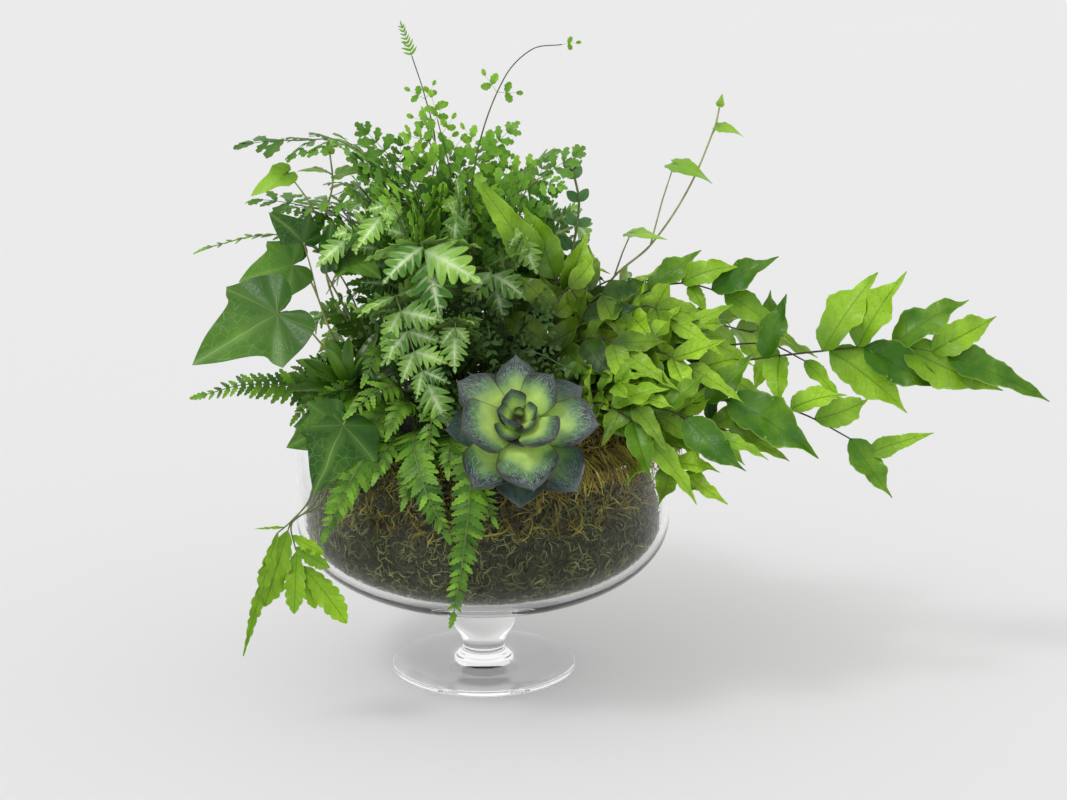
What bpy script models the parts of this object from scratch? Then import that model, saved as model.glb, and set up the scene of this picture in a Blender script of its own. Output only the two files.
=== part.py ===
"""Garden of ferns, ivy, a sedum and an echeveria in a footed clear-glass bowl.

Metres, +Z up. The origin is the centre of the foot's flat underside, and the
front of the garden looks along -Y. Each plant part that leaves the soil by its
own stem is one closed body: a thin sheet of stem and leaves, worked out as
triangles and then given its thickness.
"""
import math
from dataclasses import dataclass, replace

import bmesh
import bpy
from mathutils import Matrix, Vector
from mathutils.bvhtree import BVHTree

MM = 0.001
UP = Vector((0, 0, 1))

# Glass bowl: radii and heights
BOWL_RADIUS = 125 * MM
BOWL_HEIGHT = 166 * MM
SHOULDER_HEIGHT = 110 * MM
BOWL_BOTTOM = 51 * MM
WALL = 4.5 * MM
BASE_GLASS = 6.5 * MM
ROUNDNESS = 2.2
FOOT_RADIUS = 62.5 * MM
FOOT_EDGE = 3.0 * MM
COLLAR_RADIUS = 16.5 * MM
STEM_WAIST = 14.0 * MM
STEM_TOP = 21.0 * MM
SIDES = 24
INNER_STEPS = 7
SHARP_EDGE = math.radians(40)

# Filling
GAP = 0.3 * MM
SOIL_RADIUS = 88 * MM
SOIL_EDGE_HEIGHT = 167 * MM
SOIL_TOP = 183 * MM
HOLE_SIDES = 4
ROOT_DEPTH = 20 * MM
ROOT_RISE = 4 * MM
ROOT_SPACING = 4 * MM

# Foliage
BLADE_HALF = 0.36 * MM
STALK_HALF = 0.5 * MM
CLEAR = 0.25 * MM
GOLDEN_ANGLE = math.radians(137.5)
CORE_SIDES = 8


# Meshes, materials and objects

def plain_material(name, colour, roughness, transmission=0.0):
    """Return a Principled BSDF material with one colour."""
    material = bpy.data.materials.get(name) or bpy.data.materials.new(name)
    material.use_nodes = True
    shader = material.node_tree.nodes["Principled BSDF"]
    shader.inputs["Base Color"].default_value = (*colour, 1)
    shader.inputs["Roughness"].default_value = roughness
    shader.inputs["Metallic"].default_value = 0.0
    shader.inputs["Transmission Weight"].default_value = transmission
    return material


def glass():
    return plain_material("clear_glass", (0.95, 0.97, 0.96), 0.04, 1.0)


def moss():
    return plain_material("moss", (0.16, 0.17, 0.07), 0.95)


def soil():
    return plain_material("potting_soil", (0.06, 0.045, 0.03), 1.0)


def holly_green():
    return plain_material("holly_fern_leaf", (0.17, 0.38, 0.06), 0.45)


def silver_green():
    return plain_material("silver_fern_leaf", (0.22, 0.40, 0.16), 0.55)


def fern_green():
    return plain_material("small_fern_leaf", (0.14, 0.34, 0.06), 0.5)


def tall_green():
    return plain_material("tall_fern_leaf", (0.16, 0.36, 0.06), 0.5)


def ivy_green():
    return plain_material("ivy_leaf", (0.07, 0.27, 0.06), 0.35)


def sedum_green():
    return plain_material("sedum_leaf", (0.09, 0.26, 0.09), 0.45)


def broad_green():
    return plain_material("broad_leaf", (0.08, 0.25, 0.04), 0.4)


def echeveria_green():
    return plain_material("echeveria_leaf", (0.25, 0.36, 0.22), 0.55)


def rosette_green():
    return plain_material("rosette_leaf", (0.10, 0.33, 0.05), 0.35)


def new_object(name, mesh, material):
    """Link a finished mesh to the scene under its node's name."""
    mesh.materials.append(material)
    body = bpy.data.objects.new(name, mesh)
    bpy.context.scene.collection.objects.link(body)
    return body


def mesh_from(name, points, faces):
    mesh = bpy.data.meshes.new(name)
    mesh.from_pydata([tuple(point) for point in points], [], faces)
    mesh.validate()
    return mesh


def turned_body(name, profile, material):
    """Turn a closed profile of (radius, height) about Z; ends at radius 0 are poles."""
    shape = bmesh.new()
    rings = []
    for radius, height in profile:
        if radius == 0:
            rings.append([shape.verts.new((0, 0, height))])
        else:
            angles = [math.tau * k / SIDES for k in range(SIDES)]
            rings.append([shape.verts.new((radius * math.cos(a), radius * math.sin(a), height))
                          for a in angles])
    for lower, upper in zip(rings, rings[1:]):
        for k in range(SIDES):
            after = (k + 1) % SIDES
            corners = [lower[k % len(lower)], lower[after % len(lower)],
                       upper[after % len(upper)], upper[k % len(upper)]]
            shape.faces.new(list(dict.fromkeys(corners)))
    bmesh.ops.recalc_face_normals(shape, faces=shape.faces)
    mesh = bpy.data.meshes.new(name)
    shape.to_mesh(mesh)
    shape.free()
    mesh.shade_smooth()
    mesh.set_sharp_from_angle(angle=SHARP_EDGE)
    return new_object(name, mesh, material)


def fuse(body, pieces, operation="UNION", solver="EXACT"):
    """Join a list of closed pieces to a body, or cut them from it, and remove them."""
    group = bpy.data.collections.new(body.name + "_pieces")
    for piece in pieces:
        piece.hide_render = True
        piece.display_type = "WIRE"
        group.objects.link(piece)
    boolean = body.modifiers.new("fuse", "BOOLEAN")
    boolean.operand_type = "COLLECTION"
    boolean.collection = group
    boolean.operation = operation
    boolean.solver = solver
    scene = bpy.context.evaluated_depsgraph_get()
    result = bpy.data.meshes.new_from_object(body.evaluated_get(scene))
    body.modifiers.clear()
    body.data = result
    for piece in pieces:
        bpy.data.objects.remove(piece)
    bpy.data.collections.remove(group)


# Glass, moss lining and soil

def bowl_curve(inset, floor_rise, steps):
    """Return (radius, height) points from near the middle of the floor to the shoulder."""
    bottom = BOWL_BOTTOM + floor_rise
    points = []
    for k in range(1, steps + 1):
        turn = math.pi / 2 * k / steps
        radius = (BOWL_RADIUS - inset) * math.sin(turn) ** (2 / ROUNDNESS)
        height = SHOULDER_HEIGHT - (SHOULDER_HEIGHT - bottom) * math.cos(turn) ** (2 / ROUNDNESS)
        points.append((radius, height))
    return points


def make_glass_bowl():
    """Bowl, stem and foot are one piece of clear glass."""
    foot = [(0, 0), (FOOT_RADIUS - 1 * MM, 0), (FOOT_RADIUS, 1 * MM), (FOOT_RADIUS - 0.5 * MM, FOOT_EDGE),
            (36 * MM, 6 * MM)]
    collar = [(19 * MM, 9.5 * MM), (COLLAR_RADIUS, 11 * MM), (STEM_WAIST + 0.5 * MM, 13.5 * MM)]
    stem = [(STEM_WAIST, 17 * MM), (16 * MM, 22 * MM), (19 * MM, 26 * MM), (STEM_TOP, 31 * MM),
            (25 * MM, 48 * MM)]
    outside = [point for point in bowl_curve(0, 0, 8) if point[0] > 32 * MM]
    rim = [(BOWL_RADIUS + 0.5 * MM, BOWL_HEIGHT - 1 * MM), (BOWL_RADIUS - WALL / 2, BOWL_HEIGHT),
           (BOWL_RADIUS + 0.5 * MM - WALL, BOWL_HEIGHT - 1 * MM)]
    inside = bowl_curve(WALL, BASE_GLASS, INNER_STEPS)[::-1] + [(0, BOWL_BOTTOM + BASE_GLASS)]
    return turned_body("footed_glass_bowl", foot + collar + stem + outside + rim + inside,
                       glass())


def lining_inner_profile():
    """Inside of the moss lining from its top edge down to the middle of its floor."""
    return [(SOIL_RADIUS, SOIL_EDGE_HEIGHT - 1 * MM), (94 * MM, 120 * MM), (86 * MM, 88 * MM),
            (60 * MM, 76 * MM), (0, 73 * MM)]


def make_moss_lining():
    """Cup of packed moss against the lower glass, drawn in from the wall near its top."""
    inset = WALL + GAP
    against_glass = [(0, BOWL_BOTTOM + BASE_GLASS + GAP)]
    against_glass += [(radius, height) for radius, height in bowl_curve(inset, BASE_GLASS + GAP, INNER_STEPS)
                      if height < 100 * MM]
    drawn_in = [(116 * MM, 116 * MM), (110 * MM, 144 * MM), (103 * MM, 162 * MM), (95 * MM, 169 * MM)]
    return turned_body("moss_lining", against_glass + drawn_in + lining_inner_profile(), moss())


def soil_height(radius):
    """Height of the soil's domed top at a distance from the axis."""
    return SOIL_TOP - (SOIL_TOP - SOIL_EDGE_HEIGHT) * (radius / SOIL_RADIUS) ** 2


def make_potting_soil():
    """Soil inside the lining; its stem holes are cut once the plants are placed."""
    top = [(share * (SOIL_RADIUS - GAP), soil_height(share * SOIL_RADIUS)) for share in (0, 0.5, 1)]
    sides = [(radius - GAP if radius else 0, height + GAP) for radius, height in lining_inner_profile()[1:]]
    return turned_body("potting_soil", top + sides, soil())


def make_moss_tuft():
    """Cushion of moss on the lining at the front right, with strands over the glass rim."""
    segments = 8
    first_turn, whole_turn = -78, 58
    rows = ((93, 171.8), (104, 174.5), (113, 172.0))
    strand = ((123, 168.6, 0.5), (129.5, 164.0, 0.4), (131.5, 154.0, 0.0))
    cushion_half, strand_half = 2.2 * MM, 0.6 * MM
    sheet = Sheet()

    def spot(turn, radius, height, half, outward):
        way = Vector((math.cos(turn), math.sin(turn), 0))
        return sheet.add_point(way * radius * MM + UP * height * MM, UP + way * outward, half)

    turns = [math.radians(first_turn + whole_turn * k / segments) for k in range(segments + 1)]
    grid = [[spot(turn, radius + 1.5 * math.sin(2.3 * k), height, cushion_half, 0) for radius, height in rows]
            for k, turn in enumerate(turns)]
    for k, (before, after) in enumerate(zip(grid, grid[1:])):
        for j in range(len(rows) - 1):
            sheet.triangles += [(before[j], before[j + 1], after[j + 1]), (before[j], after[j + 1], after[j])]
        ends = (before[-1], after[-1])
        middle, spread = (turns[k] + turns[k + 1]) / 2, (turns[k + 1] - turns[k]) / 2
        sag = 3 * math.sin(4.1 * k)
        for radius, height, share in strand:
            if share == 0:
                tip = spot(middle, radius, height + sag, strand_half, 3)
                sheet.triangles.append((ends[0], tip, ends[1]))
                break
            low, high = (spot(middle + sign * spread * share, radius, height, strand_half, 0.8)
                         for sign in (-1, 1))
            sheet.triangles += [(ends[0], low, high), (ends[0], high, ends[1])]
            ends = (low, high)
    points, faces = sheet.solid()
    return new_object("moss_tuft_right", mesh_from("moss_tuft_right", points, faces), moss())


# Leaf outlines

@dataclass(frozen=True)
class Outline:
    """Half outline of a leaf, in shares of its length, mirrored about the midrib.

    side holds (along, out) points from base to tip, ribs the points along the
    midrib, curl the bend from base to tip in degrees, trough the rise of the
    edges above the midrib and sickle the sideways sweep of the tip. A fan leaf
    spreads from one point on its midrib.
    """
    side: tuple
    ribs: tuple = ()
    curl: float = 20
    trough: float = 0.15
    sickle: float = 0.0
    fan: bool = False


HOLLY = Outline(((0.20, 0.16), (0.46, 0.25), (0.80, 0.09)), (0.45,), 30, 0.20, 0.06)
COMB = Outline(((0.12, 0.25), (0.26, 0.07), (0.42, 0.21), (0.54, 0.06), (0.70, 0.12)), (), 30, 0.10)
COMB_SHORT = Outline(((0.20, 0.26), (0.38, 0.09), (0.60, 0.18)), (), 30, 0.10)
KITE = Outline(((0.40, 0.22),), (), 20, 0.10)
OVAL = Outline(((0.22, 0.30), (0.80, 0.24)), (), 25, 0.12)
RIBBON = Outline(((0.10, 0.06), (0.30, 0.11), (0.42, 0.05), (0.58, 0.07), (0.72, 0.03)), (), 15, 0.05, 0.05)
WAVED = Outline(((0.08, 0.16), (0.30, 0.21), (0.46, 0.15), (0.64, 0.20), (0.84, 0.11)), (0.5,), 20, 0.15,
                0.05)
LANCE = Outline(((0.10, 0.12), (0.40, 0.18), (0.75, 0.12)), (0.4,), 15, 0.25)
IVY = Outline(((0.0, 0.20), (0.06, 0.42), (0.30, 0.50), (0.40, 0.29), (0.66, 0.16)), (0.12,), 25, 0.10, 0, True)
IVY_YOUNG = Outline(((0.0, 0.18), (0.16, 0.38), (0.34, 0.22), (0.60, 0.16)), (0.12,), 25, 0.15, 0, True)


# Growth: stems and leaves as one sheet of triangles

class Space:
    """What stands in place already, kept so that new growth can be bent clear of it."""

    def __init__(self):
        self.blocks = []

    def add(self, points, triangles):
        low = Vector([min(point[axis] for point in points) for axis in range(3)])
        high = Vector([max(point[axis] for point in points) for axis in range(3)])
        self.blocks.append((low, high, BVHTree.FromPolygons(points, triangles)))

    def is_free(self, points, triangles):
        """Tell whether triangles cross nothing that stands in place."""
        used = [points[corner] for triangle in triangles for corner in triangle]
        low = [min(point[axis] for point in used) for axis in range(3)]
        high = [max(point[axis] for point in used) for axis in range(3)]
        tree = None
        for block_low, block_high, block in self.blocks:
            if any(low[a] > block_high[a] or high[a] < block_low[a] for a in range(3)):
                continue
            tree = tree or BVHTree.FromPolygons(points, triangles)
            if tree.overlap(block):
                return False
        return True


def thickened(points, normals, halves, triangles, extra=0.0):
    """Return the points and triangles of a sheet with both its faces and its rim."""
    count = len(points)
    above = [p + n * (h + extra) for p, n, h in zip(points, normals, halves)]
    below = [p - n * (h + extra) for p, n, h in zip(points, normals, halves)]
    edges = {(a, b) for tri in triangles for a, b in zip(tri, tri[1:] + tri[:1])}
    faces = list(triangles) + [(c + count, b + count, a + count) for a, b, c in triangles]
    for a, b in sorted(edges):
        if (b, a) not in edges:
            faces += [(b, a, a + count), (b, a + count, b + count)]
    return above + below, faces


class Sheet:
    """Stem and leaves of one node, as points with normals, half thicknesses and triangles."""

    def __init__(self):
        self.points = []
        self.normals = []
        self.halves = []
        self.triangles = []

    def add_point(self, point, normal, half):
        self.points.append(point)
        self.normals.append(normal.normalized())
        self.halves.append(half)
        return len(self.points) - 1

    def solid(self, extra=0.0, first=0):
        """Return the thickened sheet from one of its triangles on."""
        return thickened(self.points, self.normals, self.halves, self.triangles[first:], extra)

    def strip(self, left, right):
        """Fill between two chains of (index, along), each listed from base to tip."""
        i = j = 0
        while i < len(left) - 1 or j < len(right) - 1:
            take_right = i == len(left) - 1 or (j < len(right) - 1 and right[j + 1][1] <= left[i + 1][1])
            if take_right:
                corners = (left[i][0], right[j][0], right[j + 1][0])
                j += 1
            else:
                corners = (left[i][0], right[j][0], left[i + 1][0])
                i += 1
            if len(set(corners)) == 3:
                self.triangles.append(corners)


@dataclass
class Pose:
    """Where something grows from, the way it heads and the way its upper face looks."""
    origin: Vector
    ahead: Vector
    normal: Vector

    @property
    def right(self):
        return self.ahead.cross(self.normal).normalized()

    def moved(self, point):
        return Pose(point, self.ahead, self.normal)

    def turned(self, swing=0.0, lift=0.0, roll=0.0):
        """Turn by degrees: to the right, up towards the normal and about the way ahead."""
        swing_turn = Matrix.Rotation(math.radians(-swing), 3, self.normal)
        ahead = swing_turn @ self.ahead
        right = ahead.cross(self.normal)
        lift_turn = Matrix.Rotation(math.radians(lift), 3, right)
        ahead, normal = lift_turn @ ahead, lift_turn @ self.normal
        normal = Matrix.Rotation(math.radians(roll), 3, ahead) @ normal
        return Pose(self.origin, ahead.normalized(), normal.normalized())

    def bent(self, length, curl):
        """Move along an arc that bends down by an angle in degrees."""
        angle = math.radians(curl) or 1e-6
        run = length * math.sin(angle) / angle
        drop = length * (1 - math.cos(angle)) / angle
        turn = Matrix.Rotation(-angle, 3, self.right)
        return Pose(self.origin + self.ahead * run - self.normal * drop,
                    turn @ self.ahead, turn @ self.normal)


class Route:
    """Smooth path through a few points, with a frame at every place along it."""

    STEPS = 16

    def __init__(self, points, facing, first_way=None):
        self.places = [points[0]]
        for k in range(len(points) - 1):
            start, end = points[k], points[k + 1]
            reach = (end - start).length
            leave = self.slope(points, k, reach) if k or first_way is None else first_way * reach
            arrive = self.slope(points, k + 1, reach)
            for step in range(1, self.STEPS + 1):
                self.places.append(self.hermite(start, end, leave, arrive, step / self.STEPS))
        self.lengths = [0.0]
        for before, after in zip(self.places, self.places[1:]):
            self.lengths.append(self.lengths[-1] + (after - before).length)
        self.ways = []
        last = len(self.places) - 1
        for k in range(last + 1):
            way = self.places[min(k + 1, last)] - self.places[max(k - 1, 0)]
            self.ways.append(way.normalized())
        self.normals = self.carry_normals(facing)

    @staticmethod
    def slope(points, k, reach):
        before, after = points[max(k - 1, 0)], points[min(k + 1, len(points) - 1)]
        return (after - before).normalized() * reach

    @staticmethod
    def hermite(start, end, leave, arrive, t):
        return (start * (2 * t ** 3 - 3 * t ** 2 + 1) + leave * (t ** 3 - 2 * t ** 2 + t)
                + end * (3 * t ** 2 - 2 * t ** 3) + arrive * (t ** 3 - t ** 2))

    def carry_normals(self, facing):
        """Carry the tip's facing back to the root with no twist of its own."""
        way = self.ways[-1]
        normal = (facing - way * facing.dot(way)).normalized()
        normals = [normal]
        for way in reversed(self.ways[:-1]):
            normal = (normal - way * normal.dot(way)).normalized()
            normals.append(normal)
        return normals[::-1]

    @property
    def length(self):
        return self.lengths[-1]

    def share_near(self, point):
        """Return the share of the path's length at its place nearest to a point."""
        k = min(range(len(self.places)), key=lambda i: (self.places[i] - point).length)
        return self.lengths[k] / self.length

    def pose(self, distance):
        """Return the pose at a distance along the path."""
        distance = min(max(distance, 0.0), self.length)
        k = 0
        while k < len(self.lengths) - 2 and self.lengths[k + 1] < distance:
            k += 1
        span = self.lengths[k + 1] - self.lengths[k]
        t = (distance - self.lengths[k]) / span
        way = self.ways[k].lerp(self.ways[k + 1], t).normalized()
        normal = self.normals[k].lerp(self.normals[k + 1], t)
        normal = (normal - way * normal.dot(way)).normalized()
        return Pose(self.places[k].lerp(self.places[k + 1], t), way, normal)


@dataclass
class Leaf:
    """One leaf on a stem.

    at is its place, as a share of the stem's length or as the point in mm that
    it sits nearest to. A leaf either leaves the stem by angles (swing, lift and
    roll in degrees) or is aimed: from the stem to its joint, if it has one,
    and on to its tip, both in mm, with its upper face looking a given way.
    """
    at: object
    side: int
    length: float
    outline: Outline
    swing: float = 60
    lift: float = 0
    roll: float = 0
    stalk: float = 0.0
    base: float = 1.4 * MM
    joint: tuple = None
    tip: tuple = None
    facing: tuple = None

    def placed(self, route):
        """Return the leaf with its place as a share and its side worked out."""
        if self.tip is None:
            return self
        share = self.at if isinstance(self.at, float) else route.share_near(Vector(self.at) * MM)
        pose = route.pose(share * route.length)
        goal = Vector(self.joint or self.tip) * MM
        side = 1 if (goal - pose.origin).dot(pose.right) > 0 else -1
        return replace(self, at=share, side=side)


def aimed(at, tip, outline, joint=None, facing=None, base=1.6):
    """Return a leaf whose tip lies at a point in mm."""
    return Leaf(at, 1, 0.0, outline, 0, 0, 0, 0.0, base * MM, joint, tip, facing)


def add_blade(sheet, left, right, pose, outline, length):
    """Add a leaf blade that starts at two points of the sheet."""
    def spot(along, out):
        """Return the point and the normal at a place on the blade."""
        here = pose.bent(length * along, outline.curl * along)
        height = abs(out) * outline.trough
        side = out + outline.sickle * along ** 2
        normal = here.normal - here.right * math.copysign(outline.trough, out) * (out != 0)
        return here.origin + here.right * side * length + here.normal * height * length, normal

    def chain(sign):
        return [(sheet.add_point(*spot(along, sign * out), BLADE_HALF), along) for along, out in outline.side]

    left_side = [(left, 0)] + chain(-1)
    right_side = [(right, 0)] + chain(1)
    tip = (sheet.add_point(*spot(1, 0), BLADE_HALF), 1)
    ribs = [(sheet.add_point(*spot(along, 0), BLADE_HALF), along) for along in outline.ribs]
    left_side.append(tip)
    right_side.append(tip)
    if not ribs:
        sheet.strip(left_side, right_side)
        return
    sheet.triangles.append((left, right, ribs[0][0]))
    if outline.fan:
        centre = ribs[0][0]
        for (a, _), (b, _) in zip(right_side, right_side[1:]):
            sheet.triangles.append((a, b, centre))
        for (a, _), (b, _) in zip(left_side, left_side[1:]):
            sheet.triangles.append((b, a, centre))
        return
    ribs.append(tip)
    sheet.strip(left_side, ribs)
    sheet.strip(ribs, right_side)


def towards(origin, goal, facing):
    """Return the pose at a place that heads for a goal, and the distance to it."""
    way = goal - origin
    ahead = way.normalized()
    normal = facing - ahead * facing.dot(ahead)
    return Pose(origin, ahead, normal.normalized()), way.length


def add_leaf(sheet, left, right, pose, leaf, change):
    """Add a leaf, with its stalk if it has one, in one of its possible poses."""
    lift, swing, scale = change
    facing = Vector(leaf.facing) if leaf.facing else pose.normal
    stalk, length = leaf.stalk, leaf.length
    if leaf.tip:
        start, length = towards(pose.origin, Vector(leaf.tip) * MM, facing)
        if leaf.joint:
            start, stalk = towards(pose.origin, Vector(leaf.joint) * MM, facing)
        start = start.turned(swing, lift)
    else:
        start = pose.turned(leaf.side * (leaf.swing + swing), leaf.lift + lift, leaf.roll)
    if stalk:
        half = STALK_HALF
        first_normal = (pose.normal - start.ahead * pose.normal.dot(start.ahead)).normalized()
        for share in (0.5, 1.0):
            normal = first_normal.lerp(start.normal, share).normalized()
            here = Pose(start.origin + start.ahead * stalk * share, start.ahead, normal)
            ends = [sheet.add_point(here.origin + here.right * out, normal, half) for out in (-half, half)]
            sheet.triangles += [(left, right, ends[1]), (left, ends[1], ends[0])]
            left, right = ends
        start = here
        if leaf.tip:
            start, length = towards(here.origin, Vector(leaf.tip) * MM, facing)
    add_blade(sheet, left, right, start, leaf.outline, length * scale)


CHANGES = [(0, 0, 1), (12, 0, 1), (-12, 0, 1), (25, 0, 1), (-25, 0, 1), (0, 14, 0.95), (0, -14, 0.95),
           (18, 14, 0.9), (-18, -14, 0.9), (40, 0, 0.9), (-40, 0, 0.9), (0, 25, 0.8), (0, -25, 0.8),
           (0, 0, 0.7), (30, 20, 0.7), (-30, -20, 0.7), (55, 0, 0.7), (-55, 0, 0.7), (0, 0, 0.5)]


def crosses_itself(sheet, before):
    """Tell whether the newest triangles cross any part of the sheet.

    A part that they don't adjoin at all has to be clear of them by the usual
    gap, and one that they adjoin only must not cut through them.
    """
    count = len(sheet.points)
    points, faces = sheet.solid()
    tree = BVHTree.FromPolygons(points, faces)
    wide_points, wide_faces = sheet.solid(CLEAR, before)
    for new, old in BVHTree.FromPolygons(wide_points, wide_faces).overlap(tree):
        if not {v % count for v in wide_faces[new]} & {v % count for v in faces[old]}:
            return True
    fresh = {corner for triangle in sheet.triangles[before:] for corner in triangle}
    new_faces = [face for face in faces if all(v % count in fresh for v in face)]
    return any(not set(new_faces[new]) & set(faces[old])
               for new, old in BVHTree.FromPolygons(points, new_faces).overlap(tree))


def try_leaf(sheet, space, left, right, pose, leaf):
    """Add a leaf in its first pose that is clear of everything, or leave it out."""
    points, triangles = len(sheet.points), len(sheet.triangles)
    for change in CHANGES:
        add_leaf(sheet, left, right, pose, leaf, change)
        if space.is_free(*sheet.solid(CLEAR, triangles)) and not crosses_itself(sheet, triangles):
            return True
        del sheet.points[points:], sheet.normals[points:], sheet.halves[points:]
        del sheet.triangles[triangles:]
    return False


def stem_stations(length, leaves, spacing):
    """Return sorted distances for the stem's cross-sections, two at each leaf's base."""
    marks = {0.0, ROOT_DEPTH + ROOT_RISE, length}
    for leaf in leaves:
        centre = leaf.at * length
        marks |= {centre - leaf.base / 2, centre + leaf.base / 2}
    fixed = sorted(round(mark, 7) for mark in marks if 0 <= mark <= length)
    stations = []
    for before, after in zip(fixed, fixed[1:]):
        parts = max(1, math.ceil((after - before) / spacing))
        stations += [before + (after - before) * k / parts for k in range(parts)]
    return stations + [fixed[-1]]


def add_stem(sheet, route, stations, root_half, tip_half):
    """Add a stem of square section that thins towards its tip."""
    rails = []
    for station in stations:
        pose = route.pose(station)
        half = root_half + (tip_half - root_half) * station / route.length
        left = sheet.add_point(pose.origin - pose.right * half, pose.normal, half)
        right = sheet.add_point(pose.origin + pose.right * half, pose.normal, half)
        rails.append((left, right))
    for (l0, r0), (l1, r1) in zip(rails, rails[1:]):
        sheet.triangles += [(l0, r0, r1), (l0, r1, l1)]
    return rails


def bends():
    """Yield small sideways shifts, nearest first, by which a stem is bent clear."""
    yield Vector((0, 0, 0))
    for reach, turns in ((3.5, 6), (7, 8), (12, 10), (18, 12)):
        for k in range(turns):
            angle = math.tau * k / turns + 0.4
            yield Vector((math.cos(angle), math.sin(angle), 0.3 * math.sin(2 * angle))) * reach * MM


class Garden:
    """Places every plant part and keeps the space that it takes."""

    def __init__(self, fixed, ground):
        self.plants = Space()
        self.ground = Space()
        self.roots = []
        for body in fixed + ground:
            mesh = body.data
            mesh.calc_loop_triangles()
            points = [body.matrix_world @ vertex.co for vertex in mesh.vertices]
            self.ground.add(points, [tuple(tri.vertices) for tri in mesh.loop_triangles])

    def grow(self, name, root, through, facing, leaves, material, root_half=1.0, tip_half=0.45,
             spacing=16, tip=None):
        """Grow one node from its root in the soil through a few points, all in mm."""
        root_half, tip_half, spacing = root_half * MM, tip_half * MM, spacing * MM
        facing = Vector(facing).normalized()
        for shift in bends():
            for slip in list(bends())[:7]:
                foot = Vector((root[0], root[1], 0)) * MM + Vector((slip.x, slip.y, 0))
                foot.z = soil_height(foot.to_2d().length)
                route = self.route(foot, [Vector(point) * MM for point in through], shift, facing)
                sheet = Sheet()
                placed = [leaf.placed(route) for leaf in leaves]
                stations = stem_stations(route.length, placed, spacing)
                rails = add_stem(sheet, route, stations, root_half, tip_half)
                above = 2 * sum(station < ROOT_DEPTH + ROOT_RISE + 0.1 * MM for station in stations[1:])
                if (self.plants.is_free(*sheet.solid(CLEAR))
                        and self.ground.is_free(*sheet.solid(CLEAR, above))
                        and all((foot - other).length > ROOT_SPACING for other, _ in self.roots)):
                    return self.finish(name, sheet, route, stations, rails, placed, material, foot,
                                       root_half, tip)
        raise ValueError(f"{name} finds no free way up")

    @staticmethod
    def route(foot, through, shift, facing):
        """Return the path: straight down in the soil, then bent through the points."""
        start = foot + UP * ROOT_RISE
        moved = [point + shift * (0.5 if k == len(through) - 1 else 1) for k, point in enumerate(through)]
        upper = Route([start] + moved, facing, UP)
        upper.places.insert(0, foot - UP * ROOT_DEPTH)
        upper.lengths = [0.0] + [ROOT_DEPTH + ROOT_RISE + length for length in upper.lengths]
        upper.ways.insert(0, UP)
        upper.ways[1] = UP
        upper.normals = upper.carry_normals(facing)
        return upper

    def finish(self, name, sheet, route, stations, rails, leaves, material, foot, root_half, tip):
        """Add the leaves to a placed stem and make its body."""
        space = Space()
        space.blocks = self.plants.blocks + self.ground.blocks
        taken = set()
        for leaf in leaves:
            centre = leaf.at * route.length
            free = [i for i in range(len(stations) - 1) if (i, leaf.side) not in taken]
            k = min(free, key=lambda i: abs((stations[i] + stations[i + 1]) / 2 - centre))
            taken.add((k, leaf.side))
            first, second = rails[k], rails[k + 1]
            if leaf.side > 0:
                left, right = second[1], first[1]
            else:
                left, right = first[0], second[0]
            pose = route.pose(centre)
            middle = (sheet.points[left] + sheet.points[right]) / 2
            try_leaf(sheet, space, left, right, pose.moved(middle), leaf)
        if tip:
            left, right = rails[-1]
            try_leaf(sheet, space, left, right, route.pose(route.length), tip)
        points, faces = sheet.solid()
        self.plants.add(points, faces)
        self.roots.append((foot, root_half * math.sqrt(2) / math.cos(math.pi / HOLE_SIDES) + GAP))
        used = sorted({corner for face in faces for corner in face})
        order = {old: new for new, old in enumerate(used)}
        mesh = mesh_from(name, [points[k] for k in used], [tuple(order[c] for c in face) for face in faces])
        return new_object(name, mesh, material)


# Rows of leaves

def pairs(count, first, last, length, swing, outline, short=0.5, base=1.4, bulge=0.0):
    """Return leaves in pairs along a stem, shorter and closer to it towards the tip.

    first and last are shares of the stem's length, length and base are in mm,
    swing is (at the first pair, at the last pair) in degrees, and bulge is the
    share by which the first pair is shorter than it would be.
    """
    leaves = []
    step = (last - first) / max(1, count - 1)
    for k in range(count):
        share = k / max(1, count - 1)
        size = length * (1 + (short - 1) * share ** 1.5) * (1 - bulge * (1 - share) ** 2)
        angle = swing[0] + (swing[1] - swing[0]) * share
        for side in (-1, 1):
            leaves.append(Leaf(first + step * k, side, size * MM, outline, angle, base=base * MM))
    return leaves


def tip_leaf(length, outline, lift=0):
    return Leaf(1.0, 1, length * MM, outline, 0, lift)


# Succulent rosettes

def fleshy_leaf(pose, length, width, thickness, curl):
    """Return a plump pointed leaf with a keel below and raised margins."""
    stations = ((0.0, 0.30, 0.7), (0.38, 0.85, 1.0), (0.70, 1.0, 0.8), (0.88, 0.60, 0.4))
    points = []
    for along, out, deep in stations:
        here = pose.bent(length * along, curl * along)
        half = width / 2 * out
        margin = here.normal * thickness * 0.35 * out
        points += [here.origin - here.right * half + margin, here.origin - here.normal * thickness * deep,
                   here.origin + here.right * half + margin]
    points.append(pose.bent(length, curl).origin)
    faces = [(0, 1, 2)]
    for ring in range(len(stations) - 1):
        low, high = 3 * ring, 3 * ring + 3
        for k in range(3):
            after = (k + 1) % 3
            faces.append((low + k, high + k, high + after, low + after))
    last = 3 * len(stations) - 3
    for k in range(3):
        faces.append((last + k, len(points) - 1, last + (k + 1) % 3))
    return points, faces


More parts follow.
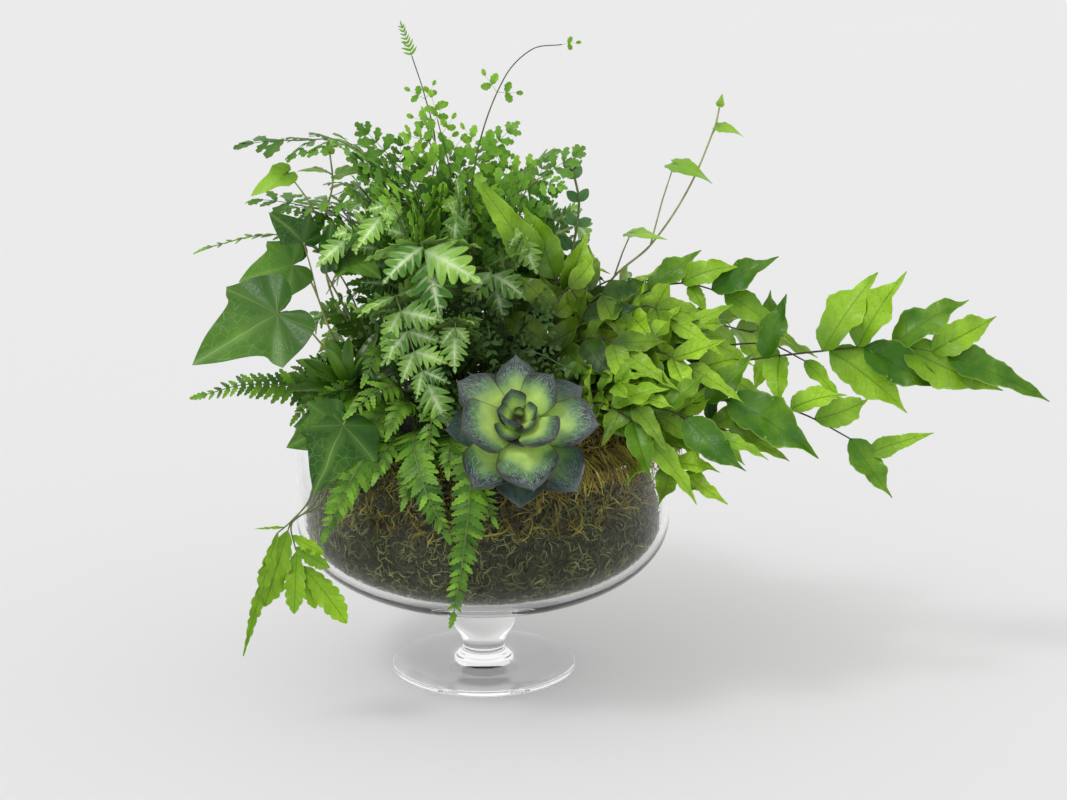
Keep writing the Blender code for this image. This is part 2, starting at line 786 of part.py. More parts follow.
def make_rosette(name, centre, axis, rows, material, root, core):
    """Fuse spiral rows of fleshy leaves to a core whose stem goes down into the soil.

    Each row gives its leaf count, then in mm the length, width and thickness,
    the tilt in degrees, the rise in mm and the curl in degrees. Returns the
    body with the place and radius of its hole.
    """
    axis = Vector(axis).normalized()
    turn = UP.rotation_difference(axis).to_matrix().to_4x4()
    centre = Vector(centre) * MM
    pieces = []
    for count, length, width, thickness, tilt, rise, curl in rows:
        for _ in range(count):
            number = len(pieces)
            outward = Matrix.Rotation(GOLDEN_ANGLE * number, 3, "Z") @ Vector((1, 0, 0))
            start = UP * (rise + 0.13 * number) * MM + outward * core * 0.25 * MM
            pose = Pose(start, outward, UP).turned(0, tilt + 3 * math.sin(1.9 * number))
            grown = length * (1 + 0.04 * math.sin(2.7 * number))
            points, faces = fleshy_leaf(pose, grown * MM, width * MM, thickness * MM, curl)
            mesh = closed_mesh(f"{name}_leaf_{number}", points, faces)
            mesh.transform(Matrix.Translation(centre) @ turn)
            pieces.append(new_object(mesh.name, mesh, material))
    foot = Vector((root[0] * MM, root[1] * MM, 0))
    foot.z = soil_height(foot.length)
    body, radius = rosette_core(name, centre, axis, foot, core * MM, material)
    fuse(body, pieces, solver="MANIFOLD")
    return body, (foot, radius / math.cos(math.pi / HOLE_SIDES) + GAP)


def closed_mesh(name, points, faces):
    """Return a mesh of triangles with its faces pointing out."""
    mesh = mesh_from(name, points, faces)
    shape = bmesh.new()
    shape.from_mesh(mesh)
    bmesh.ops.recalc_face_normals(shape, faces=shape.faces)
    bmesh.ops.triangulate(shape, faces=shape.faces)
    shape.to_mesh(mesh)
    shape.free()
    return mesh


def rosette_core(name, centre, axis, foot, radius, material):
    """Return the core, a short thick stem from the soil into the leaves, and its root's radius."""
    front = Vector((0, -1, 0))
    start = foot + UP * (ROOT_RISE + 2 * MM)
    route = Route([start, centre - axis * radius, centre + axis * radius * 0.6], front, UP)
    route.ways[0] = UP
    route.normals = route.carry_normals(front)
    poses = [Pose(foot - UP * ROOT_DEPTH, UP, route.pose(0).normal)]
    poses += [route.pose(route.length * share) for share in (0, 0.25, 0.5, 0.75, 1)]
    widths = (0.5, 0.5, 0.5, 0.6, 0.6, 0.25)
    sides = CORE_SIDES
    points, faces = [], []
    for pose, width in zip(poses, widths):
        for k in range(sides):
            angle = math.tau * k / sides
            points.append(pose.origin + (pose.right * math.cos(angle) + pose.normal * math.sin(angle))
                          * radius * width)
    for ring in range(len(poses) - 1):
        for k in range(sides):
            after = (k + 1) % sides
            faces.append((ring * sides + k, ring * sides + after,
                          (ring + 1) * sides + after, (ring + 1) * sides + k))
    faces.append(tuple(range(sides))[::-1])
    faces.append(tuple((len(poses) - 1) * sides + k for k in range(sides)))
    return new_object(name, closed_mesh(name, points, faces), material), radius * widths[0]


# The plants

UP_FRONT = (0.0, -0.75, 0.65)
UPWARD = (0.0, -0.15, 1.0)
FRONT = (0.0, -1.0, 0.15)
UP_BACK = (0.0, 0.7, 0.7)
BACK = (0.0, 1.0, 0.2)


def make_echeveria():
    rows = ((6, 50, 35, 6.0, 8, 0, -18), (6, 43, 31, 6.0, 28, 4, -20), (5, 32, 22, 5.0, 46, 7, -20),
            (3, 20, 14, 4.0, 66, 9, -12))
    return make_rosette("echeveria_rosette", (24, -105, 201), (0.02, -0.80, 0.60), rows,
                        echeveria_green(), (22, -66), 12)


def make_glossy_rosette():
    rows = ((4, 42, 15, 3.0, 25, 0, 10), (3, 36, 13, 3.0, 55, 3, 10))
    return make_rosette("glossy_rosette", (-84, -46, 206), (-0.25, -0.45, 0.86), rows,
                        rosette_green(), (-70, -32), 7)


def grow_holly_fern(garden):
    """Right-hand fern with broad pointed leaflets on dark arching midribs."""
    green = holly_green()

    def frond(number, root, through, facing, leaves, tip):
        garden.grow(f"holly_fern_frond_{number:02d}", root, through, facing, leaves, green, 1.1, 0.5, 38, tip)

    def row(count, first, length, swing, short=0.9, last=0.93):
        return pairs(count, first, last, length, swing, HOLLY, short)

    def to(base, tip):
        return aimed(base, tip, HOLLY)

    frond(1, (48, -2), ((92, -4, 205), (168, -12, 217), (223, -20, 226), (267, -30, 232), (302, -37, 228)),
          UP_FRONT,
          [to((120, -8, 210), (140, 8, 246)), to((140, -10, 213), (160, -40, 190)),
           to((185, -14, 220), (206, 0, 256)), to((196, -15, 222), (188, -45, 196)),
           to((223, -20, 226), (259, -10, 278)), to((228, -22, 226), (280, -34, 192)),
           to((243, -25, 229), (276, -14, 278)), to((250, -27, 230), (298, -40, 198)),
           to((267, -30, 232), (317, -22, 265)), to((275, -32, 231), (333, -46, 196)),
           to((291, -35, 229), (338, -30, 246))], aimed(1.0, (367, -46, 198), HOLLY))
    frond(2, (40, 16), ((74, 20, 225), (105, 20, 254), (132, 16, 263), (160, 8, 258)), UP_FRONT,
          [to((88, 20, 241), (70, 8, 266)), to((111, 20, 258), (148, 18, 281)), to((105, 20, 254), (104, 0, 240)),
           to((132, 16, 263), (168, 12, 281)), to((138, 14, 262), (146, 2, 244)),
           to((152, 10, 260), (197, 4, 278))], aimed(1.0, (210, -4, 226), HOLLY))
    frond(3, (62, -34), ((109, -50, 191), (154, -58, 203), (199, -62, 198), (236, -64, 180), (250, -66, 170)),
          UP_FRONT,
          [to((112, -52, 192), (138, -44, 222)), to((120, -54, 194), (146, -84, 174)),
           to((146, -58, 203), (180, -50, 226)), to((160, -58, 203), (219, -80, 176)),
           to((199, -62, 198), (232, -56, 214)), to((213, -63, 190), (256, -52, 196)),
           to((236, -64, 178), (259, -76, 140))], aimed(1.0, (290, -66, 186), HOLLY))
    frond(4, (56, 10), ((105, 10, 200), (150, 14, 218), (190, 13, 222), (214, 8, 212)), UP_FRONT,
          [to((110, 10, 202), (130, 20, 236)), to((118, 11, 206), (140, -14, 190)),
           to((150, 14, 218), (149, 5, 246)), to((160, 14, 219), (160, -10, 198)),
           to((190, 12, 222), (188, 20, 258)), to((196, 12, 220), (176, -4, 196))],
          aimed(1.0, (240, -2, 184), HOLLY))
    frond(5, (52, -48), ((89, -66, 201), (122, -85, 203), (149, -98, 190)), UP_FRONT,
          [to((84, -64, 200), (96, -50, 232)), to((96, -70, 202), (106, -98, 176)),
           to((118, -84, 203), (146, -76, 226)), to((129, -90, 198), (158, -118, 166))],
          aimed(1.0, (183, -106, 182), HOLLY))
    frond(6, (40, -52), ((72, -74, 206), (94, -96, 202), (106, -106, 190)), UP_FRONT,
          [to((72, -74, 206), (70, -78, 234)), to((84, -86, 206), (118, -84, 222)),
           to((96, -98, 200), (104, -122, 170))], aimed(1.0, (140, -120, 156), HOLLY))
    frond(7, (22, -4), ((44, -4, 215), (60, -8, 248), (50, -12, 270), (37, -12, 281)), FRONT,
          [to((61, -8, 250), (84, -18, 266)), to((58, -10, 262), (64, -4, 303)),
           to((48, -12, 272), (30, -2, 322))], aimed(1.0, (-3, -8, 342), HOLLY))
    frond(8, (34, -20), ((70, -26, 205), (96, -30, 228), (130, -28, 244)), UP_FRONT,
          row(4, 0.46, 34, (65, 45)), tip_leaf(38, HOLLY))
    frond(9, (34, -38), ((58, -58, 204), (74, -78, 214), (86, -90, 224)), UP_FRONT,
          row(3, 0.50, 25, (60, 45)), tip_leaf(25, HOLLY))
    frond(10, (50, 34), ((88, 50, 212), (140, 70, 224), (185, 84, 212)), UP_BACK,
          row(3, 0.40, 48, (65, 40)), tip_leaf(52, HOLLY))
    frond(11, (22, 48), ((30, 92, 222), (34, 138, 226), (30, 172, 204)), UP_BACK,
          row(3, 0.40, 46, (65, 40)), tip_leaf(48, HOLLY))
    frond(12, (8, 34), ((-2, 62, 250), (-8, 100, 284), (-12, 140, 286)), UP_BACK,
          row(3, 0.50, 42, (60, 40)), tip_leaf(50, HOLLY))


def grow_silver_fern(garden):
    """Lacy fern with deeply cut, silver-ribbed leaflets on long bare stalks."""
    green = silver_green()

    def frond(number, root, through, facing, leaves, tip):
        garden.grow(f"silver_fern_frond_{number:02d}", root, through, facing, leaves, green, 0.9, 0.5, 45, tip)

    def row(count, first, length, swing, short=0.7, last=0.95, outline=COMB_SHORT):
        return pairs(count, first, last, length, swing, outline, short, base=2.4)

    def to(base, tip):
        return aimed(base, tip, COMB, base=2.4)

    frond(1, (-22, -14), ((-36, -24, 262), (-41, -31, 297), (-38, -40, 302), (-34, -48, 294)), UP_FRONT,
          [to((-40, -34, 300), (-74, -44, 290)), to((-40, -34, 300), (0, -44, 298)),
           to((-37, -42, 300), (-64, -58, 282)), to((-36, -44, 299), (0, -66, 282))],
          aimed(1.0, (-24, -68, 262), COMB))
    frond(2, (-34, -26), ((-50, -34, 252), (-54, -50, 270), (-42, -74, 240), (-33, -86, 222)), FRONT,
          row(4, 0.66, 34, (65, 45)), tip_leaf(30, COMB))
    frond(3, (-6, -10), ((-2, -12, 250), (0, -14, 276), (4, -20, 282), (8, -26, 276)), UP_FRONT,
          [to((2, -17, 280), (-24, -24, 274)), to((3, -19, 281), (30, -22, 288))],
          aimed(1.0, (15, -34, 252), COMB))
    frond(4, (-30, 4), ((-48, 2, 290), (-56, 5, 325), (-89, 5, 359), (-122, 4, 361)), UPWARD,
          row(5, 0.58, 23, (65, 50)), tip_leaf(32, COMB_SHORT))
    frond(5, (-46, 14), ((-66, 20, 270), (-92, 25, 306), (-122, 30, 313)), UPWARD,
          row(4, 0.62, 22, (60, 50)), tip_leaf(26, COMB_SHORT))
    frond(6, (-20, 14), ((-34, 12, 290), (-42, 15, 326), (-60, 15, 348)), UP_FRONT,
          row(3, 0.68, 22, (60, 45)), tip_leaf(24, COMB_SHORT))
    frond(7, (-8, 26), ((-22, 30, 290), (-18, 35, 322), (2, 38, 345)), UP_FRONT,
          row(3, 0.66, 22, (60, 45)), tip_leaf(24, COMB_SHORT))
    frond(8, (8, 8), ((6, 4, 290), (18, 2, 325), (38, 4, 338)), UP_FRONT,
          row(3, 0.68, 22, (60, 45)), tip_leaf(22, COMB_SHORT))
    frond(9, (-34, 44), ((-52, 70, 270), (-66, 96, 300), (-80, 124, 296)), UP_BACK,
          row(3, 0.62, 30, (65, 45)), tip_leaf(34, COMB_SHORT))
    frond(10, (-6, 52), ((0, 60, 270), (14, 78, 312), (34, 100, 326)), UP_BACK,
          row(3, 0.62, 28, (65, 45)), tip_leaf(30, COMB_SHORT))


def grow_small_ferns(garden):
    """Low ferns with narrow leaflets that spill over the front of the bowl."""
    green = fern_green()

    def frond(number, root, through, facing, count, first, length, swing, tip, short=0.4):
        leaves = pairs(count, first, 0.97, length, swing, KITE, short, base=2.0, bulge=0.2)
        garden.grow(f"small_fern_frond_{number:02d}", root, through, facing, leaves, green, 0.8, 0.4, 45,
                    tip_leaf(tip, KITE))

    frond(1, (-62, -28), ((-88, -38, 205), (-119, -45, 209), (-152, -52, 212), (-176, -57, 207)), UP_FRONT,
          7, 0.45, 16, (65, 40), 13)
    frond(2, (-66, 4), ((-88, 2, 262), (-116, 0, 295), (-144, 0, 299), (-176, -2, 292)), UPWARD,
          5, 0.66, 11, (60, 40), 14)
    frond(3, (-42, -50), ((-58, -66, 200), (-70, -85, 191), (-76, -98, 175)), FRONT, 6, 0.45, 16, (70, 45), 10)
    frond(4, (-52, -58), ((-66, -90, 186), (-82, -118, 170), (-96, -130, 140)), FRONT, 5, 0.42, 18, (65, 40), 12)
    frond(5, (-32, -58), ((-42, -96, 188), (-34, -128, 166), (-22, -137, 142)), FRONT, 6, 0.40, 15, (65, 40), 11)
    frond(6, (-8, -70), ((-5, -108, 184), (-6, -136, 160), (-10, -138, 125), (-16, -138, 88)), FRONT,
          7, 0.42, 13, (65, 45), 12)
    frond(7, (-22, -68), ((-16, -104, 184), (2, -134, 164), (8, -138, 150)), FRONT, 4, 0.55, 11, (65, 45), 9)
    frond(8, (-58, -44), ((-80, -62, 206), (-98, -74, 208), (-108, -80, 200)), UP_FRONT, 5, 0.50, 13, (65, 45), 10)
    frond(9, (-42, -36), ((-52, -66, 214), (-66, -84, 216), (-78, -92, 208)), UP_FRONT, 5, 0.50, 15, (65, 45), 12)
    frond(10, (-52, 40), ((-78, 70, 205), (-100, 104, 206), (-116, 130, 184)), UP_BACK, 5, 0.42, 19, (65, 40), 15)
    frond(11, (8, 70), ((6, 104, 196), (0, 136, 172), (-4, 142, 136)), BACK, 5, 0.42, 18, (65, 40), 14)
    frond(12, (-14, -52), ((-22, -84, 206), (-28, -100, 200), (-30, -112, 186)), FRONT, 5, 0.45, 14, (65, 45), 10)


def grow_drooping_fern(garden):
    """Two bright fronds that hang outside the glass at the lower left."""
    green = holly_green()
    garden.grow("drooping_fern_frond_1", (-66, -46), ((-86, -76, 184), (-98, -96, 168), (-104, -104, 150),
                (-113, -116, 143), (-116, -120, 124)), FRONT,
                [aimed((-114, -117, 141), (-96, -126, 124), WAVED), aimed((-114, -118, 134), (-82, -122, 88), WAVED),
                 aimed((-113, -117, 142), (-136, -140, 104), WAVED)], green, 1.0, 0.5, 24,
                aimed(1.0, (-112, -132, 78), WAVED))
    garden.grow("drooping_fern_frond_2", (-74, -36), ((-100, -72, 186), (-112, -88, 170), (-122, -108, 146),
                (-128, -120, 134)), FRONT, [aimed((-122, -108, 146), (-140, -118, 148), WAVED)], green, 0.9, 0.5, 24,
                aimed(1.0, (-154, -126, 56), RIBBON))


def grow_tall_ferns(garden):
    """Thin dark stems that rise above the rest with small oval leaflets."""
    green = tall_green()

    def stem(number, root, through, leaves, tip):
        garden.grow(f"tall_fern_stem_{number}", root, through, FRONT, leaves, green, 0.8, 0.35, 50, tip)

    def oval(at, side, length, swing=60):
        return Leaf(at, side, length * MM, OVAL, swing)

    def both(at, length, swing=60):
        return [oval(at, -1, length, swing), oval(at, 1, length, swing)]

    stem(1, (-26, 24), ((-36, 30, 300), (-31, 32, 354), (-38, 35, 386), (-46, 37, 411)),
         both(0.76, 13) + both(0.90, 13) + both(0.96, 13), tip_leaf(20, COMB))
    stem(2, (-12, 16), ((-18, 20, 300), (-21, 20, 337), (-29, 20, 372)),
         both(0.84, 12) + both(0.95, 16, 75), tip_leaf(12, OVAL))
    stem(3, (0, 14), ((-7, 10, 310), (-2, 7, 356), (15, 3, 402), (33, 0, 421), (52, 0, 424)),
         both(0.58, 16, 75) + both(0.66, 14) + both(0.80, 12, 70), tip_leaf(9, KITE))
    stem(4, (14, 26), ((14, 36, 290), (18, 40, 318), (11, 42, 340)), both(0.80, 14) + both(0.92, 13),
         tip_leaf(12, OVAL))


def grow_ivy(garden):
    """Trailing ivy: lobed leaves on pale stalks, most of them at the left."""
    green = ivy_green()

    def vine(name, root, through, facing, leaves, tip):
        garden.grow(f"ivy_stem_{name}", root, through, facing, leaves, green, 0.9, 0.6, 36, tip)

    def leaf(at, joint, tip, facing=UP_FRONT, outline=IVY):
        return aimed(at, tip, outline, joint, facing)

    vine("left_1", (-70, -14), ((-98, -38, 232), (-118, -60, 262), (-127, -71, 264)), (-0.3, -0.8, 0.5), [],
         aimed(1.0, (-180, -85, 232), IVY, facing=(-0.3, -0.8, 0.5)))
    vine("left_2", (-76, -2), ((-100, -14, 240), (-112, -18, 274), (-122, -21, 284)), UP_FRONT,
         [leaf((-104, -15, 260), (-116, -8, 296), (-138, -8, 316))],
         aimed(1.0, (-156, -34, 276), IVY, facing=UP_FRONT))
    vine("left_3", (-60, 18), ((-92, 8, 250), (-104, -8, 282), (-100, -12, 290)), UPWARD,
         [leaf((-98, 2, 268), (-88, -14, 288), (-64, -30, 280), UP_FRONT)],
         aimed(1.0, (-76, -24, 306), IVY, facing=UP_FRONT))
    vine("left_4", (-72, 14), ((-102, 20, 260), (-105, 20, 300), (-98, 14, 330), (-99, 9, 352)), FRONT,
         [leaf((-105, 20, 300), (-126, 2, 340), (-150, -8, 328), UP_FRONT, IVY_YOUNG),
          leaf((-98, 14, 332), (-94, 11, 338), (-70, 4, 342), UPWARD, IVY_YOUNG),
          leaf((-99, 13, 336), (-103, 10, 340), (-120, 4, 342), UPWARD, IVY_YOUNG)],
         tip_leaf(10, IVY_YOUNG))
    vine("left_5", (-58, -30), ((-74, -56, 208), (-82, -84, 206), (-86, -98, 198)), FRONT,
         [leaf((-84, -92, 202), (-90, -96, 198), (-122, -112, 188), FRONT)],
         aimed(1.0, (-102, -130, 164), IVY, facing=FRONT))
    vine("back", (-40, 62), ((-60, 108, 200), (-70, 134, 176), (-76, 142, 140), (-70, 144, 104)), BACK,
         [Leaf(0.50, -1, 36 * MM, IVY, 60, 0, 0, 8 * MM), Leaf(0.72, 1, 34 * MM, IVY, 60, 0, 0, 8 * MM),
          Leaf(0.88, -1, 28 * MM, IVY, 60, 0, 0, 8 * MM)], tip_leaf(28, IVY))
    vine("right", (46, 28), ((68, 40, 232), (88, 40, 262), (112, 38, 284), (136, 34, 322), (153, 30, 365),
                             (156, 28, 380)), FRONT,
         [leaf((80, 40, 250), (78, 34, 262), (64, 28, 272), UPWARD, IVY_YOUNG),
          leaf((88, 40, 262), (99, 36, 293), (122, 24, 290), UPWARD, IVY_YOUNG),
          leaf((113, 38, 285), (127, 34, 340), (152, 20, 332), UPWARD, IVY_YOUNG),
          leaf((152, 30, 360), (155, 28, 366), (172, 22, 362), UPWARD, IVY_YOUNG)], tip_leaf(8, IVY_YOUNG))


def grow_others(garden):
    """Sedum sprig and the broad leaves that stand at the back."""
    sedum = pairs(2, 0.74, 0.97, 11, (60, 35), OVAL, 0.9)
    garden.grow("sedum_stem", (40, 2), ((58, 24, 275), (64, 30, 313), (60, 30, 336)), FRONT, sedum,
                sedum_green(), 1.0, 0.8, 50, tip_leaf(9, OVAL))
    broad = broad_green()
    for number, root, through, tip in ((1, (-4, 46), ((-4, 58, 240), (-4, 68, 262)), tip_leaf(60, LANCE)),
                                       (2, (-20, 36), ((-28, 52, 240), (-31, 60, 284)), tip_leaf(36, OVAL)),
                                       (3, (20, 18), ((30, 26, 240), (34, 30, 262)), tip_leaf(60, LANCE))):
        garden.grow(f"broad_leaf_{number}", root, through, FRONT, [], broad, 1.1, 0.9, 50, tip)


def cut_holes(ground, roots):
    """Cut a plain hole in the soil for every stem that stands in it."""
    cutters = []
    for k, (foot, radius) in enumerate(roots):
        shape = bmesh.new()
        bmesh.ops.create_cone(shape, cap_ends=True, segments=HOLE_SIDES, radius1=radius, radius2=radius,
                              depth=2 * (ROOT_DEPTH + GAP), matrix=Matrix.Translation(foot))
        mesh = bpy.data.meshes.new(f"hole_{k}")
        shape.to_mesh(mesh)
        shape.free()
        cutters.append(bpy.data.objects.new(mesh.name, mesh))
    fuse(ground, cutters, "DIFFERENCE")


def main():
    """Build the bowl, its filling and every plant."""
    for leftover in list(bpy.data.objects):
        bpy.data.objects.remove(leftover)
    bowl = make_glass_bowl()
    lining = make_moss_lining()
    ground = make_potting_soil()
    echeveria, echeveria_hole = make_echeveria()
    rosette, rosette_hole = make_glossy_rosette()
    tuft = make_moss_tuft()
    garden = Garden([bowl, lining, ground, tuft], [echeveria, rosette])
    garden.roots += [echeveria_hole, rosette_hole]
    grow_holly_fern(garden)
    grow_ivy(garden)
    grow_drooping_fern(garden)
    grow_tall_ferns(garden)
    grow_silver_fern(garden)
    grow_small_ferns(garden)
    grow_others(garden)
    cut_holes(ground, garden.roots)


if __name__ == "__main__":
    main()
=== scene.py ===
"""Dresses a footed glass bowl planted with ferns, ivy, a sedum and an echeveria.

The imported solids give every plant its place. The pieces made here stand for
them with finer leaves, stems, moss and glass, and fill in between them. Sizes
are in metres unless a name or a comment says mm, with +Z up, and the front of
the garden looks along -Y.
"""

import logging
import math
from collections.abc import Callable, Iterable, Sequence
from dataclasses import dataclass, field, replace
from enum import Enum
from itertools import cycle

import bpy
import numpy as np
from mathutils import Matrix, Vector

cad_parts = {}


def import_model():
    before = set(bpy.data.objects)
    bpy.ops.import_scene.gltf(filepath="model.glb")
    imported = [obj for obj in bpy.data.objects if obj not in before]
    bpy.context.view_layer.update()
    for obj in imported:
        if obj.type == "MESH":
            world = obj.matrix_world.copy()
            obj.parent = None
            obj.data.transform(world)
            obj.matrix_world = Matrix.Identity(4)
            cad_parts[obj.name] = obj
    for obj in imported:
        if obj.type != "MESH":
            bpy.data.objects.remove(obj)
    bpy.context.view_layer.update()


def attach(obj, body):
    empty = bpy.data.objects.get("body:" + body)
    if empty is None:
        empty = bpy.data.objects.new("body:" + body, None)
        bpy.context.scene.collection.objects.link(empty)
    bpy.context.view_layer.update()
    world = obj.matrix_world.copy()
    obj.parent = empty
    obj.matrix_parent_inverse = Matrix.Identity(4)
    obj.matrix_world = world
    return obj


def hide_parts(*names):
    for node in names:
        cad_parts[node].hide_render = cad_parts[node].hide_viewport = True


MM = 0.001
UP = Vector((0, 0, 1))
LOG = logging.getLogger("bowl_garden")
GOLDEN_ANGLE = math.radians(137.5)  # turn from one leaf of a rosette to the next
CREASE = 50.0  # degrees above which an edge is drawn sharp
NO_CREASE = 180.0
STEM_SIDES = 6

# The middle of the foliage and how far it reaches each way, for the painted shade deep inside it. Between the
# first two shares of that reach, leaves pass from the third share of painted shade to the fourth.
HEART = (0.0, 0.0, 222 * MM)
HEART_REACH = (112 * MM, 108 * MM, 92 * MM)
HEART_SHADE = (0.40, 1.05, 0.78, 0.0)

Colour = tuple[float, float, float]
Point = tuple[float, float, float]
Spot = tuple[float, float]  # two numbers that belong together, such as a place in the soil
Place = Vector | np.ndarray


# Meshes as arrays

@dataclass
class Shape:
    """Faces kept as arrays, so that thousands of small leaves join quickly.

    Attributes:
        points: Places of the corners, (n, 3).
        corners: Point numbers of all faces, one after another.
        sizes: Number of corners of each face.
        uv: One (across, along) pair for each entry of corners.
        tone: Lightness of each point's leaf, from 0 to 1.
        under: 1 for points on a leaf's underside, otherwise 0.
        slots: Material slot of each face.
    """

    points: np.ndarray
    corners: np.ndarray
    sizes: np.ndarray
    uv: np.ndarray
    tone: np.ndarray
    under: np.ndarray
    slots: np.ndarray

    @classmethod
    def of_faces(cls, points: np.ndarray, faces: Sequence[Sequence[int]], uv: np.ndarray | None = None,
                 under: np.ndarray | None = None) -> "Shape":
        """Makes a shape from points and faces.

        Args:
            points: Places of the points, (n, 3).
            faces: Point numbers of each face.
            uv: One pair for each point, or None.
            under: Underside flag of each point, or None.

        Returns:
            The shape, in material slot 0.
        """
        corners = np.array([corner for face in faces for corner in face], dtype=np.int32)
        sizes = np.array([len(face) for face in faces], dtype=np.int32)
        count = len(points)
        pairs = np.zeros((count, 2)) if uv is None else np.asarray(uv)
        below = np.zeros(count) if under is None else np.asarray(under, dtype=float)
        slots = np.zeros(len(sizes), dtype=np.int32)
        tone = np.full(count, 0.5)
        return cls(np.asarray(points, dtype=float), corners, sizes, pairs[corners], tone, below, slots)

    @classmethod
    def read(cls, mesh: bpy.types.Mesh) -> "Shape":
        """Reads a mesh that Geometry Nodes made."""
        count, loops, faces = len(mesh.vertices), len(mesh.loops), len(mesh.polygons)
        points = np.empty(count * 3)
        mesh.vertices.foreach_get("co", points)
        corners = np.empty(loops, dtype=np.int32)
        mesh.loops.foreach_get("vertex_index", corners)
        sizes = np.empty(faces, dtype=np.int32)
        mesh.polygons.foreach_get("loop_total", sizes)
        slots = np.empty(faces, dtype=np.int32)
        mesh.polygons.foreach_get("material_index", slots)
        uv = np.zeros(loops * 2)
        layer = mesh.attributes.get("UVMap")
        if layer is not None and layer.domain == "CORNER":
            layer.data.foreach_get("vector", uv)
        marks = []
        for name, rest in (("tone", 0.5), ("under", 0.0)):
            marks.append(np.full(count, rest))
            found = mesh.attributes.get(name)
            if found is not None and found.domain == "POINT":
                found.data.foreach_get("value", marks[-1])
        return cls(points.reshape(-1, 3), corners, sizes, uv.reshape(-1, 2), *marks, slots)

    def moved(self, matrix: Matrix) -> "Shape":
        """Returns the shape carried by a matrix."""
        turn = np.array(matrix.to_3x3())
        shift = np.array(matrix.translation)
        return replace(self, points=self.points @ turn.T + shift)

    def with_tone(self, tone: float) -> "Shape":
        """Returns the shape with one lightness all over."""
        return replace(self, tone=np.full(len(self.points), tone))

    def in_slot(self, slot: int) -> "Shape":
        """Returns the shape in one material slot."""
        return replace(self, slots=np.full(len(self.sizes), slot, dtype=np.int32))

    @staticmethod
    def joined(shapes: Sequence["Shape"]) -> "Shape":
        """Returns all shapes as one."""
        starts = np.cumsum([0] + [len(shape.points) for shape in shapes[:-1]])
        corners = [shape.corners + start for shape, start in zip(shapes, starts)]
        stack = {name: np.concatenate([getattr(shape, name) for shape in shapes])
                 for name in ("points", "sizes", "uv", "tone", "under", "slots")}
        return Shape(corners=np.concatenate(corners), **stack)

    def mesh(self, name: str, materials: Sequence[bpy.types.Material],
             crease: float = CREASE) -> bpy.types.Mesh:
        """Makes a Blender mesh.

        Args:
            name: The mesh's name.
            materials: One for each slot.
            crease: Angle in degrees above which an edge is drawn sharp.

        Returns:
            The mesh, shaded smooth.
        """
        mesh = bpy.data.meshes.new(name)
        mesh.vertices.add(len(self.points))
        mesh.vertices.foreach_set("co", self.points.ravel())
        mesh.loops.add(len(self.corners))
        mesh.loops.foreach_set("vertex_index", self.corners.astype(np.int32))
        mesh.polygons.add(len(self.sizes))
        starts = np.concatenate(([0], np.cumsum(self.sizes)[:-1])).astype(np.int32)
        mesh.polygons.foreach_set("loop_start", starts)
        mesh.polygons.foreach_set("material_index", self.slots.astype(np.int32))
        mesh.uv_layers.new(name="UVMap").data.foreach_set("uv", self.uv.ravel())
        for label, values in (("tone", self.tone), ("under", self.under)):
            mesh.attributes.new(label, "FLOAT", "POINT").data.foreach_set("value", values)
        for material in materials:
            mesh.materials.append(material)
        mesh.update()
        mesh.shade_smooth()
        mesh.set_sharp_from_angle(angle=math.radians(crease))
        return mesh


LeafMaker = Callable[[np.random.Generator], Shape]


def finish_piece(name: str, shape: Shape, materials: Sequence[bpy.types.Material],
                 stands_for: Sequence[str] = (), crease: float = CREASE) -> bpy.types.Object:
    """Adds a finished piece to the scene and reports it.

    Args:
        name: The piece's name.
        shape: Its form, in place.
        materials: One for each of the shape's slots.
        stands_for: CAD nodes that it replaces.
        crease: Angle in degrees above which an edge is drawn sharp.

    Returns:
        The piece's object.
    """
    mesh = shape.mesh(name, materials, crease)
    piece = bpy.data.objects.new(name, mesh)
    bpy.context.scene.collection.objects.link(piece)
    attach(piece, "root")
    if stands_for:
        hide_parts(*stands_for)
    LOG.info("%s: %d faces", name, len(mesh.polygons))
    return piece


def turned_shape(profile: Sequence[Spot], sides: int) -> Shape:
    """Turns an outline about Z.

    Args:
        profile: Closed outline of (radius, height) from the axis round to the axis.
        sides: Number of facets.

    Returns:
        A closed shape.
    """
    points: list[Point] = []
    rings: list[list[int]] = []
    for radius, height in profile:
        if radius == 0:
            rings.append([len(points)] * sides)
            points.append((0.0, 0.0, height))
            continue
        rings.append(list(range(len(points), len(points) + sides)))
        points += [(radius * math.cos(math.tau * k / sides), radius * math.sin(math.tau * k / sides), height)
                   for k in range(sides)]
    faces = []
    for lower, upper in zip(rings, rings[1:]):
        for k in range(sides):
            after = (k + 1) % sides
            face = dict.fromkeys((lower[k], lower[after], upper[after], upper[k]))
            faces.append(tuple(face))
    return Shape.of_faces(np.array(points), faces)


def eased(start: Place, leave: Place, end: Place, arrive: Place, t: float) -> Place:
    """Returns the place at a share of a smooth curve between two places.

    Args:
        start: Where it starts.
        leave: Its slope there.
        end: Where it ends.
        arrive: Its slope there.
        t: Share of the way, 0 to 1.

    Returns:
        The place.
    """
    return (start * (2 * t ** 3 - 3 * t ** 2 + 1) + leave * (t ** 3 - 2 * t ** 2 + t)
            + end * (3 * t ** 2 - 2 * t ** 3) + arrive * (t ** 3 - t ** 2))


def rings_joined(rings: int, sides: int) -> list[tuple[int, ...]]:
    """Returns the faces between rings of points that follow one another in a list.

    Args:
        rings: Number of rings.
        sides: Points in each.

    Returns:
        For each face, its corners.
    """
    faces = []
    for low in range(0, (rings - 1) * sides, sides):
        high = low + sides
        for side in range(sides):
            after = (side + 1) % sides
            faces.append((low + side, low + after, high + after, high + side))
    return faces


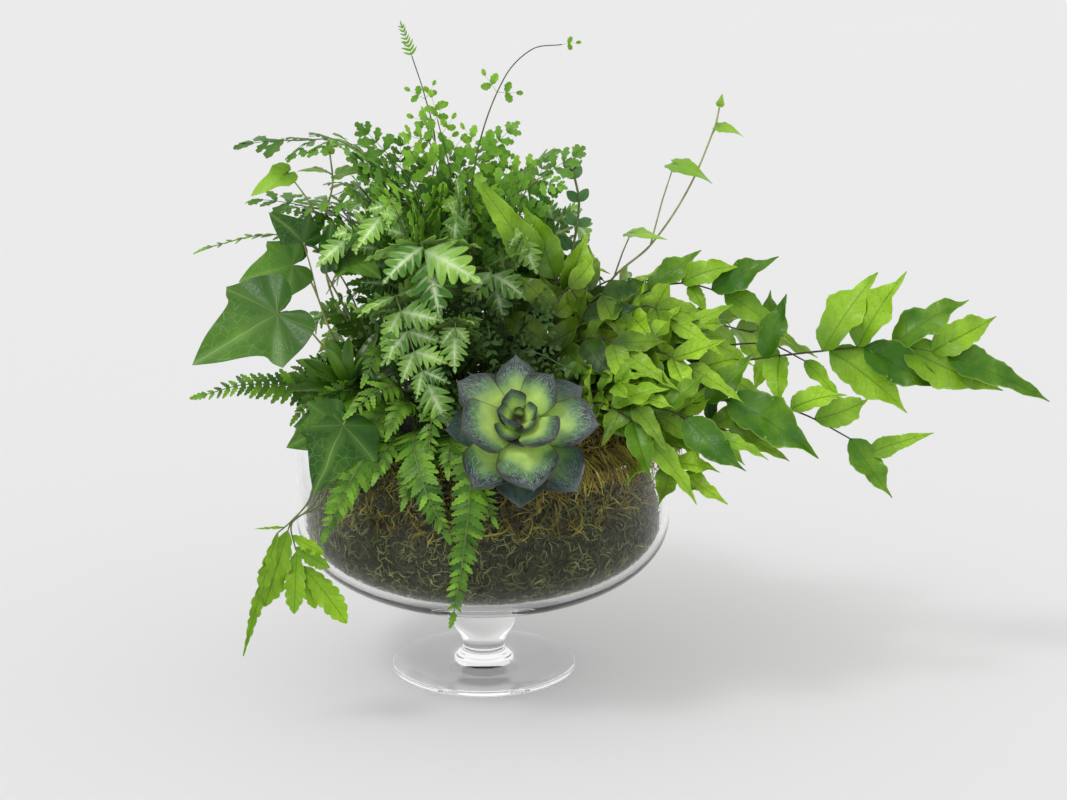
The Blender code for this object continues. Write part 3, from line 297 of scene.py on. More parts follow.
def curve_through(points: Sequence[Spot], steps: int) -> list[Spot]:
    """Returns a smooth line of points through a few (radius, height) points."""
    places = np.array(points)
    before = np.vstack((2 * places[0] - places[1], places[:-1]))
    after = np.vstack((places[1:], 2 * places[-1] - places[-2]))
    slopes = (after - before) / 2
    line = []
    for k in range(len(places) - 1):
        for t in np.arange(steps) / steps:
            line.append(eased(places[k], slopes[k], places[k + 1], slopes[k + 1], t))
    line.append(places[-1])
    return [(float(radius), float(height)) for radius, height in line]


# Node trees

class Board:
    """A node tree under construction, of a material or of geometry."""

    def __init__(self, tree: bpy.types.NodeTree) -> None:
        """Keeps the tree that the nodes go to."""
        self.tree = tree

    def node(self, kind: str, settings: dict | None = None, inputs: dict | None = None) -> bpy.types.Node:
        """Adds a node.

        Args:
            kind: The node's type.
            settings: Its properties by name.
            inputs: Values, or sockets to link, by an input's name or number.

        Returns:
            The node.
        """
        node = self.tree.nodes.new(kind)
        for name, value in (settings or {}).items():
            setattr(node, name, value)
        for key, value in (inputs or {}).items():
            self.feed(node.inputs[key], value)
        return node

    def out(self, kind: str, inputs: dict | None = None, output: int | str = 0,
            **settings: object) -> bpy.types.NodeSocket:
        """Adds a node and returns one of its outputs.

        Args:
            kind: The node's type.
            inputs: Values, or sockets to link, by an input's name or number.
            output: The output's name or number.
            settings: The node's properties.

        Returns:
            The output.
        """
        return self.node(kind, settings, inputs).outputs[output]

    def feed(self, socket: bpy.types.NodeSocket, value: object) -> None:
        """Links a socket to an input, or sets the input's value."""
        if isinstance(value, bpy.types.NodeSocket):
            self.tree.links.new(value, socket)
        else:
            socket.default_value = value

    def math(self, operation: str, first: object, second: object = 0.0,
             third: object = 0.0) -> bpy.types.NodeSocket:
        """Returns the result of a Math node."""
        return self.out("ShaderNodeMath", {0: first, 1: second, 2: third}, operation=operation)

    def between(self, value: object, low: float, high: float, first: object = 0.0,
                last: object = 1.0) -> bpy.types.NodeSocket:
        """Maps a value from low..high to first..last, held at the ends."""
        inputs = {"Value": value, "From Min": low, "From Max": high, "To Min": first, "To Max": last}
        return self.out("ShaderNodeMapRange", inputs)


class Paint(Board):
    """The node tree of a material."""

    def __init__(self, name: str) -> None:
        """Makes a material with its shader and its Object coordinates."""
        self.material = bpy.data.materials.new(name)
        self.material.use_nodes = True
        super().__init__(self.material.node_tree)
        self.shader = self.tree.nodes["Principled BSDF"]
        self.place = self.out("ShaderNodeTexCoord", output="Object")

    def noise(self, scale: float, detail: float = 2.0, vector: object = None,
              distortion: float = 0.0) -> bpy.types.NodeSocket:
        """Returns a noise value."""
        inputs = {"Vector": vector or self.place, "Scale": scale, "Detail": detail, "Distortion": distortion}
        return self.out("ShaderNodeTexNoise", inputs, "Fac")

    def mix(self, share: object, first: object, second: object) -> bpy.types.NodeSocket:
        """Returns a colour between two, each a colour or a socket."""
        colours = [colour if isinstance(colour, bpy.types.NodeSocket) else (*colour, 1.0)
                   for colour in (first, second)]
        return self.out("ShaderNodeMix", {0: share, 6: colours[0], 7: colours[1]}, 2, data_type="RGBA")

    def mark(self, name: str) -> bpy.types.NodeSocket:
        """Returns a mesh attribute's value."""
        return self.out("ShaderNodeAttribute", output="Fac", attribute_name=name)

    def across_and_along(self) -> tuple[bpy.types.NodeSocket, bpy.types.NodeSocket]:
        """Returns the two parts of the piece's own UV map."""
        split = self.node("ShaderNodeSeparateXYZ", None, {0: self.out("ShaderNodeUVMap", uv_map="UVMap")})
        return split.outputs["X"], split.outputs["Y"]

    def from_middle(self, across: bpy.types.NodeSocket) -> bpy.types.NodeSocket:
        """Returns how far out from a leaf's middle line a place is, 1 at the margin."""
        return self.math("MULTIPLY", self.math("ABSOLUTE", self.math("SUBTRACT", across, 0.5)), 2.0)

    def surface(self, values: dict[str, object]) -> None:
        """Sets the shader's other inputs by name."""
        for label, value in values.items():
            self.feed(self.shader.inputs[label], value)

    def relief(self, height: object, depth: float, strength: float = 1.0) -> None:
        """Gives the shader a bump of a depth in metres."""
        inputs = {"Strength": strength, "Distance": depth, "Height": height}
        self.feed(self.shader.inputs["Normal"], self.out("ShaderNodeBump", inputs))

    def colour(self, value: object) -> None:
        """Sets the shader's colour."""
        self.feed(self.shader.inputs["Base Color"], value)

    def roughness(self, value: object) -> None:
        """Sets the shader's roughness."""
        self.feed(self.shader.inputs["Roughness"], value)


# Finishes

class Veins(Enum):
    """How the veins of a leaf run."""

    NONE = "no veins that show"
    SIDE = "a midrib with side veins"
    SILVER = "a pale midrib with pale streaks into the lobes"
    FIVE = "five pale veins from the joint, with a net between them"


@dataclass(frozen=True)
class LeafFinish:
    """Colours and surface of one kind of leaf.

    Attributes:
        name: The material's name.
        light: Colour of the lightest leaves.
        dark: Colour of the darkest leaves.
        vein: Colour of the midrib and veins.
        edge: Colour of the thin margin.
        veins: How the veins run.
        rows: Side veins from base to tip.
        vein_share: How strongly the veins show.
        edge_share: How strongly the margin shows.
        roughness: Mean roughness.
        spot: Colour of small dry spots.
        gloss: Strength of the mirror-like share of its light.
        painted_shade_share: How light the painted shade on leaves deep inside the foliage is, as a share of
            the dark colour.
    """

    name: str
    light: Colour
    dark: Colour
    vein: Colour
    edge: Colour
    veins: Veins = Veins.SIDE
    rows: float = 9.0
    vein_share: float = 0.5
    edge_share: float = 0.5
    roughness: float = 0.42
    spot: Colour = (0.10, 0.07, 0.02)
    gloss: float = 0.30
    painted_shade_share: float = 0.16

    FIVE_WAYS = (90, 28, 152, -27, 207)  # degrees from the leaf's right side

    def material(self) -> bpy.types.Material:
        """Builds the material."""
        paint = Paint(self.name)
        across, along = paint.across_and_along()
        out = paint.from_middle(across)
        patches = paint.noise(55, 3)
        grain = paint.noise(700, 2)
        tone = paint.math("MULTIPLY_ADD", patches, 0.7, paint.math("SUBTRACT", paint.mark("tone"), 0.35))
        colour = paint.mix(paint.between(tone, 0.14, 0.88), self.dark, self.light)
        colour = paint.mix(paint.between(grain, 0.35, 0.7, 0.0, 0.22), colour, self.dark)
        veins = self.vein_lines(paint, across, along, out)
        colour = paint.mix(paint.math("MULTIPLY", veins, self.vein_share), colour, self.vein)
        margin = paint.between(out, 0.90, 1.0, 0.0, self.edge_share)
        if self.veins is not Veins.FIVE:
            colour = paint.mix(margin, colour, self.edge)
        # Painted shade at the base of each leaf, where it lies under other leaves.
        colour = paint.mix(paint.between(along, 0.0, 0.45, 0.70, 0.0), colour, self.dark)
        spots = paint.between(paint.noise(260, 1), 0.74, 0.80, 0.0, 0.45)
        colour = paint.mix(spots, colour, self.spot)
        pale = tuple(min(1.0, 0.75 * part + 0.06) for part in self.light)
        colour = paint.mix(paint.math("MULTIPLY", paint.mark("under"), 0.45), colour, pale)
        # Painted shade: leaves deep inside the foliage are darkened towards a share of the dark colour.
        painted_shade = tuple(self.painted_shade_share * part for part in self.dark)
        paint.colour(paint.mix(self.depth(paint), colour, painted_shade))
        paint.surface({"Specular IOR Level": self.gloss})
        paint.roughness(paint.between(grain, 0.3, 0.7, self.roughness - 0.07, self.roughness + 0.10))
        height = paint.math("MULTIPLY_ADD", grain, 0.35, paint.math("MULTIPLY", veins, -0.8))
        paint.relief(height, 0.35 * MM, 0.8)
        return paint.material

    @staticmethod
    def depth(paint: Paint) -> bpy.types.NodeSocket:
        """Returns the share of painted shade at a place, darkest deep inside the foliage."""
        apart = paint.out("ShaderNodeVectorMath", {0: paint.place, 1: HEART}, operation="SUBTRACT")
        shares = tuple(1 / part for part in HEART_REACH)
        apart = paint.out("ShaderNodeVectorMath", {0: apart, 1: shares}, operation="MULTIPLY")
        distance = paint.out("ShaderNodeVectorMath", {0: apart}, "Value", operation="LENGTH")
        return paint.between(distance, *HEART_SHADE)

    def vein_lines(self, paint: Paint, across: bpy.types.NodeSocket, along: bpy.types.NodeSocket,
                   out: bpy.types.NodeSocket) -> bpy.types.NodeSocket:
        """Returns where the veins are, from 0 to 1."""
        if self.veins is Veins.NONE:
            return paint.between(out, 0.0, 0.06, 1.0, 0.0)
        if self.veins is Veins.FIVE:
            return self.five_veins(paint, across, along)
        silver = self.veins is Veins.SILVER
        rib = paint.between(out, 0.02, 0.30 if silver else 0.07, 1.0, 0.0)
        sloped = paint.math("MULTIPLY_ADD", out, 0.0 if silver else -0.9,
                            paint.math("MULTIPLY", along, self.rows))
        phase = paint.math("ABSOLUTE", paint.math("SUBTRACT", paint.math("FRACT", sloped), 0.5))
        side = paint.between(phase, 0.01, 0.20 if silver else 0.06, 1.0, 0.0)
        fade = paint.between(out, 0.5, 0.98, 1.0, 0.0)
        side = paint.math("MULTIPLY", paint.math("MULTIPLY", side, fade), 0.8 if silver else 0.5)
        return paint.math("MAXIMUM", rib, side)

    def five_veins(self, paint: Paint, across: bpy.types.NodeSocket,
                   along: bpy.types.NodeSocket) -> bpy.types.NodeSocket:
        """Returns veins that fan out from the joint, with a fine net between them."""
        bend = paint.math("MULTIPLY_ADD", paint.noise(45, 1), 0.07, -0.035)
        sideways = paint.math("ADD", paint.math("SUBTRACT", across, 0.5), bend)
        lines = None
        for aim in self.FIVE_WAYS:
            angle = math.radians(aim)
            aside = paint.math("SUBTRACT", paint.math("MULTIPLY", sideways, math.sin(angle)),
                               paint.math("MULTIPLY", along, math.cos(angle)))
            apart = paint.math("ABSOLUTE", aside)
            ahead = paint.math("MULTIPLY_ADD", sideways, math.cos(angle),
                               paint.math("MULTIPLY", along, math.sin(angle)))
            width = paint.between(ahead, 0.0, 0.9, 0.011, 0.004)
            steps = paint.math("DIVIDE", apart, width)
            line = paint.math("MAXIMUM", paint.between(steps, 0.5, 1.4, 1.0, 0.0),
                              paint.between(steps, 1.0, 12.0, 0.38, 0.0))
            line = paint.math("MULTIPLY", line, paint.between(ahead, 0.0, 0.02))
            lines = line if lines is None else paint.math("MAXIMUM", lines, line)
        flat = paint.out("ShaderNodeCombineXYZ", {"X": sideways, "Y": along})
        cells = paint.out("ShaderNodeTexVoronoi", {"Vector": flat, "Scale": 9.0}, "Distance",
                          feature="DISTANCE_TO_EDGE")
        net = paint.between(cells, 0.01, 0.05, 0.30, 0.0)
        return paint.math("MAXIMUM", lines, net)


@dataclass(frozen=True)
class StemFinish:
    """Colours of a stem.

    Attributes:
        name: The material's name.
        light: Colour of its light blotches.
        dark: Colour of its dark blotches.
    """

    name: str
    light: Colour
    dark: Colour

    def material(self) -> bpy.types.Material:
        """Builds the material."""
        paint = Paint(self.name)
        blotches = paint.noise(120, 3)
        grain = paint.noise(1200, 2)
        paint.colour(paint.mix(paint.between(blotches, 0.35, 0.65), self.dark, self.light))
        paint.roughness(paint.between(grain, 0.3, 0.7, 0.4, 0.6))
        paint.relief(grain, 0.2 * MM, 0.6)
        return paint.material


@dataclass(frozen=True)
class StrandFinish:
    """Colours of moss strands, picked by each strand's lightness.

    Attributes:
        name: The material's name.
        first: Colour of the darkest strands.
        middle: Colour of those between.
        last: Colour of the lightest strands.
        shade: Colour of the painted shade that random patches of the moss tend to.
    """

    name: str
    first: Colour
    middle: Colour
    last: Colour
    shade: Colour = (0.012, 0.011, 0.007)

    def material(self) -> bpy.types.Material:
        """Builds the material."""
        paint = Paint(self.name)
        tone = paint.mark("tone")
        colour = paint.mix(paint.between(tone, 0.0, 0.5), self.first, self.middle)
        colour = paint.mix(paint.between(tone, 0.55, 1.0), colour, self.last)
        # Painted shade in random patches, where the moss is taken to lie deeper.
        depth = paint.noise(90, 3)
        colour = paint.mix(paint.between(depth, 0.42, 0.62, 0.55, 0.0), colour, self.shade)
        paint.colour(colour)
        grain = paint.noise(2500, 2)
        paint.roughness(paint.between(grain, 0.3, 0.7, 0.65, 0.9))
        paint.relief(grain, 0.15 * MM, 0.6)
        return paint.material


@dataclass(frozen=True)
class GroundFinish:
    # A holly finish with a much darker dark colour, painted shade for the fill fronds between and behind the
    # main ones.
    """Rough dark filling, for soil and for the moss behind its strands.

    Attributes:
        name: The material's name.
        light: Colour of the raised grains.
        dark: Colour of the hollows.
        scale: Grains per metre.
        fibres: How strongly thin curls show.
    """

    # A darker leaf finish, painted shade for the lacy fill in the middle of the foliage.
    name: str
    light: Colour
    dark: Colour
    scale: float = 260.0
    fibres: float = 0.0

    def material(self) -> bpy.types.Material:
        """Builds the material."""
        paint = Paint(self.name)
        coarse = paint.noise(self.scale, 5, distortion=1.5)
        fine = paint.noise(self.scale * 5, 4)
        both = paint.math("MULTIPLY_ADD", fine, 0.5, paint.math("MULTIPLY", coarse, 0.6))
        curls = paint.noise(self.scale * 1.4, 1, distortion=2.2)
        curls = paint.math("ABSOLUTE", paint.math("SUBTRACT", curls, 0.5))
        curls = paint.between(curls, 0.012, 0.04, self.fibres, 0.0)
        both = paint.math("MAXIMUM", both, curls)
        paint.colour(paint.mix(paint.between(both, 0.42, 0.68), self.dark, self.light))
        paint.roughness(paint.between(fine, 0.3, 0.7, 0.8, 1.0))
        paint.relief(both, 1.5 * MM)
        return paint.material


@dataclass(frozen=True)
class GlassFinish:
    """Clear blown glass with faint smears, greyer in the thick stem and foot.

    Attributes:
        name: The material's name.
        tint: Colour of the thin wall.
        thick_tint: Colour of the stem and foot.
        stem_top: Height below which the glass is thick.
        fade: Height over which the one colour passes into the other.
        refraction: Index of refraction, lower than real glass so that the moss shows through undimmed.
        mirror_tint: Colour of what the glass mirrors.
    """

    name: str = "clear_blown_glass"
    tint: Colour = (0.975, 0.985, 0.98)
    thick_tint: Colour = (0.880, 0.888, 0.882)
    stem_top: float = 44 * MM
    fade: float = 10 * MM
    refraction: float = 1.22
    mirror_tint: Colour = (0.25, 0.25, 0.25)

    def material(self) -> bpy.types.Material:
        """Builds the material."""
        paint = Paint(self.name)
        paint.surface({"Transmission Weight": 1.0, "IOR": self.refraction,
                       "Specular Tint": (*self.mirror_tint, 1.0)})
        waves = paint.noise(28, 2)
        smears = paint.noise(60, 3)
        height = paint.out("ShaderNodeSeparateXYZ", {0: paint.place}, "Z")
        thin = paint.mix(paint.between(waves, 0.4, 0.6), self.tint, (1.0, 1.0, 1.0))
        above = paint.between(height, self.stem_top - self.fade, self.stem_top)
        paint.colour(paint.mix(above, self.thick_tint, thin))
        paint.roughness(paint.between(smears, 0.58, 0.80, 0.0, 0.012))
        return paint.material


@dataclass(frozen=True)
class EcheveriaFinish:
    """Fleshy leaves, green at their base and grey-blue with streaks of wax at the tip.

    Attributes:
        name: The material's name.
        base: Colour of a leaf's base.
        middle: Colour half way along.
        tip: Colour of its tip.
        wax: Colour of the streaks.
        margin: Colour of the thin margin.
        old: Colour that the outermost leaves tend to.
        shade: Colour of the shaded foot of each leaf.
    """

    name: str = "echeveria_flesh"
    base: Colour = (0.63, 0.87, 0.21)
    middle: Colour = (0.17, 0.36, 0.09)
    tip: Colour = (0.015, 0.032, 0.033)
    wax: Colour = (0.44, 0.54, 0.52)
    margin: Colour = (0.100, 0.045, 0.038)
    old: Colour = (0.05, 0.085, 0.08)
    shade: Colour = (0.012, 0.024, 0.008)

    def material(self) -> bpy.types.Material:
        """Builds the material."""
        paint = Paint(self.name)
        across, along = paint.across_and_along()
        out = paint.from_middle(across)
        drift = paint.math("MULTIPLY_ADD", paint.noise(90, 3), 0.30, along)
        drift = paint.math("MULTIPLY_ADD", out, 0.22, drift)
        tone = paint.mark("tone")
        colour = paint.mix(paint.between(drift, 0.58, 0.88), self.base, self.middle)
        colour = paint.mix(paint.between(drift, 0.78, 1.04), colour, self.tip)
        stretched = paint.out("ShaderNodeCombineXYZ", {
            "X": paint.math("MULTIPLY", across, 34.0), "Y": paint.math("MULTIPLY", along, 16.0),
            "Z": paint.math("MULTIPLY", tone, 40.0)})
        streaks = paint.noise(1.0, 4, stretched, 1.2)
        shown = paint.math("MULTIPLY", paint.between(streaks, 0.46, 0.62),
                           paint.between(drift, 0.70, 0.90, 0.0, 0.50))
        shown = paint.math("MULTIPLY", shown, paint.between(out, 0.55, 0.95, 1.0, 0.15))
        colour = paint.mix(shown, colour, self.wax)
        colour = paint.mix(paint.between(tone, 0.0, 0.5, 0.7, 0.0), colour, self.old)
        colour = paint.mix(paint.between(along, 0.10, 0.34, 0.85, 0.0), colour, self.shade)
        rim = paint.math("MAXIMUM", paint.between(out, 0.93, 0.99), paint.between(along, 0.955, 0.99))
        colour = paint.mix(paint.math("MULTIPLY", rim, 0.8), colour, self.margin)
        paint.colour(colour)
        paint.roughness(paint.between(streaks, 0.4, 0.7, 0.30, 0.58))
        paint.relief(streaks, 0.25 * MM, 0.7)
        paint.surface({"Coat Weight": 0.3, "Coat Roughness": 0.25})
        return paint.material


@dataclass(frozen=True)
class StudioFinish:
    """Pale seamless floor.

    Attributes:
        name: The material's name.
        colour: Its colour.
        glow: Light that it gives off of its own.
    """

    name: str = "pale_floor"
    colour: Colour = (0.58, 0.58, 0.58)
    glow: float = 0.225

    def material(self) -> bpy.types.Material:
        """Builds the material."""
        paint = Paint(self.name)
        drift = paint.noise(1.2, 2)
        slightly = tuple(part * 0.985 for part in self.colour)
        paint.colour(paint.mix(drift, self.colour, slightly))
        paint.roughness(paint.between(drift, 0.3, 0.7, 0.85, 0.95))
        paint.surface({"Specular IOR Level": 0.1, "Emission Color": (1.0, 1.0, 1.0, 1.0),
                       "Emission Strength": self.glow})
        return paint.material


# Leaves

def swept(path: np.ndarray, radii: np.ndarray, sides: int = 5) -> Shape:
    """Returns a closed tube along a path.

    Args:
        path: Points along the middle, (n, 3).
        radii: Radius at each point.
        sides: Number of facets.

    Returns:
        The tube, with its along coordinate from 0 to 1.
    """
    ways = np.gradient(path, axis=0)
    ways /= np.linalg.norm(ways, axis=1, keepdims=True)
    across = np.cross(ways[0], (0.3, 0.5, 0.81))
    points, uv = [], []
    for k, (place, way, radius) in enumerate(zip(path, ways, radii)):
        across = across - way * across.dot(way)
        across /= np.linalg.norm(across)
        over = np.cross(way, across)
        for side in range(sides):
            angle = math.tau * side / sides
            points.append(place + (across * math.cos(angle) + over * math.sin(angle)) * radius)
            uv.append((side / sides, k / (len(path) - 1)))
    faces = rings_joined(len(path), sides)
    faces.append(tuple(range(sides))[::-1])
    faces.append(tuple((len(path) - 1) * sides + side for side in range(sides)))
    return Shape.of_faces(np.array(points), faces, np.array(uv))


def arched(flat: np.ndarray, curl: float) -> np.ndarray:
    """Bends points that lie along +Y down an arc.

    Args:
        flat: Points, (n, 3), with 0 to 1 along Y.
        curl: Angle of the bend from 0 to 1 in degrees.

    Returns:
        The bent points.
    """
    angle = math.radians(curl) or 1e-6
    turn = angle * flat[:, 1]
    bent = flat.copy()
    bent[:, 1] = np.sin(turn) / angle + flat[:, 2] * np.sin(turn)
    bent[:, 2] = (np.cos(turn) - 1) / angle + flat[:, 2] * np.cos(turn)
    return bent


def sheet_of(top: np.ndarray, thickness: float, uv: np.ndarray, rows: int, columns: int) -> Shape:
    """Gives a grid of points a thickness below it and closes its rim.

    Args:
        top: Points of the upper face, row by row, (rows * columns, 3).
        thickness: Distance to the lower face.
        uv: One pair for each point.
        rows: Points along.
        columns: Points across.

    Returns:
        A closed shape whose underside is marked.
    """
    count = rows * columns
    below = top - (0, 0, thickness)
    faces = []
    for i in range(rows - 1):
        for j in range(columns - 1):
            a, b = i * columns + j, i * columns + j + 1
            c, d = b + columns, a + columns
            faces.append((a, b, c, d))
            faces.append((d + count, c + count, b + count, a + count))
    rim = list(range(columns)) + [i * columns + columns - 1 for i in range(1, rows)]
    rim += [(rows - 1) * columns + j for j in range(columns - 2, -1, -1)]
    rim += [i * columns for i in range(rows - 2, 0, -1)]
    for a, b in zip(rim, rim[1:] + rim[:1]):
        faces.append((b, a, a + count, b + count))
    marks = np.concatenate((np.zeros(count), np.ones(count)))
    return Shape.of_faces(np.vstack((top, below)), faces, np.vstack((uv, uv)), marks)


@dataclass(frozen=True)
class Blade:
    """Thin leaf, one unit long along +Y, with its upper face to +Z.

    Attributes:
        side: Half outline as (along, half width) points.
        rows: Faces along.
        columns: Faces across.
        thickness: Thickness in shares of the length.
        curl: Bend from joint to tip in degrees.
        trough: How much the sides rise.
        sickle: Sideways sweep of the tip.
        wave: Height of the waves along the margins.
        waves: Number of waves.
        lobes: Number of lobes or teeth on a side.
        cut: Depth of the cuts between lobes, as a share of the half width.
        sweep: How far the lobes lean towards the tip.
        ragged: How much leaves differ from one another.
    """

    side: tuple[Spot, ...]
    rows: int = 14
    columns: int = 6
    thickness: float = 0.010
    curl: float = 25.0
    trough: float = 0.15
    sickle: float = 0.0
    wave: float = 0.0
    waves: float = 3.0
    lobes: int = 0
    cut: float = 0.0
    sweep: float = 0.0
    ragged: float = 1.0

    def half_width(self, along: np.ndarray) -> np.ndarray:
        """Returns the half width at places along the leaf, before any lobes."""
        line = np.array(curve_through(self.side, 8))
        return np.maximum(np.interp(along, line[:, 0], line[:, 1]), 0.004)

    def shape(self, rng: np.random.Generator) -> Shape:
        """Builds one leaf, a little different each time.

        Args:
            rng: Seeded source of the differences.

        Returns:
            The leaf.
        """
        vary = self.ragged
        rows = self.rows + 1
        along = np.linspace(0, 1, rows)
        out = np.linspace(-1, 1, self.columns + 1)
        half = self.half_width(along)
        if self.lobes:
            phase = along * self.lobes
            lobe = np.abs(np.sin(np.pi * phase)) ** 0.8
            half = half * (1 - self.cut * (1 - lobe) * (along < 0.97))
        u, v = np.meshgrid(along, out, indexing="ij")
        x = v * half[:, None]
        y = u + self.sweep * np.abs(x)
        sign = 1 if rng.random() < 0.5 else -1
        trough = self.trough * (1 + vary * rng.uniform(-0.5, 0.9))
        curl = self.curl * (1 + vary * rng.uniform(-0.8, 0.8)) + vary * rng.uniform(-6, 6)
        z = trough * np.abs(x) - 0.35 * np.sin(np.pi * u) * x ** 2
        for way in (-1, 1):
            turn = rng.uniform(0, math.tau)
            edge = np.where(v * way > 0, v ** 2, 0)
            z = z + self.wave * edge * np.sin(math.tau * self.waves * u + turn) * np.sin(np.pi * u)
        roll = vary * rng.uniform(-0.35, 0.35)
        z = z + roll * x * u
        x = x + (self.sickle * sign + vary * rng.uniform(-0.05, 0.05)) * u ** 2
        flat = np.stack((x.ravel(), y.ravel(), z.ravel()), axis=1)
        uv = np.stack((0.5 + 0.5 * v.ravel(), u.ravel()), axis=1)
        made = sheet_of(flat, self.thickness, uv, rows, self.columns + 1)
        return replace(made, points=arched(made.points, curl))


@dataclass(frozen=True)
class LobedBlade:
    """Ivy leaf that spreads from its joint, one unit long from there to its tip along +Y.

    Attributes:
        back: Half outline as (along, out) points from beside the joint to the side lobe's tip.
        front: Half outline from there to the leaf's tip.
        rings: Faces from the joint to the margin.
        steps: Points between two points of the outline.
        thickness: Thickness in shares of the length.
        curl: Bend from joint to tip in degrees.
        dome: How far the margin hangs.
        fold: How much the two halves rise from the midrib.
        wave: Height of the waves along the margin.
    """

    back: tuple[Spot, ...]
    front: tuple[Spot, ...]
    rings: int = 5
    steps: int = 3
    thickness: float = 0.012
    curl: float = 18.0
    dome: float = 0.10
    fold: float = 0.14
    wave: float = 0.02

    def outline(self) -> np.ndarray:
        """Returns the outline from the left of the joint round the tip to its right, as (x, y)."""
        line = curve_through(self.back, self.steps)[:-1] + curve_through(self.front, self.steps)
        right = [(out, along) for along, out in line]
        left = [(-out, along) for out, along in right[:-1]]
        return np.array(left + right[::-1])

    def shape(self, rng: np.random.Generator) -> Shape:
        """Builds one leaf, a little different each time.

        Args:
            rng: Seeded source of the differences.

        Returns:
            The leaf.
        """
        edge = self.outline()
        shares = np.linspace(0, 1, self.rings + 1)[1:]
        count = len(edge)
        x = np.concatenate(([0.0], np.outer(shares, edge[:, 0]).ravel()))
        y = np.concatenate(([0.0], np.outer(shares, edge[:, 1]).ravel()))
        share = np.concatenate(([0.0], np.repeat(shares, count)))
        around = np.concatenate(([0.0], np.tile(np.linspace(0, 1, count), self.rings)))
        turn = rng.uniform(0, math.tau)
        z = self.fold * rng.uniform(0.4, 1.6) * np.abs(x) - self.dome * rng.uniform(0.5, 1.5) * 2.4 * x ** 2
        z = z + self.wave * share ** 2 * np.sin(math.tau * 4 * around + turn)
        z = z + 0.012 * np.sin(9 * np.arctan2(x, y + 1e-6)) * share
        upper = np.stack((x, y, z), axis=1)
        faces = []
        for j in range(count - 1):
            faces.append((0, 2 + j, 1 + j))
            for ring in range(self.rings - 1):
                low, high = 1 + ring * count, 1 + (ring + 1) * count
                faces.append((low + j, low + j + 1, high + j + 1, high + j))
        total = len(upper)
        faces = [face[::-1] for face in faces]
        flat = faces + [tuple(corner + total for corner in face[::-1]) for face in faces]
        rings = [1 + ring * count for ring in range(self.rings)]
        rim = [0] + rings + list(range(rings[-1] + 1, rings[-1] + count))
        rim += [start + count - 1 for start in rings[-2::-1]]
        closing = [(a, b, b + total, a + total) for a, b in zip(rim, rim[1:] + rim[:1])]
        points = np.vstack((upper, upper - (0, 0, self.thickness)))
        uv = np.stack((0.5 + x, y), axis=1)
        marks = np.concatenate((np.zeros(total), np.ones(total)))
        made = Shape.of_faces(points, flat + closing, np.vstack((uv, uv)), marks)
        return outward(replace(made, points=arched(made.points, self.curl * rng.uniform(0.2, 2.0))))


@dataclass(frozen=True)
class FleshyBlade:
    """Plump pointed leaf, one unit long along +Y, with a keel below.

    Attributes:
        side: Half outline as (along, half width) points.
        plump: Thickness in shares of the length.
        cup: How much the margins rise.
        curl: Bend from base to tip in degrees; below 0 it bends up.
        rows: Faces along.
        facets: Faces around.
    """

    side: tuple[Spot, ...]
    plump: float = 0.13
    cup: float = 0.35
    curl: float = -25.0
    rows: int = 20
    facets: int = 16

    def shape(self, rng: np.random.Generator) -> Shape:
        """Builds one leaf, a little different each time.

        Args:
            rng: Seeded source of the differences.

        Returns:
            The leaf.
        """
        line = np.array(curve_through(self.side, 8))
        along = np.concatenate((np.linspace(0, 0.86, self.rows - 5), np.linspace(0.89, 1.0, 6)))
        half = np.maximum(np.interp(along, line[:, 0], line[:, 1]), 0.004)
        depth = self.plump * np.sqrt(np.clip(1 - along ** 2.2, 0.0, 1))
        depth = depth * (0.6 + 0.4 * np.sin(np.pi * along)) + 0.004
        angles = np.linspace(0, math.tau, self.facets, endpoint=False)
        u, a = np.meshgrid(along, angles, indexing="ij")
        out = np.cos(a)
        x = out * half[:, None]
        z = np.where(np.sin(a) > 0, 0.22, 0.95) * np.sin(a) * depth[:, None]
        z = z + self.cup * x ** 2 / (half[:, None] + 0.06)
        x = x + rng.uniform(-0.03, 0.03) * u ** 2
        points = np.stack((x.ravel(), u.ravel(), z.ravel()), axis=1)
        uv = np.stack((0.5 + 0.5 * out.ravel(), u.ravel()), axis=1)
        faces = []
        for i in range(len(along) - 1):
            for j in range(self.facets):
                after = (j + 1) % self.facets
                low, high = i * self.facets, (i + 1) * self.facets
                faces.append((low + j, high + j, high + after, low + after))
        faces.append(tuple(range(self.facets)))
        faces.append(tuple((len(along) - 1) * self.facets + j for j in range(self.facets))[::-1])
        made = Shape.of_faces(points, faces, uv, (np.sin(a) < -0.05).astype(float).ravel())
        curl = self.curl * rng.uniform(0.8, 1.2)
        return outward(replace(made, points=arched(made.points, curl)))


def outward(shape: Shape) -> Shape:
    """Returns a closed shape with all faces turned outwards, judged by its volume."""
    starts = np.concatenate(([0], np.cumsum(shape.sizes)[:-1]))
    volume = 0.0
    for start, size in zip(starts, shape.sizes):
        corners = shape.points[shape.corners[start:start + size]]
        for k in range(1, size - 1):
            volume += np.dot(corners[0], np.cross(corners[k], corners[k + 1]))
    if volume >= 0:
        return shape
    corners, uv = shape.corners.copy(), shape.uv.copy()
    for start, size in zip(starts, shape.sizes):
        corners[start:start + size] = shape.corners[start:start + size][::-1]
        uv[start:start + size] = shape.uv[start:start + size][::-1]
    return replace(shape, corners=corners, uv=uv)


# Paths and what grows along them

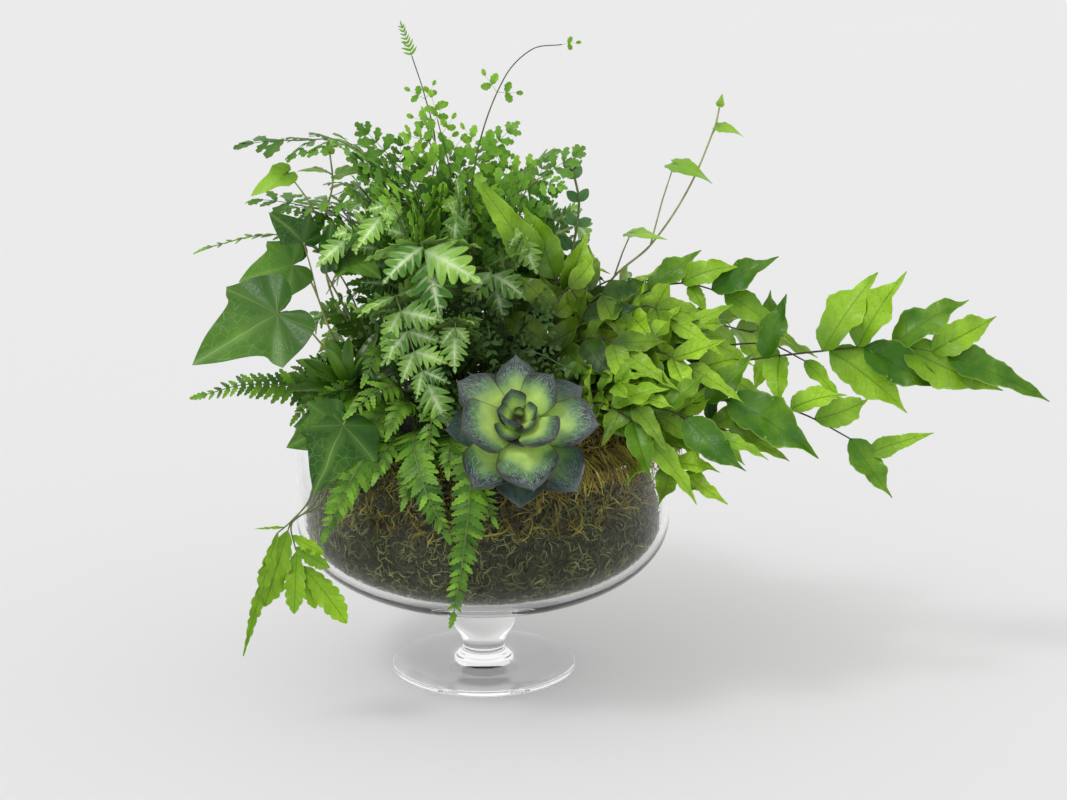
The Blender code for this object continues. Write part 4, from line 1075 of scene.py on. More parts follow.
@dataclass(frozen=True)
class Pose:
    """Where something grows from, the way it heads and the way its upper face looks.

    Attributes:
        origin: The place.
        ahead: The way that it heads, of unit length.
        normal: The way that its upper face looks, of unit length.
    """

    origin: Vector
    ahead: Vector
    normal: Vector

    @property
    def right(self) -> Vector:
        """The way to the right of a leaf."""
        return self.ahead.cross(self.normal).normalized()

    def turned(self, swing: float = 0.0, lift: float = 0.0, roll: float = 0.0) -> "Pose":
        """Turns by degrees: to the right, up towards the normal, and about the way ahead."""
        ahead = Matrix.Rotation(math.radians(-swing), 3, self.normal) @ self.ahead
        lift_turn = Matrix.Rotation(math.radians(lift), 3, ahead.cross(self.normal))
        ahead, normal = lift_turn @ ahead, lift_turn @ self.normal
        normal = Matrix.Rotation(math.radians(roll), 3, ahead) @ normal
        return Pose(self.origin, ahead.normalized(), normal.normalized())

    def matrix(self, size: float) -> Matrix:
        """Returns the matrix that puts a leaf of unit length here at a size."""
        turn = Matrix((self.right, self.ahead, self.normal)).transposed() * size
        return Matrix.Translation(self.origin) @ turn.to_4x4()


def heading(origin: Vector, goal: Vector, facing: Vector) -> tuple[Pose, float]:
    """Returns the pose at a place that heads for a goal, and the distance to it."""
    way = goal - origin
    ahead = way.normalized()
    return Pose(origin, ahead, (facing - ahead * facing.dot(ahead)).normalized()), way.length


class Path:
    """Smooth way of a stem: straight up out of the soil, then through a few points."""

    STEPS = 10
    ROOT_DEPTH = 14 * MM
    ROOT_RISE = 4 * MM

    def __init__(self, root: Spot, through: Sequence[Point], facing: Point, shift: Point = (0, 0, 0),
                 slip: Point = (0, 0, 0)) -> None:
        """Works out the path.

        Args:
            root: Place of the stem in the soil in mm.
            through: Points in mm, the last one the stem's tip.
            facing: The way that leaves face near the tip.
            shift: How far the points move, in mm, the last by half.
            slip: How far the root moves, in mm.
        """
        foot = Vector((root[0] + slip[0], root[1] + slip[1], 0)) * MM
        foot.z = soil_height(foot.length)
        points = [foot + UP * self.ROOT_RISE]
        for k, point in enumerate(through):
            share = 0.5 if k == len(through) - 1 else 1.0
            points.append((Vector(point) + Vector(shift) * share) * MM)
        self.places = [foot - UP * self.ROOT_DEPTH, points[0]]
        for k in range(len(points) - 1):
            start, end = points[k], points[k + 1]
            reach = (end - start).length
            leave = self.slope(points, k, reach) if k else UP * reach
            arrive = self.slope(points, k + 1, reach)
            for step in range(1, self.STEPS + 1):
                t = step / self.STEPS
                self.places.append(eased(start, leave, end, arrive, t))
        self.lengths = [0.0]
        for before, after in zip(self.places, self.places[1:]):
            self.lengths.append(self.lengths[-1] + (after - before).length)
        last = len(self.places) - 1
        self.ways = [(self.places[min(k + 1, last)] - self.places[max(k - 1, 0)]).normalized()
                     for k in range(last + 1)]
        self.normals = self.carried(Vector(facing).normalized())

    @staticmethod
    def slope(points: Sequence[Vector], k: int, reach: float) -> Vector:
        """Returns the path's slope at one of its points."""
        before, after = points[max(k - 1, 0)], points[min(k + 1, len(points) - 1)]
        return (after - before).normalized() * reach

    def carried(self, facing: Vector) -> list[Vector]:
        """Carries the tip's facing back to the root with no twist of its own."""
        normal = facing
        normals = []
        for way in reversed(self.ways):
            normal = (normal - way * normal.dot(way)).normalized()
            normals.append(normal)
        return normals[::-1]

    @property
    def length(self) -> float:
        """Length of the whole path."""
        return self.lengths[-1]

    def share_near(self, point: Vector) -> float:
        """Returns the share of the length at the place nearest to a point."""
        k = min(range(len(self.places)), key=lambda i: (self.places[i] - point).length)
        return self.lengths[k] / self.length

    def pose(self, share: float) -> Pose:
        """Returns the pose at a share of the path's length."""
        distance = min(max(share, 0.0), 1.0) * self.length
        k = int(np.searchsorted(self.lengths, distance)) - 1
        k = min(max(k, 0), len(self.lengths) - 2)
        t = (distance - self.lengths[k]) / (self.lengths[k + 1] - self.lengths[k])
        way = self.ways[k].lerp(self.ways[k + 1], t).normalized()
        normal = self.normals[k].lerp(self.normals[k + 1], t)
        normal = (normal - way * normal.dot(way)).normalized()
        return Pose(self.places[k].lerp(self.places[k + 1], t), way, normal)

    def carrier(self) -> bpy.types.Mesh:
        """Returns the path as a line of edges that holds each place's facing."""
        mesh = bpy.data.meshes.new("path")
        count = len(self.places)
        mesh.from_pydata([tuple(place) for place in self.places], [(k, k + 1) for k in range(count - 1)], [])
        facing = mesh.attributes.new("facing", "FLOAT_VECTOR", "POINT")
        facing.data.foreach_set("vector", [part for normal in self.normals for part in normal])
        return mesh


class Growth(Board):
    """A Geometry Nodes tree with named inputs, used to turn a carrier into a finished mesh."""

    def __init__(self, name: str, inputs: dict[str, str]) -> None:
        """Makes the tree with its inputs.

        Args:
            name: The tree's name.
            inputs: Socket type of each input by name.
        """
        super().__init__(bpy.data.node_groups.new(name, "GeometryNodeTree"))
        sockets = self.tree.interface
        sockets.new_socket("Geometry", in_out="INPUT", socket_type="NodeSocketGeometry")
        for label, kind in inputs.items():
            sockets.new_socket(label, in_out="INPUT", socket_type=kind)
        sockets.new_socket("Geometry", in_out="OUTPUT", socket_type="NodeSocketGeometry")
        self.entry = self.node("NodeGroupInput")
        self.exit = self.node("NodeGroupOutput")

    def value(self, name: str) -> bpy.types.NodeSocket:
        """Returns one of the tree's inputs."""
        return self.entry.outputs[name]

    def random(self, low: float, high: float, step: int = 0) -> bpy.types.NodeSocket:
        """Returns a random number for each element, seeded some steps from the tree's seed."""
        seed = self.math("ADD", self.value("Seed"), float(step)) if step else self.value("Seed")
        return self.out("FunctionNodeRandomValue", {2: low, 3: high, 8: seed}, 1, data_type="FLOAT")

    def turned(self, rotation: object, x: object, y: object, z: object) -> bpy.types.NodeSocket:
        """Returns a rotation turned by three angles in its own frame."""
        angles = self.out("ShaderNodeCombineXYZ", {"X": x, "Y": y, "Z": z})
        turn = self.out("FunctionNodeEulerToRotation", {0: angles})
        return self.out("FunctionNodeRotateRotation", {0: rotation, 1: turn}, rotation_space="LOCAL")

    def planted(self, instances: dict[str, object], tone: object, finish: object) -> bpy.types.NodeSocket:
        """Returns copies on points, made real and in their finish.

        Args:
            instances: The points, and what stands on them and how.
            tone: Lightness of each copy.
            finish: Their material.

        Returns:
            The geometry.
        """
        placed = self.out("GeometryNodeInstanceOnPoints", instances)
        toned = self.out("GeometryNodeStoreNamedAttribute", {0: placed, "Name": "tone", "Value": tone},
                         data_type="FLOAT", domain="INSTANCE")
        whole = self.out("GeometryNodeRealizeInstances", {0: toned})
        return self.out("GeometryNodeSetMaterial", {0: whole, "Material": finish})

    def close(self, first: object, second: object) -> None:
        """Makes two joined geometries the tree's result."""
        both = self.node("GeometryNodeJoinGeometry")
        self.feed(both.inputs[0], first)
        self.feed(both.inputs[0], second)
        self.feed(self.exit.inputs[0], both.outputs[0])

    def grown(self, carrier: bpy.types.Mesh, values: dict[str, object],
              materials: Sequence[bpy.types.Material]) -> Shape:
        """Runs the tree on a carrier.

        Args:
            carrier: Mesh that the tree starts from; it is used up.
            values: The inputs' values by name.
            materials: The materials in the order of the shape's slots.

        Returns:
            The result.
        """
        holder = bpy.data.objects.new("carrier", carrier)
        bpy.context.scene.collection.objects.link(holder)
        modifier = holder.modifiers.new("growth", "NODES")
        modifier.node_group = self.tree
        for socket in self.tree.interface.items_tree:
            if socket.in_out == "INPUT" and socket.name in values:
                modifier[socket.identifier] = values[socket.name]
        scene = bpy.context.evaluated_depsgraph_get()
        made = bpy.data.meshes.new_from_object(holder.evaluated_get(scene))
        shape = Shape.read(made)
        order = {material.name: slot for slot, material in enumerate(materials)}
        slots = [order.get(material.name, 0) if material else 0 for material in made.materials] or [0]
        shape.slots = np.array(slots, dtype=np.int32)[np.minimum(shape.slots, len(slots) - 1)]
        bpy.data.objects.remove(holder)
        bpy.data.meshes.remove(made)
        bpy.data.meshes.remove(carrier)
        return shape


def leafy_stem_tree() -> Growth:
    """Builds the tree that gives a path its stem and a row of leaflets in pairs."""
    real, whole = "NodeSocketFloat", "NodeSocketInt"
    tree = Growth("leafy_stem", {
        "Leaflet": "NodeSocketObject", "Pairs": whole, "First": real, "Last": real, "Length": real,
        "Short": real, "Bulge": real, "Swing at base": real, "Swing at tip": real, "Lift": real,
        "Root radius": real, "Tip radius": real, "Seed": whole, "Leaf finish": "NodeSocketMaterial",
        "Stem finish": "NodeSocketMaterial"})
    # The stem
    curve = tree.out("GeometryNodeMeshToCurve", {0: tree.value("Geometry")})
    along = tree.out("GeometryNodeSplineParameter", output="Factor")
    width = tree.between(along, 0.0, 1.0, tree.value("Root radius"), tree.value("Tip radius"))
    ring = tree.out("GeometryNodeCurvePrimitiveCircle", {0: STEM_SIDES, 4: 1.0})
    stem = tree.out("GeometryNodeCurveToMesh",
                    {"Curve": curve, "Profile Curve": ring, "Scale": width, "Fill Caps": True})
    stem = tree.out("GeometryNodeSetMaterial", {0: stem, "Material": tree.value("Stem finish")})

    # Where each leaflet stands: two to a pair, one on either side
    index = tree.out("GeometryNodeInputIndex")
    pair = tree.math("FLOOR", tree.math("DIVIDE", index, 2.0))
    side = tree.math("MULTIPLY_ADD", tree.math("MODULO", index, 2.0), 2.0, -1.0)
    steps = tree.math("MAXIMUM", tree.math("SUBTRACT", tree.value("Pairs"), 1.0), 1.0)
    share = tree.math("DIVIDE", pair, steps)
    stretch = tree.math("SUBTRACT", tree.value("Last"), tree.value("First"))
    factor = tree.math("MULTIPLY_ADD", share, stretch, tree.value("First"))
    facing = tree.out("GeometryNodeInputNamedAttribute", {0: "facing"}, data_type="FLOAT_VECTOR")
    sample = tree.node("GeometryNodeSampleCurve", {"data_type": "FLOAT_VECTOR", "mode": "FACTOR"},
                       {"Curves": curve, 1: facing, "Factor": factor})
    points = tree.out("GeometryNodePoints", {"Count": tree.math("MULTIPLY", tree.value("Pairs"), 2.0),
                                             "Position": sample.outputs["Position"]})

    # How it is turned
    frame = tree.out("FunctionNodeAxesToRotation", {0: sample.outputs["Tangent"], 1: sample.outputs[0]},
                     primary_axis="Y", secondary_axis="Z")
    change = tree.math("SUBTRACT", tree.value("Swing at tip"), tree.value("Swing at base"))
    swing = tree.math("MULTIPLY_ADD", share, change, tree.value("Swing at base"))
    swing = tree.math("ADD", swing, tree.random(-0.12, 0.12))
    lift = tree.math("ADD", tree.value("Lift"), tree.random(-0.22, 0.22, 1))
    sideways = tree.math("MULTIPLY", swing, tree.math("MULTIPLY", side, -1.0))
    aim = tree.turned(frame, lift, tree.random(-0.25, 0.25, 2), sideways)

    # How large it is
    taper = tree.math("MULTIPLY_ADD", tree.math("POWER", share, 1.5),
                      tree.math("SUBTRACT", tree.value("Short"), 1.0), 1.0)
    rest = tree.math("SUBTRACT", 1.0, share)
    dip = tree.math("MULTIPLY", tree.value("Bulge"), tree.math("MULTIPLY", rest, rest))
    size = tree.math("MULTIPLY", tree.math("MULTIPLY", tree.value("Length"), taper),
                     tree.math("SUBTRACT", 1.0, dip))
    size = tree.math("MULTIPLY", size, tree.random(0.9, 1.08, 3))
    leaflet = tree.out("GeometryNodeObjectInfo", {0: tree.value("Leaflet")}, "Geometry")
    leaves = tree.planted({"Points": points, "Instance": leaflet, "Rotation": aim, "Scale": size},
                          tree.random(0.15, 0.85, 4), tree.value("Leaf finish"))
    tree.close(stem, leaves)
    return tree


def cover_tree() -> Growth:
    """Builds the tree that covers a surface with scattered strands or crumbs."""
    real, whole = "NodeSocketFloat", "NodeSocketInt"
    tree = Growth("cover", {
        "Kinds": "NodeSocketCollection", "Density": real, "Smallest": real, "Largest": real, "Lean": real,
        "Lift": real, "Seed": whole, "Finish": "NodeSocketMaterial", "Ground finish": "NodeSocketMaterial",
        "Keep ground": "NodeSocketBool"})
    ground, lean = tree.value("Geometry"), tree.value("Lean")
    spread = tree.node("GeometryNodeDistributePointsOnFaces", None,
                       {"Mesh": ground, "Density": tree.value("Density"), "Seed": tree.value("Seed")})
    lifted = tree.out("ShaderNodeVectorMath", {0: spread.outputs["Normal"], "Scale": tree.value("Lift")},
                      operation="SCALE")
    points = tree.out("GeometryNodeSetPosition", {0: spread.outputs["Points"], "Offset": lifted})
    aim = tree.turned(spread.outputs["Rotation"], tree.math("MULTIPLY", lean, tree.random(-1.0, 1.0)),
                      tree.math("MULTIPLY", lean, tree.random(-1.0, 1.0, 1)), tree.random(0.0, math.tau, 2))
    size = tree.between(tree.random(0.0, 1.0, 3), 0.0, 1.0, tree.value("Smallest"), tree.value("Largest"))
    kinds = tree.out("GeometryNodeCollectionInfo", {0: tree.value("Kinds"), 1: True, 2: True})
    strands = tree.planted({"Points": points, "Instance": kinds, "Pick Instance": True, "Rotation": aim,
                            "Scale": size}, tree.random(0.0, 1.0, 4), tree.value("Finish"))
    base = tree.out("GeometryNodeSetMaterial", {0: ground, "Material": tree.value("Ground finish")})
    kept = tree.out("GeometryNodeSwitch", {"Switch": tree.value("Keep ground"), "True": base},
                    input_type="GEOMETRY")
    tree.close(kept, strands)
    return tree


@dataclass
class Nursery:
    """Node trees and the patterns that they repeat, removed when all pieces are made.

    Attributes:
        stem_tree: Gives a path its stem and leaflets.
        cover: Scatters strands or crumbs.
        patterns: Objects that the trees repeat.
        groups: Collections of such objects.
    """

    stem_tree: Growth = field(default_factory=leafy_stem_tree)
    cover: Growth = field(default_factory=cover_tree)
    patterns: list[bpy.types.Object] = field(default_factory=list)
    groups: list[bpy.types.Collection] = field(default_factory=list)

    def pattern(self, shape: Shape, label: str) -> bpy.types.Object:
        """Keeps a shape as an object that a tree can repeat."""
        mesh = shape.mesh(label, [])
        mesh.attributes.remove(mesh.attributes["tone"])
        kept = bpy.data.objects.new(label, mesh)
        self.patterns.append(kept)
        return kept

    def kinds(self, shapes: Sequence[Shape], label: str) -> bpy.types.Collection:
        """Keeps several shapes as a collection that a tree can pick from."""
        group = bpy.data.collections.new(label)
        for number, shape in enumerate(shapes):
            group.objects.link(self.pattern(shape, f"{label}_{number}"))
        self.groups.append(group)
        return group

    def clear(self) -> None:
        """Removes the patterns."""
        for kept in self.patterns:
            mesh = kept.data
            bpy.data.objects.remove(kept)
            bpy.data.meshes.remove(mesh)
        for group in self.groups:
            bpy.data.collections.remove(group)


# Bowl, moss and soil

BOWL_RADIUS = 125 * MM
BOWL_HEIGHT = 166 * MM
SHOULDER_HEIGHT = 110 * MM
BOWL_BOTTOM = 51 * MM
WALL = 4.5 * MM
BASE_GLASS = 6.5 * MM
ROUNDNESS = 2.2
SOIL_RADIUS = 88 * MM
SOIL_EDGE_HEIGHT = 167 * MM
SOIL_TOP = 183 * MM
STALK_SINK = 8 * MM
GROUND_MIDDLE = (0, 0, 120 * MM)
WAVES = 7


def soil_height(radius: float) -> float:
    """Returns the height of the soil's domed top at a distance from the axis."""
    return SOIL_TOP - (SOIL_TOP - SOIL_EDGE_HEIGHT) * (radius / SOIL_RADIUS) ** 2


def bowl_curve(inset: float, floor_rise: float, steps: int) -> list[Spot]:
    """Returns (radius, height) points from near the middle of the bowl's floor to its shoulder.

    Args:
        inset: Distance in from the outside of the glass.
        floor_rise: Height above the outside of the floor.
        steps: Number of points.

    Returns:
        The points.
    """
    bottom = BOWL_BOTTOM + floor_rise
    points = []
    for k in range(1, steps + 1):
        turn = math.pi / 2 * k / steps
        points.append(((BOWL_RADIUS - inset) * math.sin(turn) ** (2 / ROUNDNESS),
                       SHOULDER_HEIGHT - (SHOULDER_HEIGHT - bottom) * math.cos(turn) ** (2 / ROUNDNESS)))
    return points


@dataclass
class GlassBowl:
    """Blown bowl on a short stem with a collar and a round foot.

    Attributes:
        sides: Number of facets.
        foot_radius: Radius of the foot.
        foot_edge: Thickness of the foot's edge.
        collar: Radius of the collar.
        waist: Radius of the stem where it is thinnest.
        finish: Its glass.
    """

    sides: int = 128
    foot_radius: float = 62.5 * MM
    foot_edge: float = 3.0 * MM
    collar: float = 16.5 * MM
    waist: float = 14.0 * MM
    finish: GlassFinish = GlassFinish()

    def outline(self) -> list[Spot]:
        """Returns the closed outline from under the foot round the rim to the floor inside."""
        foot = [(0, 0), (self.foot_radius - 2 * MM, 0)]
        foot += curve_through([(self.foot_radius - 1 * MM, 0), (self.foot_radius, 1.2 * MM),
                               (self.foot_radius - 0.6 * MM, self.foot_edge)], 4)
        foot += [(self.foot_radius - 3 * MM, 3.6 * MM), (48 * MM, 4.3 * MM), (36 * MM, 5.0 * MM),
                 (27 * MM, 5.6 * MM)]
        foot += curve_through([(23 * MM, 6.0 * MM), (20 * MM, 7.2 * MM), (18.8 * MM, 9.0 * MM)], 3)
        collar = curve_through([(18.6 * MM, 9.4 * MM), (self.collar + 1.2 * MM, 10.2 * MM),
                                (self.collar, 11.6 * MM), (self.waist + 0.6 * MM, 13.4 * MM),
                                (self.waist, 16.5 * MM), (15.6 * MM, 21 * MM), (18.8 * MM, 26 * MM),
                                (20.9 * MM, 31 * MM), (22.3 * MM, 39 * MM), (25.5 * MM, 47.5 * MM)], 4)
        outside = [point for point in bowl_curve(0, 0, 30) if point[0] > 32 * MM]
        lip = BOWL_RADIUS + 0.5 * MM
        low, high = BOWL_HEIGHT - 1.6 * MM, BOWL_HEIGHT - 0.6 * MM
        rim = curve_through([(lip, low), (lip, high), (BOWL_RADIUS - WALL / 2, BOWL_HEIGHT),
                             (lip - WALL, high), (lip - WALL, low)], 3)
        inside = bowl_curve(WALL, BASE_GLASS, 30)[::-1] + [(0, BOWL_BOTTOM + BASE_GLASS)]
        return foot + collar + outside + rim + inside

    def build(self) -> None:
        """Makes the bowl."""
        shape = turned_shape(self.outline(), self.sides)
        glass = finish_piece("blown_glass_bowl", shape, [self.finish.material()],
                             ["footed_glass_bowl"], 60)
        glass.visible_shadow = False


def curled_strand(rng: np.random.Generator, steps: int = 6, width: float = 0.028) -> Shape:
    """Returns one curled strand of moss of about unit length, lying near the XY plane.

    Args:
        rng: Seeded source of its curl.
        steps: Faces along.
        width: Its radius at the middle.

    Returns:
        The strand.
    """
    heading_angle, bend = 0.0, rng.uniform(-2.6, 2.6)
    place = np.zeros(3)
    path = [place]
    for _ in range(steps):
        heading_angle += bend / steps + rng.uniform(-0.5, 0.5)
        step = np.array((math.cos(heading_angle), math.sin(heading_angle), rng.uniform(-0.35, 0.35)))
        place = place + step / steps
        path.append(place)
    line = np.array(path)
    line -= line.mean(axis=0)
    swell = [0.5 + 0.5 * math.sin(math.pi * (0.12 + 0.8 * k / steps)) for k in range(steps + 1)]
    return swept(line, width * np.array(swell), 3)


def uneven(shape: Shape, height: float, scale: float, rng: np.random.Generator) -> Shape:
    """Moves a shape's points in and out by soft waves.

    Args:
        shape: The shape.
        height: Largest movement.
        scale: Waves per metre.
        rng: Seeded source of the waves.

    Returns:
        The shape with its points moved.
    """
    points = shape.points
    lift = np.zeros(len(points))
    for _ in range(WAVES):
        way = rng.normal(size=3)
        way *= scale * rng.uniform(0.5, 1.6) / np.linalg.norm(way)
        lift += np.sin(math.tau * points @ way + rng.uniform(0, math.tau))
    outwards = points - GROUND_MIDDLE
    outwards /= np.linalg.norm(outwards, axis=1, keepdims=True) + 1e-9
    return replace(shape, points=points + outwards * (lift / (WAVES / 2) * height)[:, None])


@dataclass
class MossLining:
    """Packed moss between the soil and the glass, drawn in from the wall near its top.

    Attributes:
        strand_length: Usual length of a strand.
        density: Strands on a square metre.
        sides: Facets of the surface that they grow on.
        seed: Seed of its strands.
        finish: Colours of the strands.
        ground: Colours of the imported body.
    """

    strand_length: float = 7.5 * MM
    density: float = 97000.0
    sides: int = 48
    seed: int = 11
    finish: StrandFinish = StrandFinish("moss_strands", (0.050, 0.062, 0.022), (0.185, 0.225, 0.080),
                                        (0.500, 0.500, 0.180))
    ground: GroundFinish = GroundFinish("moss_ground", light=(0.090, 0.094, 0.050),
                                        dark=(0.004, 0.005, 0.003), scale=260, fibres=0.70)

    def outside(self) -> list[Spot]:
        """Returns the outline that shows through the glass, from near the axis to the top."""
        inset = WALL + 2.6 * MM
        floor = BASE_GLASS + 2.2 * MM
        low = [point for point in bowl_curve(inset, floor, 24) if point[1] < 104 * MM]
        drawn_in = [(115 * MM, 118 * MM), (111 * MM, 132 * MM), (107 * MM, 146 * MM), (101 * MM, 160 * MM),
                    (95 * MM, 167 * MM)]
        return low + drawn_in

    def core(self) -> Shape:
        """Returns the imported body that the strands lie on."""
        low = [(0, self.outside()[0][1])]
        inside = [(86 * MM, 163 * MM), (84 * MM, 120 * MM), (60 * MM, 80 * MM), (0, 74 * MM)]
        return turned_shape(low + self.outside() + inside, 72)

    def skin(self) -> Shape:
        """Returns the open surface that the strands grow on."""
        outline = np.array([point for point in self.outside() if point[0] > 60 * MM])
        turns = np.linspace(0, math.tau, self.sides, endpoint=False)
        points = [(radius * math.cos(turn), radius * math.sin(turn), height)
                  for radius, height in outline for turn in turns]
        return Shape.of_faces(np.array(points), rings_joined(len(outline), self.sides))

    def build(self, nursery: Nursery) -> None:
        """Makes the lining with its strands."""
        rng = np.random.default_rng(self.seed)
        kinds = nursery.kinds([curled_strand(rng, 3, 0.052) for _ in range(14)], "moss_strand")
        materials = [self.finish.material(), self.ground.material()]
        core = uneven(self.core(), 1.2 * MM, 60, rng)
        values = {"Kinds": kinds, "Density": self.density, "Smallest": 0.6 * self.strand_length,
                  "Largest": 1.3 * self.strand_length, "Lean": 0.10, "Lift": 0.9 * MM, "Seed": 3,
                  "Finish": materials[0], "Ground finish": materials[1], "Keep ground": False}
        strands = nursery.cover.grown(self.skin().mesh("moss_skin", []), values, materials)
        shape = self.held_in(Shape.joined([core.in_slot(1), strands]))
        finish_piece("packed_moss", shape, materials, ["moss_lining"], NO_CREASE)

    def held_in(self, shape: Shape) -> Shape:
        """Keeps every point inside the glass."""
        points = shape.points.copy()
        radius = np.hypot(points[:, 0], points[:, 1])
        wall = np.array(bowl_curve(WALL + 0.35 * MM, BASE_GLASS + 0.35 * MM, 60))
        most = np.interp(points[:, 2], wall[:, 1], wall[:, 0])
        least = np.interp(radius, wall[:, 0], wall[:, 1])
        over = radius > most
        points[over, :2] *= (most[over] / radius[over])[:, None]
        points[:, 2] = np.maximum(points[:, 2], np.where(radius < wall[-1, 0], least, points[:, 2]))
        return replace(shape, points=points)


@dataclass
class PottingSoil:
    """Dark crumbly soil that fills the lining and shows between the stems.

    Attributes:
        crumb: Size of the largest crumbs.
        density: Crumbs on a square metre.
        seed: Seed of its crumbs.
        finish: Its colours.
    """

    crumb: float = 3.2 * MM
    density: float = 9000.0
    seed: int = 5
    finish: GroundFinish = GroundFinish("soil_crumbs", light=(0.060, 0.042, 0.024),
                                        dark=(0.006, 0.005, 0.004), scale=420)

    def build(self, nursery: Nursery) -> None:
        """Makes the soil with its crumbs."""
        rng = np.random.default_rng(self.seed)
        top = [(share * SOIL_RADIUS, soil_height(share * SOIL_RADIUS)) for share in np.linspace(0, 0.985, 24)]
        body = top + [(85 * MM, 150 * MM), (80 * MM, 110 * MM), (56 * MM, 82 * MM), (0, 76 * MM)]
        shape = outward(turned_shape(body, 72))
        shape = uneven(shape, 0.8 * MM, 90, rng)
        material = self.finish.material()
        kinds = nursery.kinds([self.lump(rng) for _ in range(5)], "crumb")
        values = {"Kinds": kinds, "Density": self.density, "Smallest": 0.4 * self.crumb,
                  "Largest": self.crumb, "Lean": 3.0, "Lift": 0.2 * MM, "Seed": 8, "Finish": material,
                  "Ground finish": material, "Keep ground": True}
        shape = nursery.cover.grown(shape.mesh("soil_body", [material]), values, [material])
        finish_piece("soil_filling", shape, [material], ["potting_soil"], 40)

    @staticmethod
    def lump(rng: np.random.Generator) -> Shape:
        """Returns one crumb of about unit size."""
        profile = [(0, -0.5), (0.40, -0.28), (0.52, 0.05), (0.34, 0.38), (0, 0.5)]
        shape = turned_shape(profile, 6)
        return replace(shape, points=shape.points * (1 + rng.uniform(-0.22, 0.22, shape.points.shape)))


@dataclass
class MossTuft:
    """Cushion of moss at the front right, with strands that hang over the glass rim.

    Attributes:
        finish: Colours of its strands.
        ground: Colours of the body that they grow on.
        sector: Where it starts and ends about the axis in degrees.
        density: Strands on a square metre of the cushion.
        band_density: Strands on a square metre of the band behind the glass.
        loose_strands: Strands that hang over the rim.
        seed: Seed of its strands.
    """

    finish: StrandFinish = StrandFinish("tuft_strands", (0.230, 0.105, 0.035), (0.350, 0.300, 0.035),
                                        (0.680, 0.620, 0.100))
    ground: GroundFinish = GroundFinish("tuft_ground", light=(0.060, 0.050, 0.018),
                                        dark=(0.010, 0.008, 0.004))
    sector: Spot = (-80.0, -16.0)
    density: float = 125000.0
    band_density: float = 52000.0
    loose_strands: int = 430
    seed: int = 21

    def cushion(self) -> Shape:
        """Returns the arched strip that the strands grow on."""
        rows = ((82, 176.0), (89, 182.5), (98, 184.0), (106, 179.5), (112, 172.5), (115, 165.0))
        turns = np.radians(np.linspace(*self.sector, 25))
        points, uv = [], []
        for i, turn in enumerate(turns):
            for j, (radius, height) in enumerate(rows):
                reach = (radius + 1.5 * math.sin(2.3 * i)) * MM
                points.append((reach * math.cos(turn), reach * math.sin(turn), height * MM))
                uv.append((j / (len(rows) - 1), i / (len(turns) - 1)))
        strip = sheet_of(np.array(points), 3.5 * MM, np.array(uv), len(turns), len(rows))
        return outward(strip)

    def build(self, nursery: Nursery) -> None:
        """Makes the tuft with its strands."""
        rng = np.random.default_rng(self.seed)
        materials = [self.finish.material(), self.ground.material()]
        kinds = nursery.kinds([curled_strand(rng, 5, 0.024) for _ in range(10)], "tuft_strand")
        values = {"Kinds": kinds, "Density": self.density, "Smallest": 12 * MM, "Largest": 26 * MM,
                  "Lean": 0.75, "Lift": 1.0 * MM, "Seed": 4, "Finish": materials[0],
                  "Ground finish": materials[1], "Keep ground": True}
        mat = nursery.cover.grown(self.cushion().mesh("tuft_body", materials), values, materials)
        values.update({"Density": self.band_density, "Keep ground": False, "Seed": 14})
        band = nursery.cover.grown(self.band().mesh("tuft_band", materials), values, materials)
        shape = Shape.joined([mat, band] + self.hanging(rng))
        finish_piece("moss_cushion", shape, materials, ["moss_tuft_right"], NO_CREASE)

    def band(self) -> Shape:
        """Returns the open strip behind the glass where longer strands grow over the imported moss."""
        rows = ((97, 168.0), (104, 158.0), (110, 140.0), (114, 128.0))
        turns = np.radians(np.linspace(-150, -8, 36))
        points = [(radius * math.cos(turn) * MM, radius * math.sin(turn) * MM, height * MM)
                  for turn in turns for radius, height in rows]
        width = len(rows)
        faces = [(i * width + j, (i + 1) * width + j, (i + 1) * width + j + 1, i * width + j + 1)
                 for i in range(len(turns) - 1) for j in range(width - 1)]
        return Shape.of_faces(np.array(points), faces)

    def hanging(self, rng: np.random.Generator) -> list[Shape]:
        """Returns loose strands that lead from the cushion over the rim."""
        strands = []
        for _ in range(self.loose_strands):
            turn = math.radians(rng.uniform(self.sector[0], self.sector[1] + 4))
            way = np.array((math.cos(turn), math.sin(turn), 0))
            aside = np.array((-math.sin(turn), math.cos(turn), 0))
            drop = rng.uniform(2, 16) * (0.4 + 0.6 * rng.random())
            corners = [(106, 174), (117, 174.5 + rng.uniform(-2, 4)), (127, 168.5 + rng.uniform(0, 3)),
                       (130.5 + rng.uniform(0, 2.5), 166 - 0.4 * drop),
                       (131 + rng.uniform(-1, 4), 164 - drop)]
            drift = rng.uniform(-7, 7)
            path = [way * radius * MM + aside * drift * k * 0.4 * MM + np.array((0, 0, height * MM))
                    + rng.normal(size=3) * 0.8 * MM for k, (radius, height) in enumerate(corners)]
            count = int(rng.integers(3, 6))
            path = path[:count]
            radii = np.linspace(0.50, 0.20, count) * MM
            strands.append(swept(np.array(path), radii, 3).with_tone(rng.random()))
        return strands


# Plants

@dataclass(frozen=True)
class Aim:
    """One leaf that is aimed at the place of its tip, all in mm.

    Attributes:
        at: Share of the stem's length or the point nearest to where it leaves.
        tip: Place of the leaf's tip.
        joint: Place where its stalk ends and its blade starts.
        facing: The way that its upper face looks.
    """

    at: Point | float
    tip: Point
    joint: Point | None = None
    facing: Point | None = None


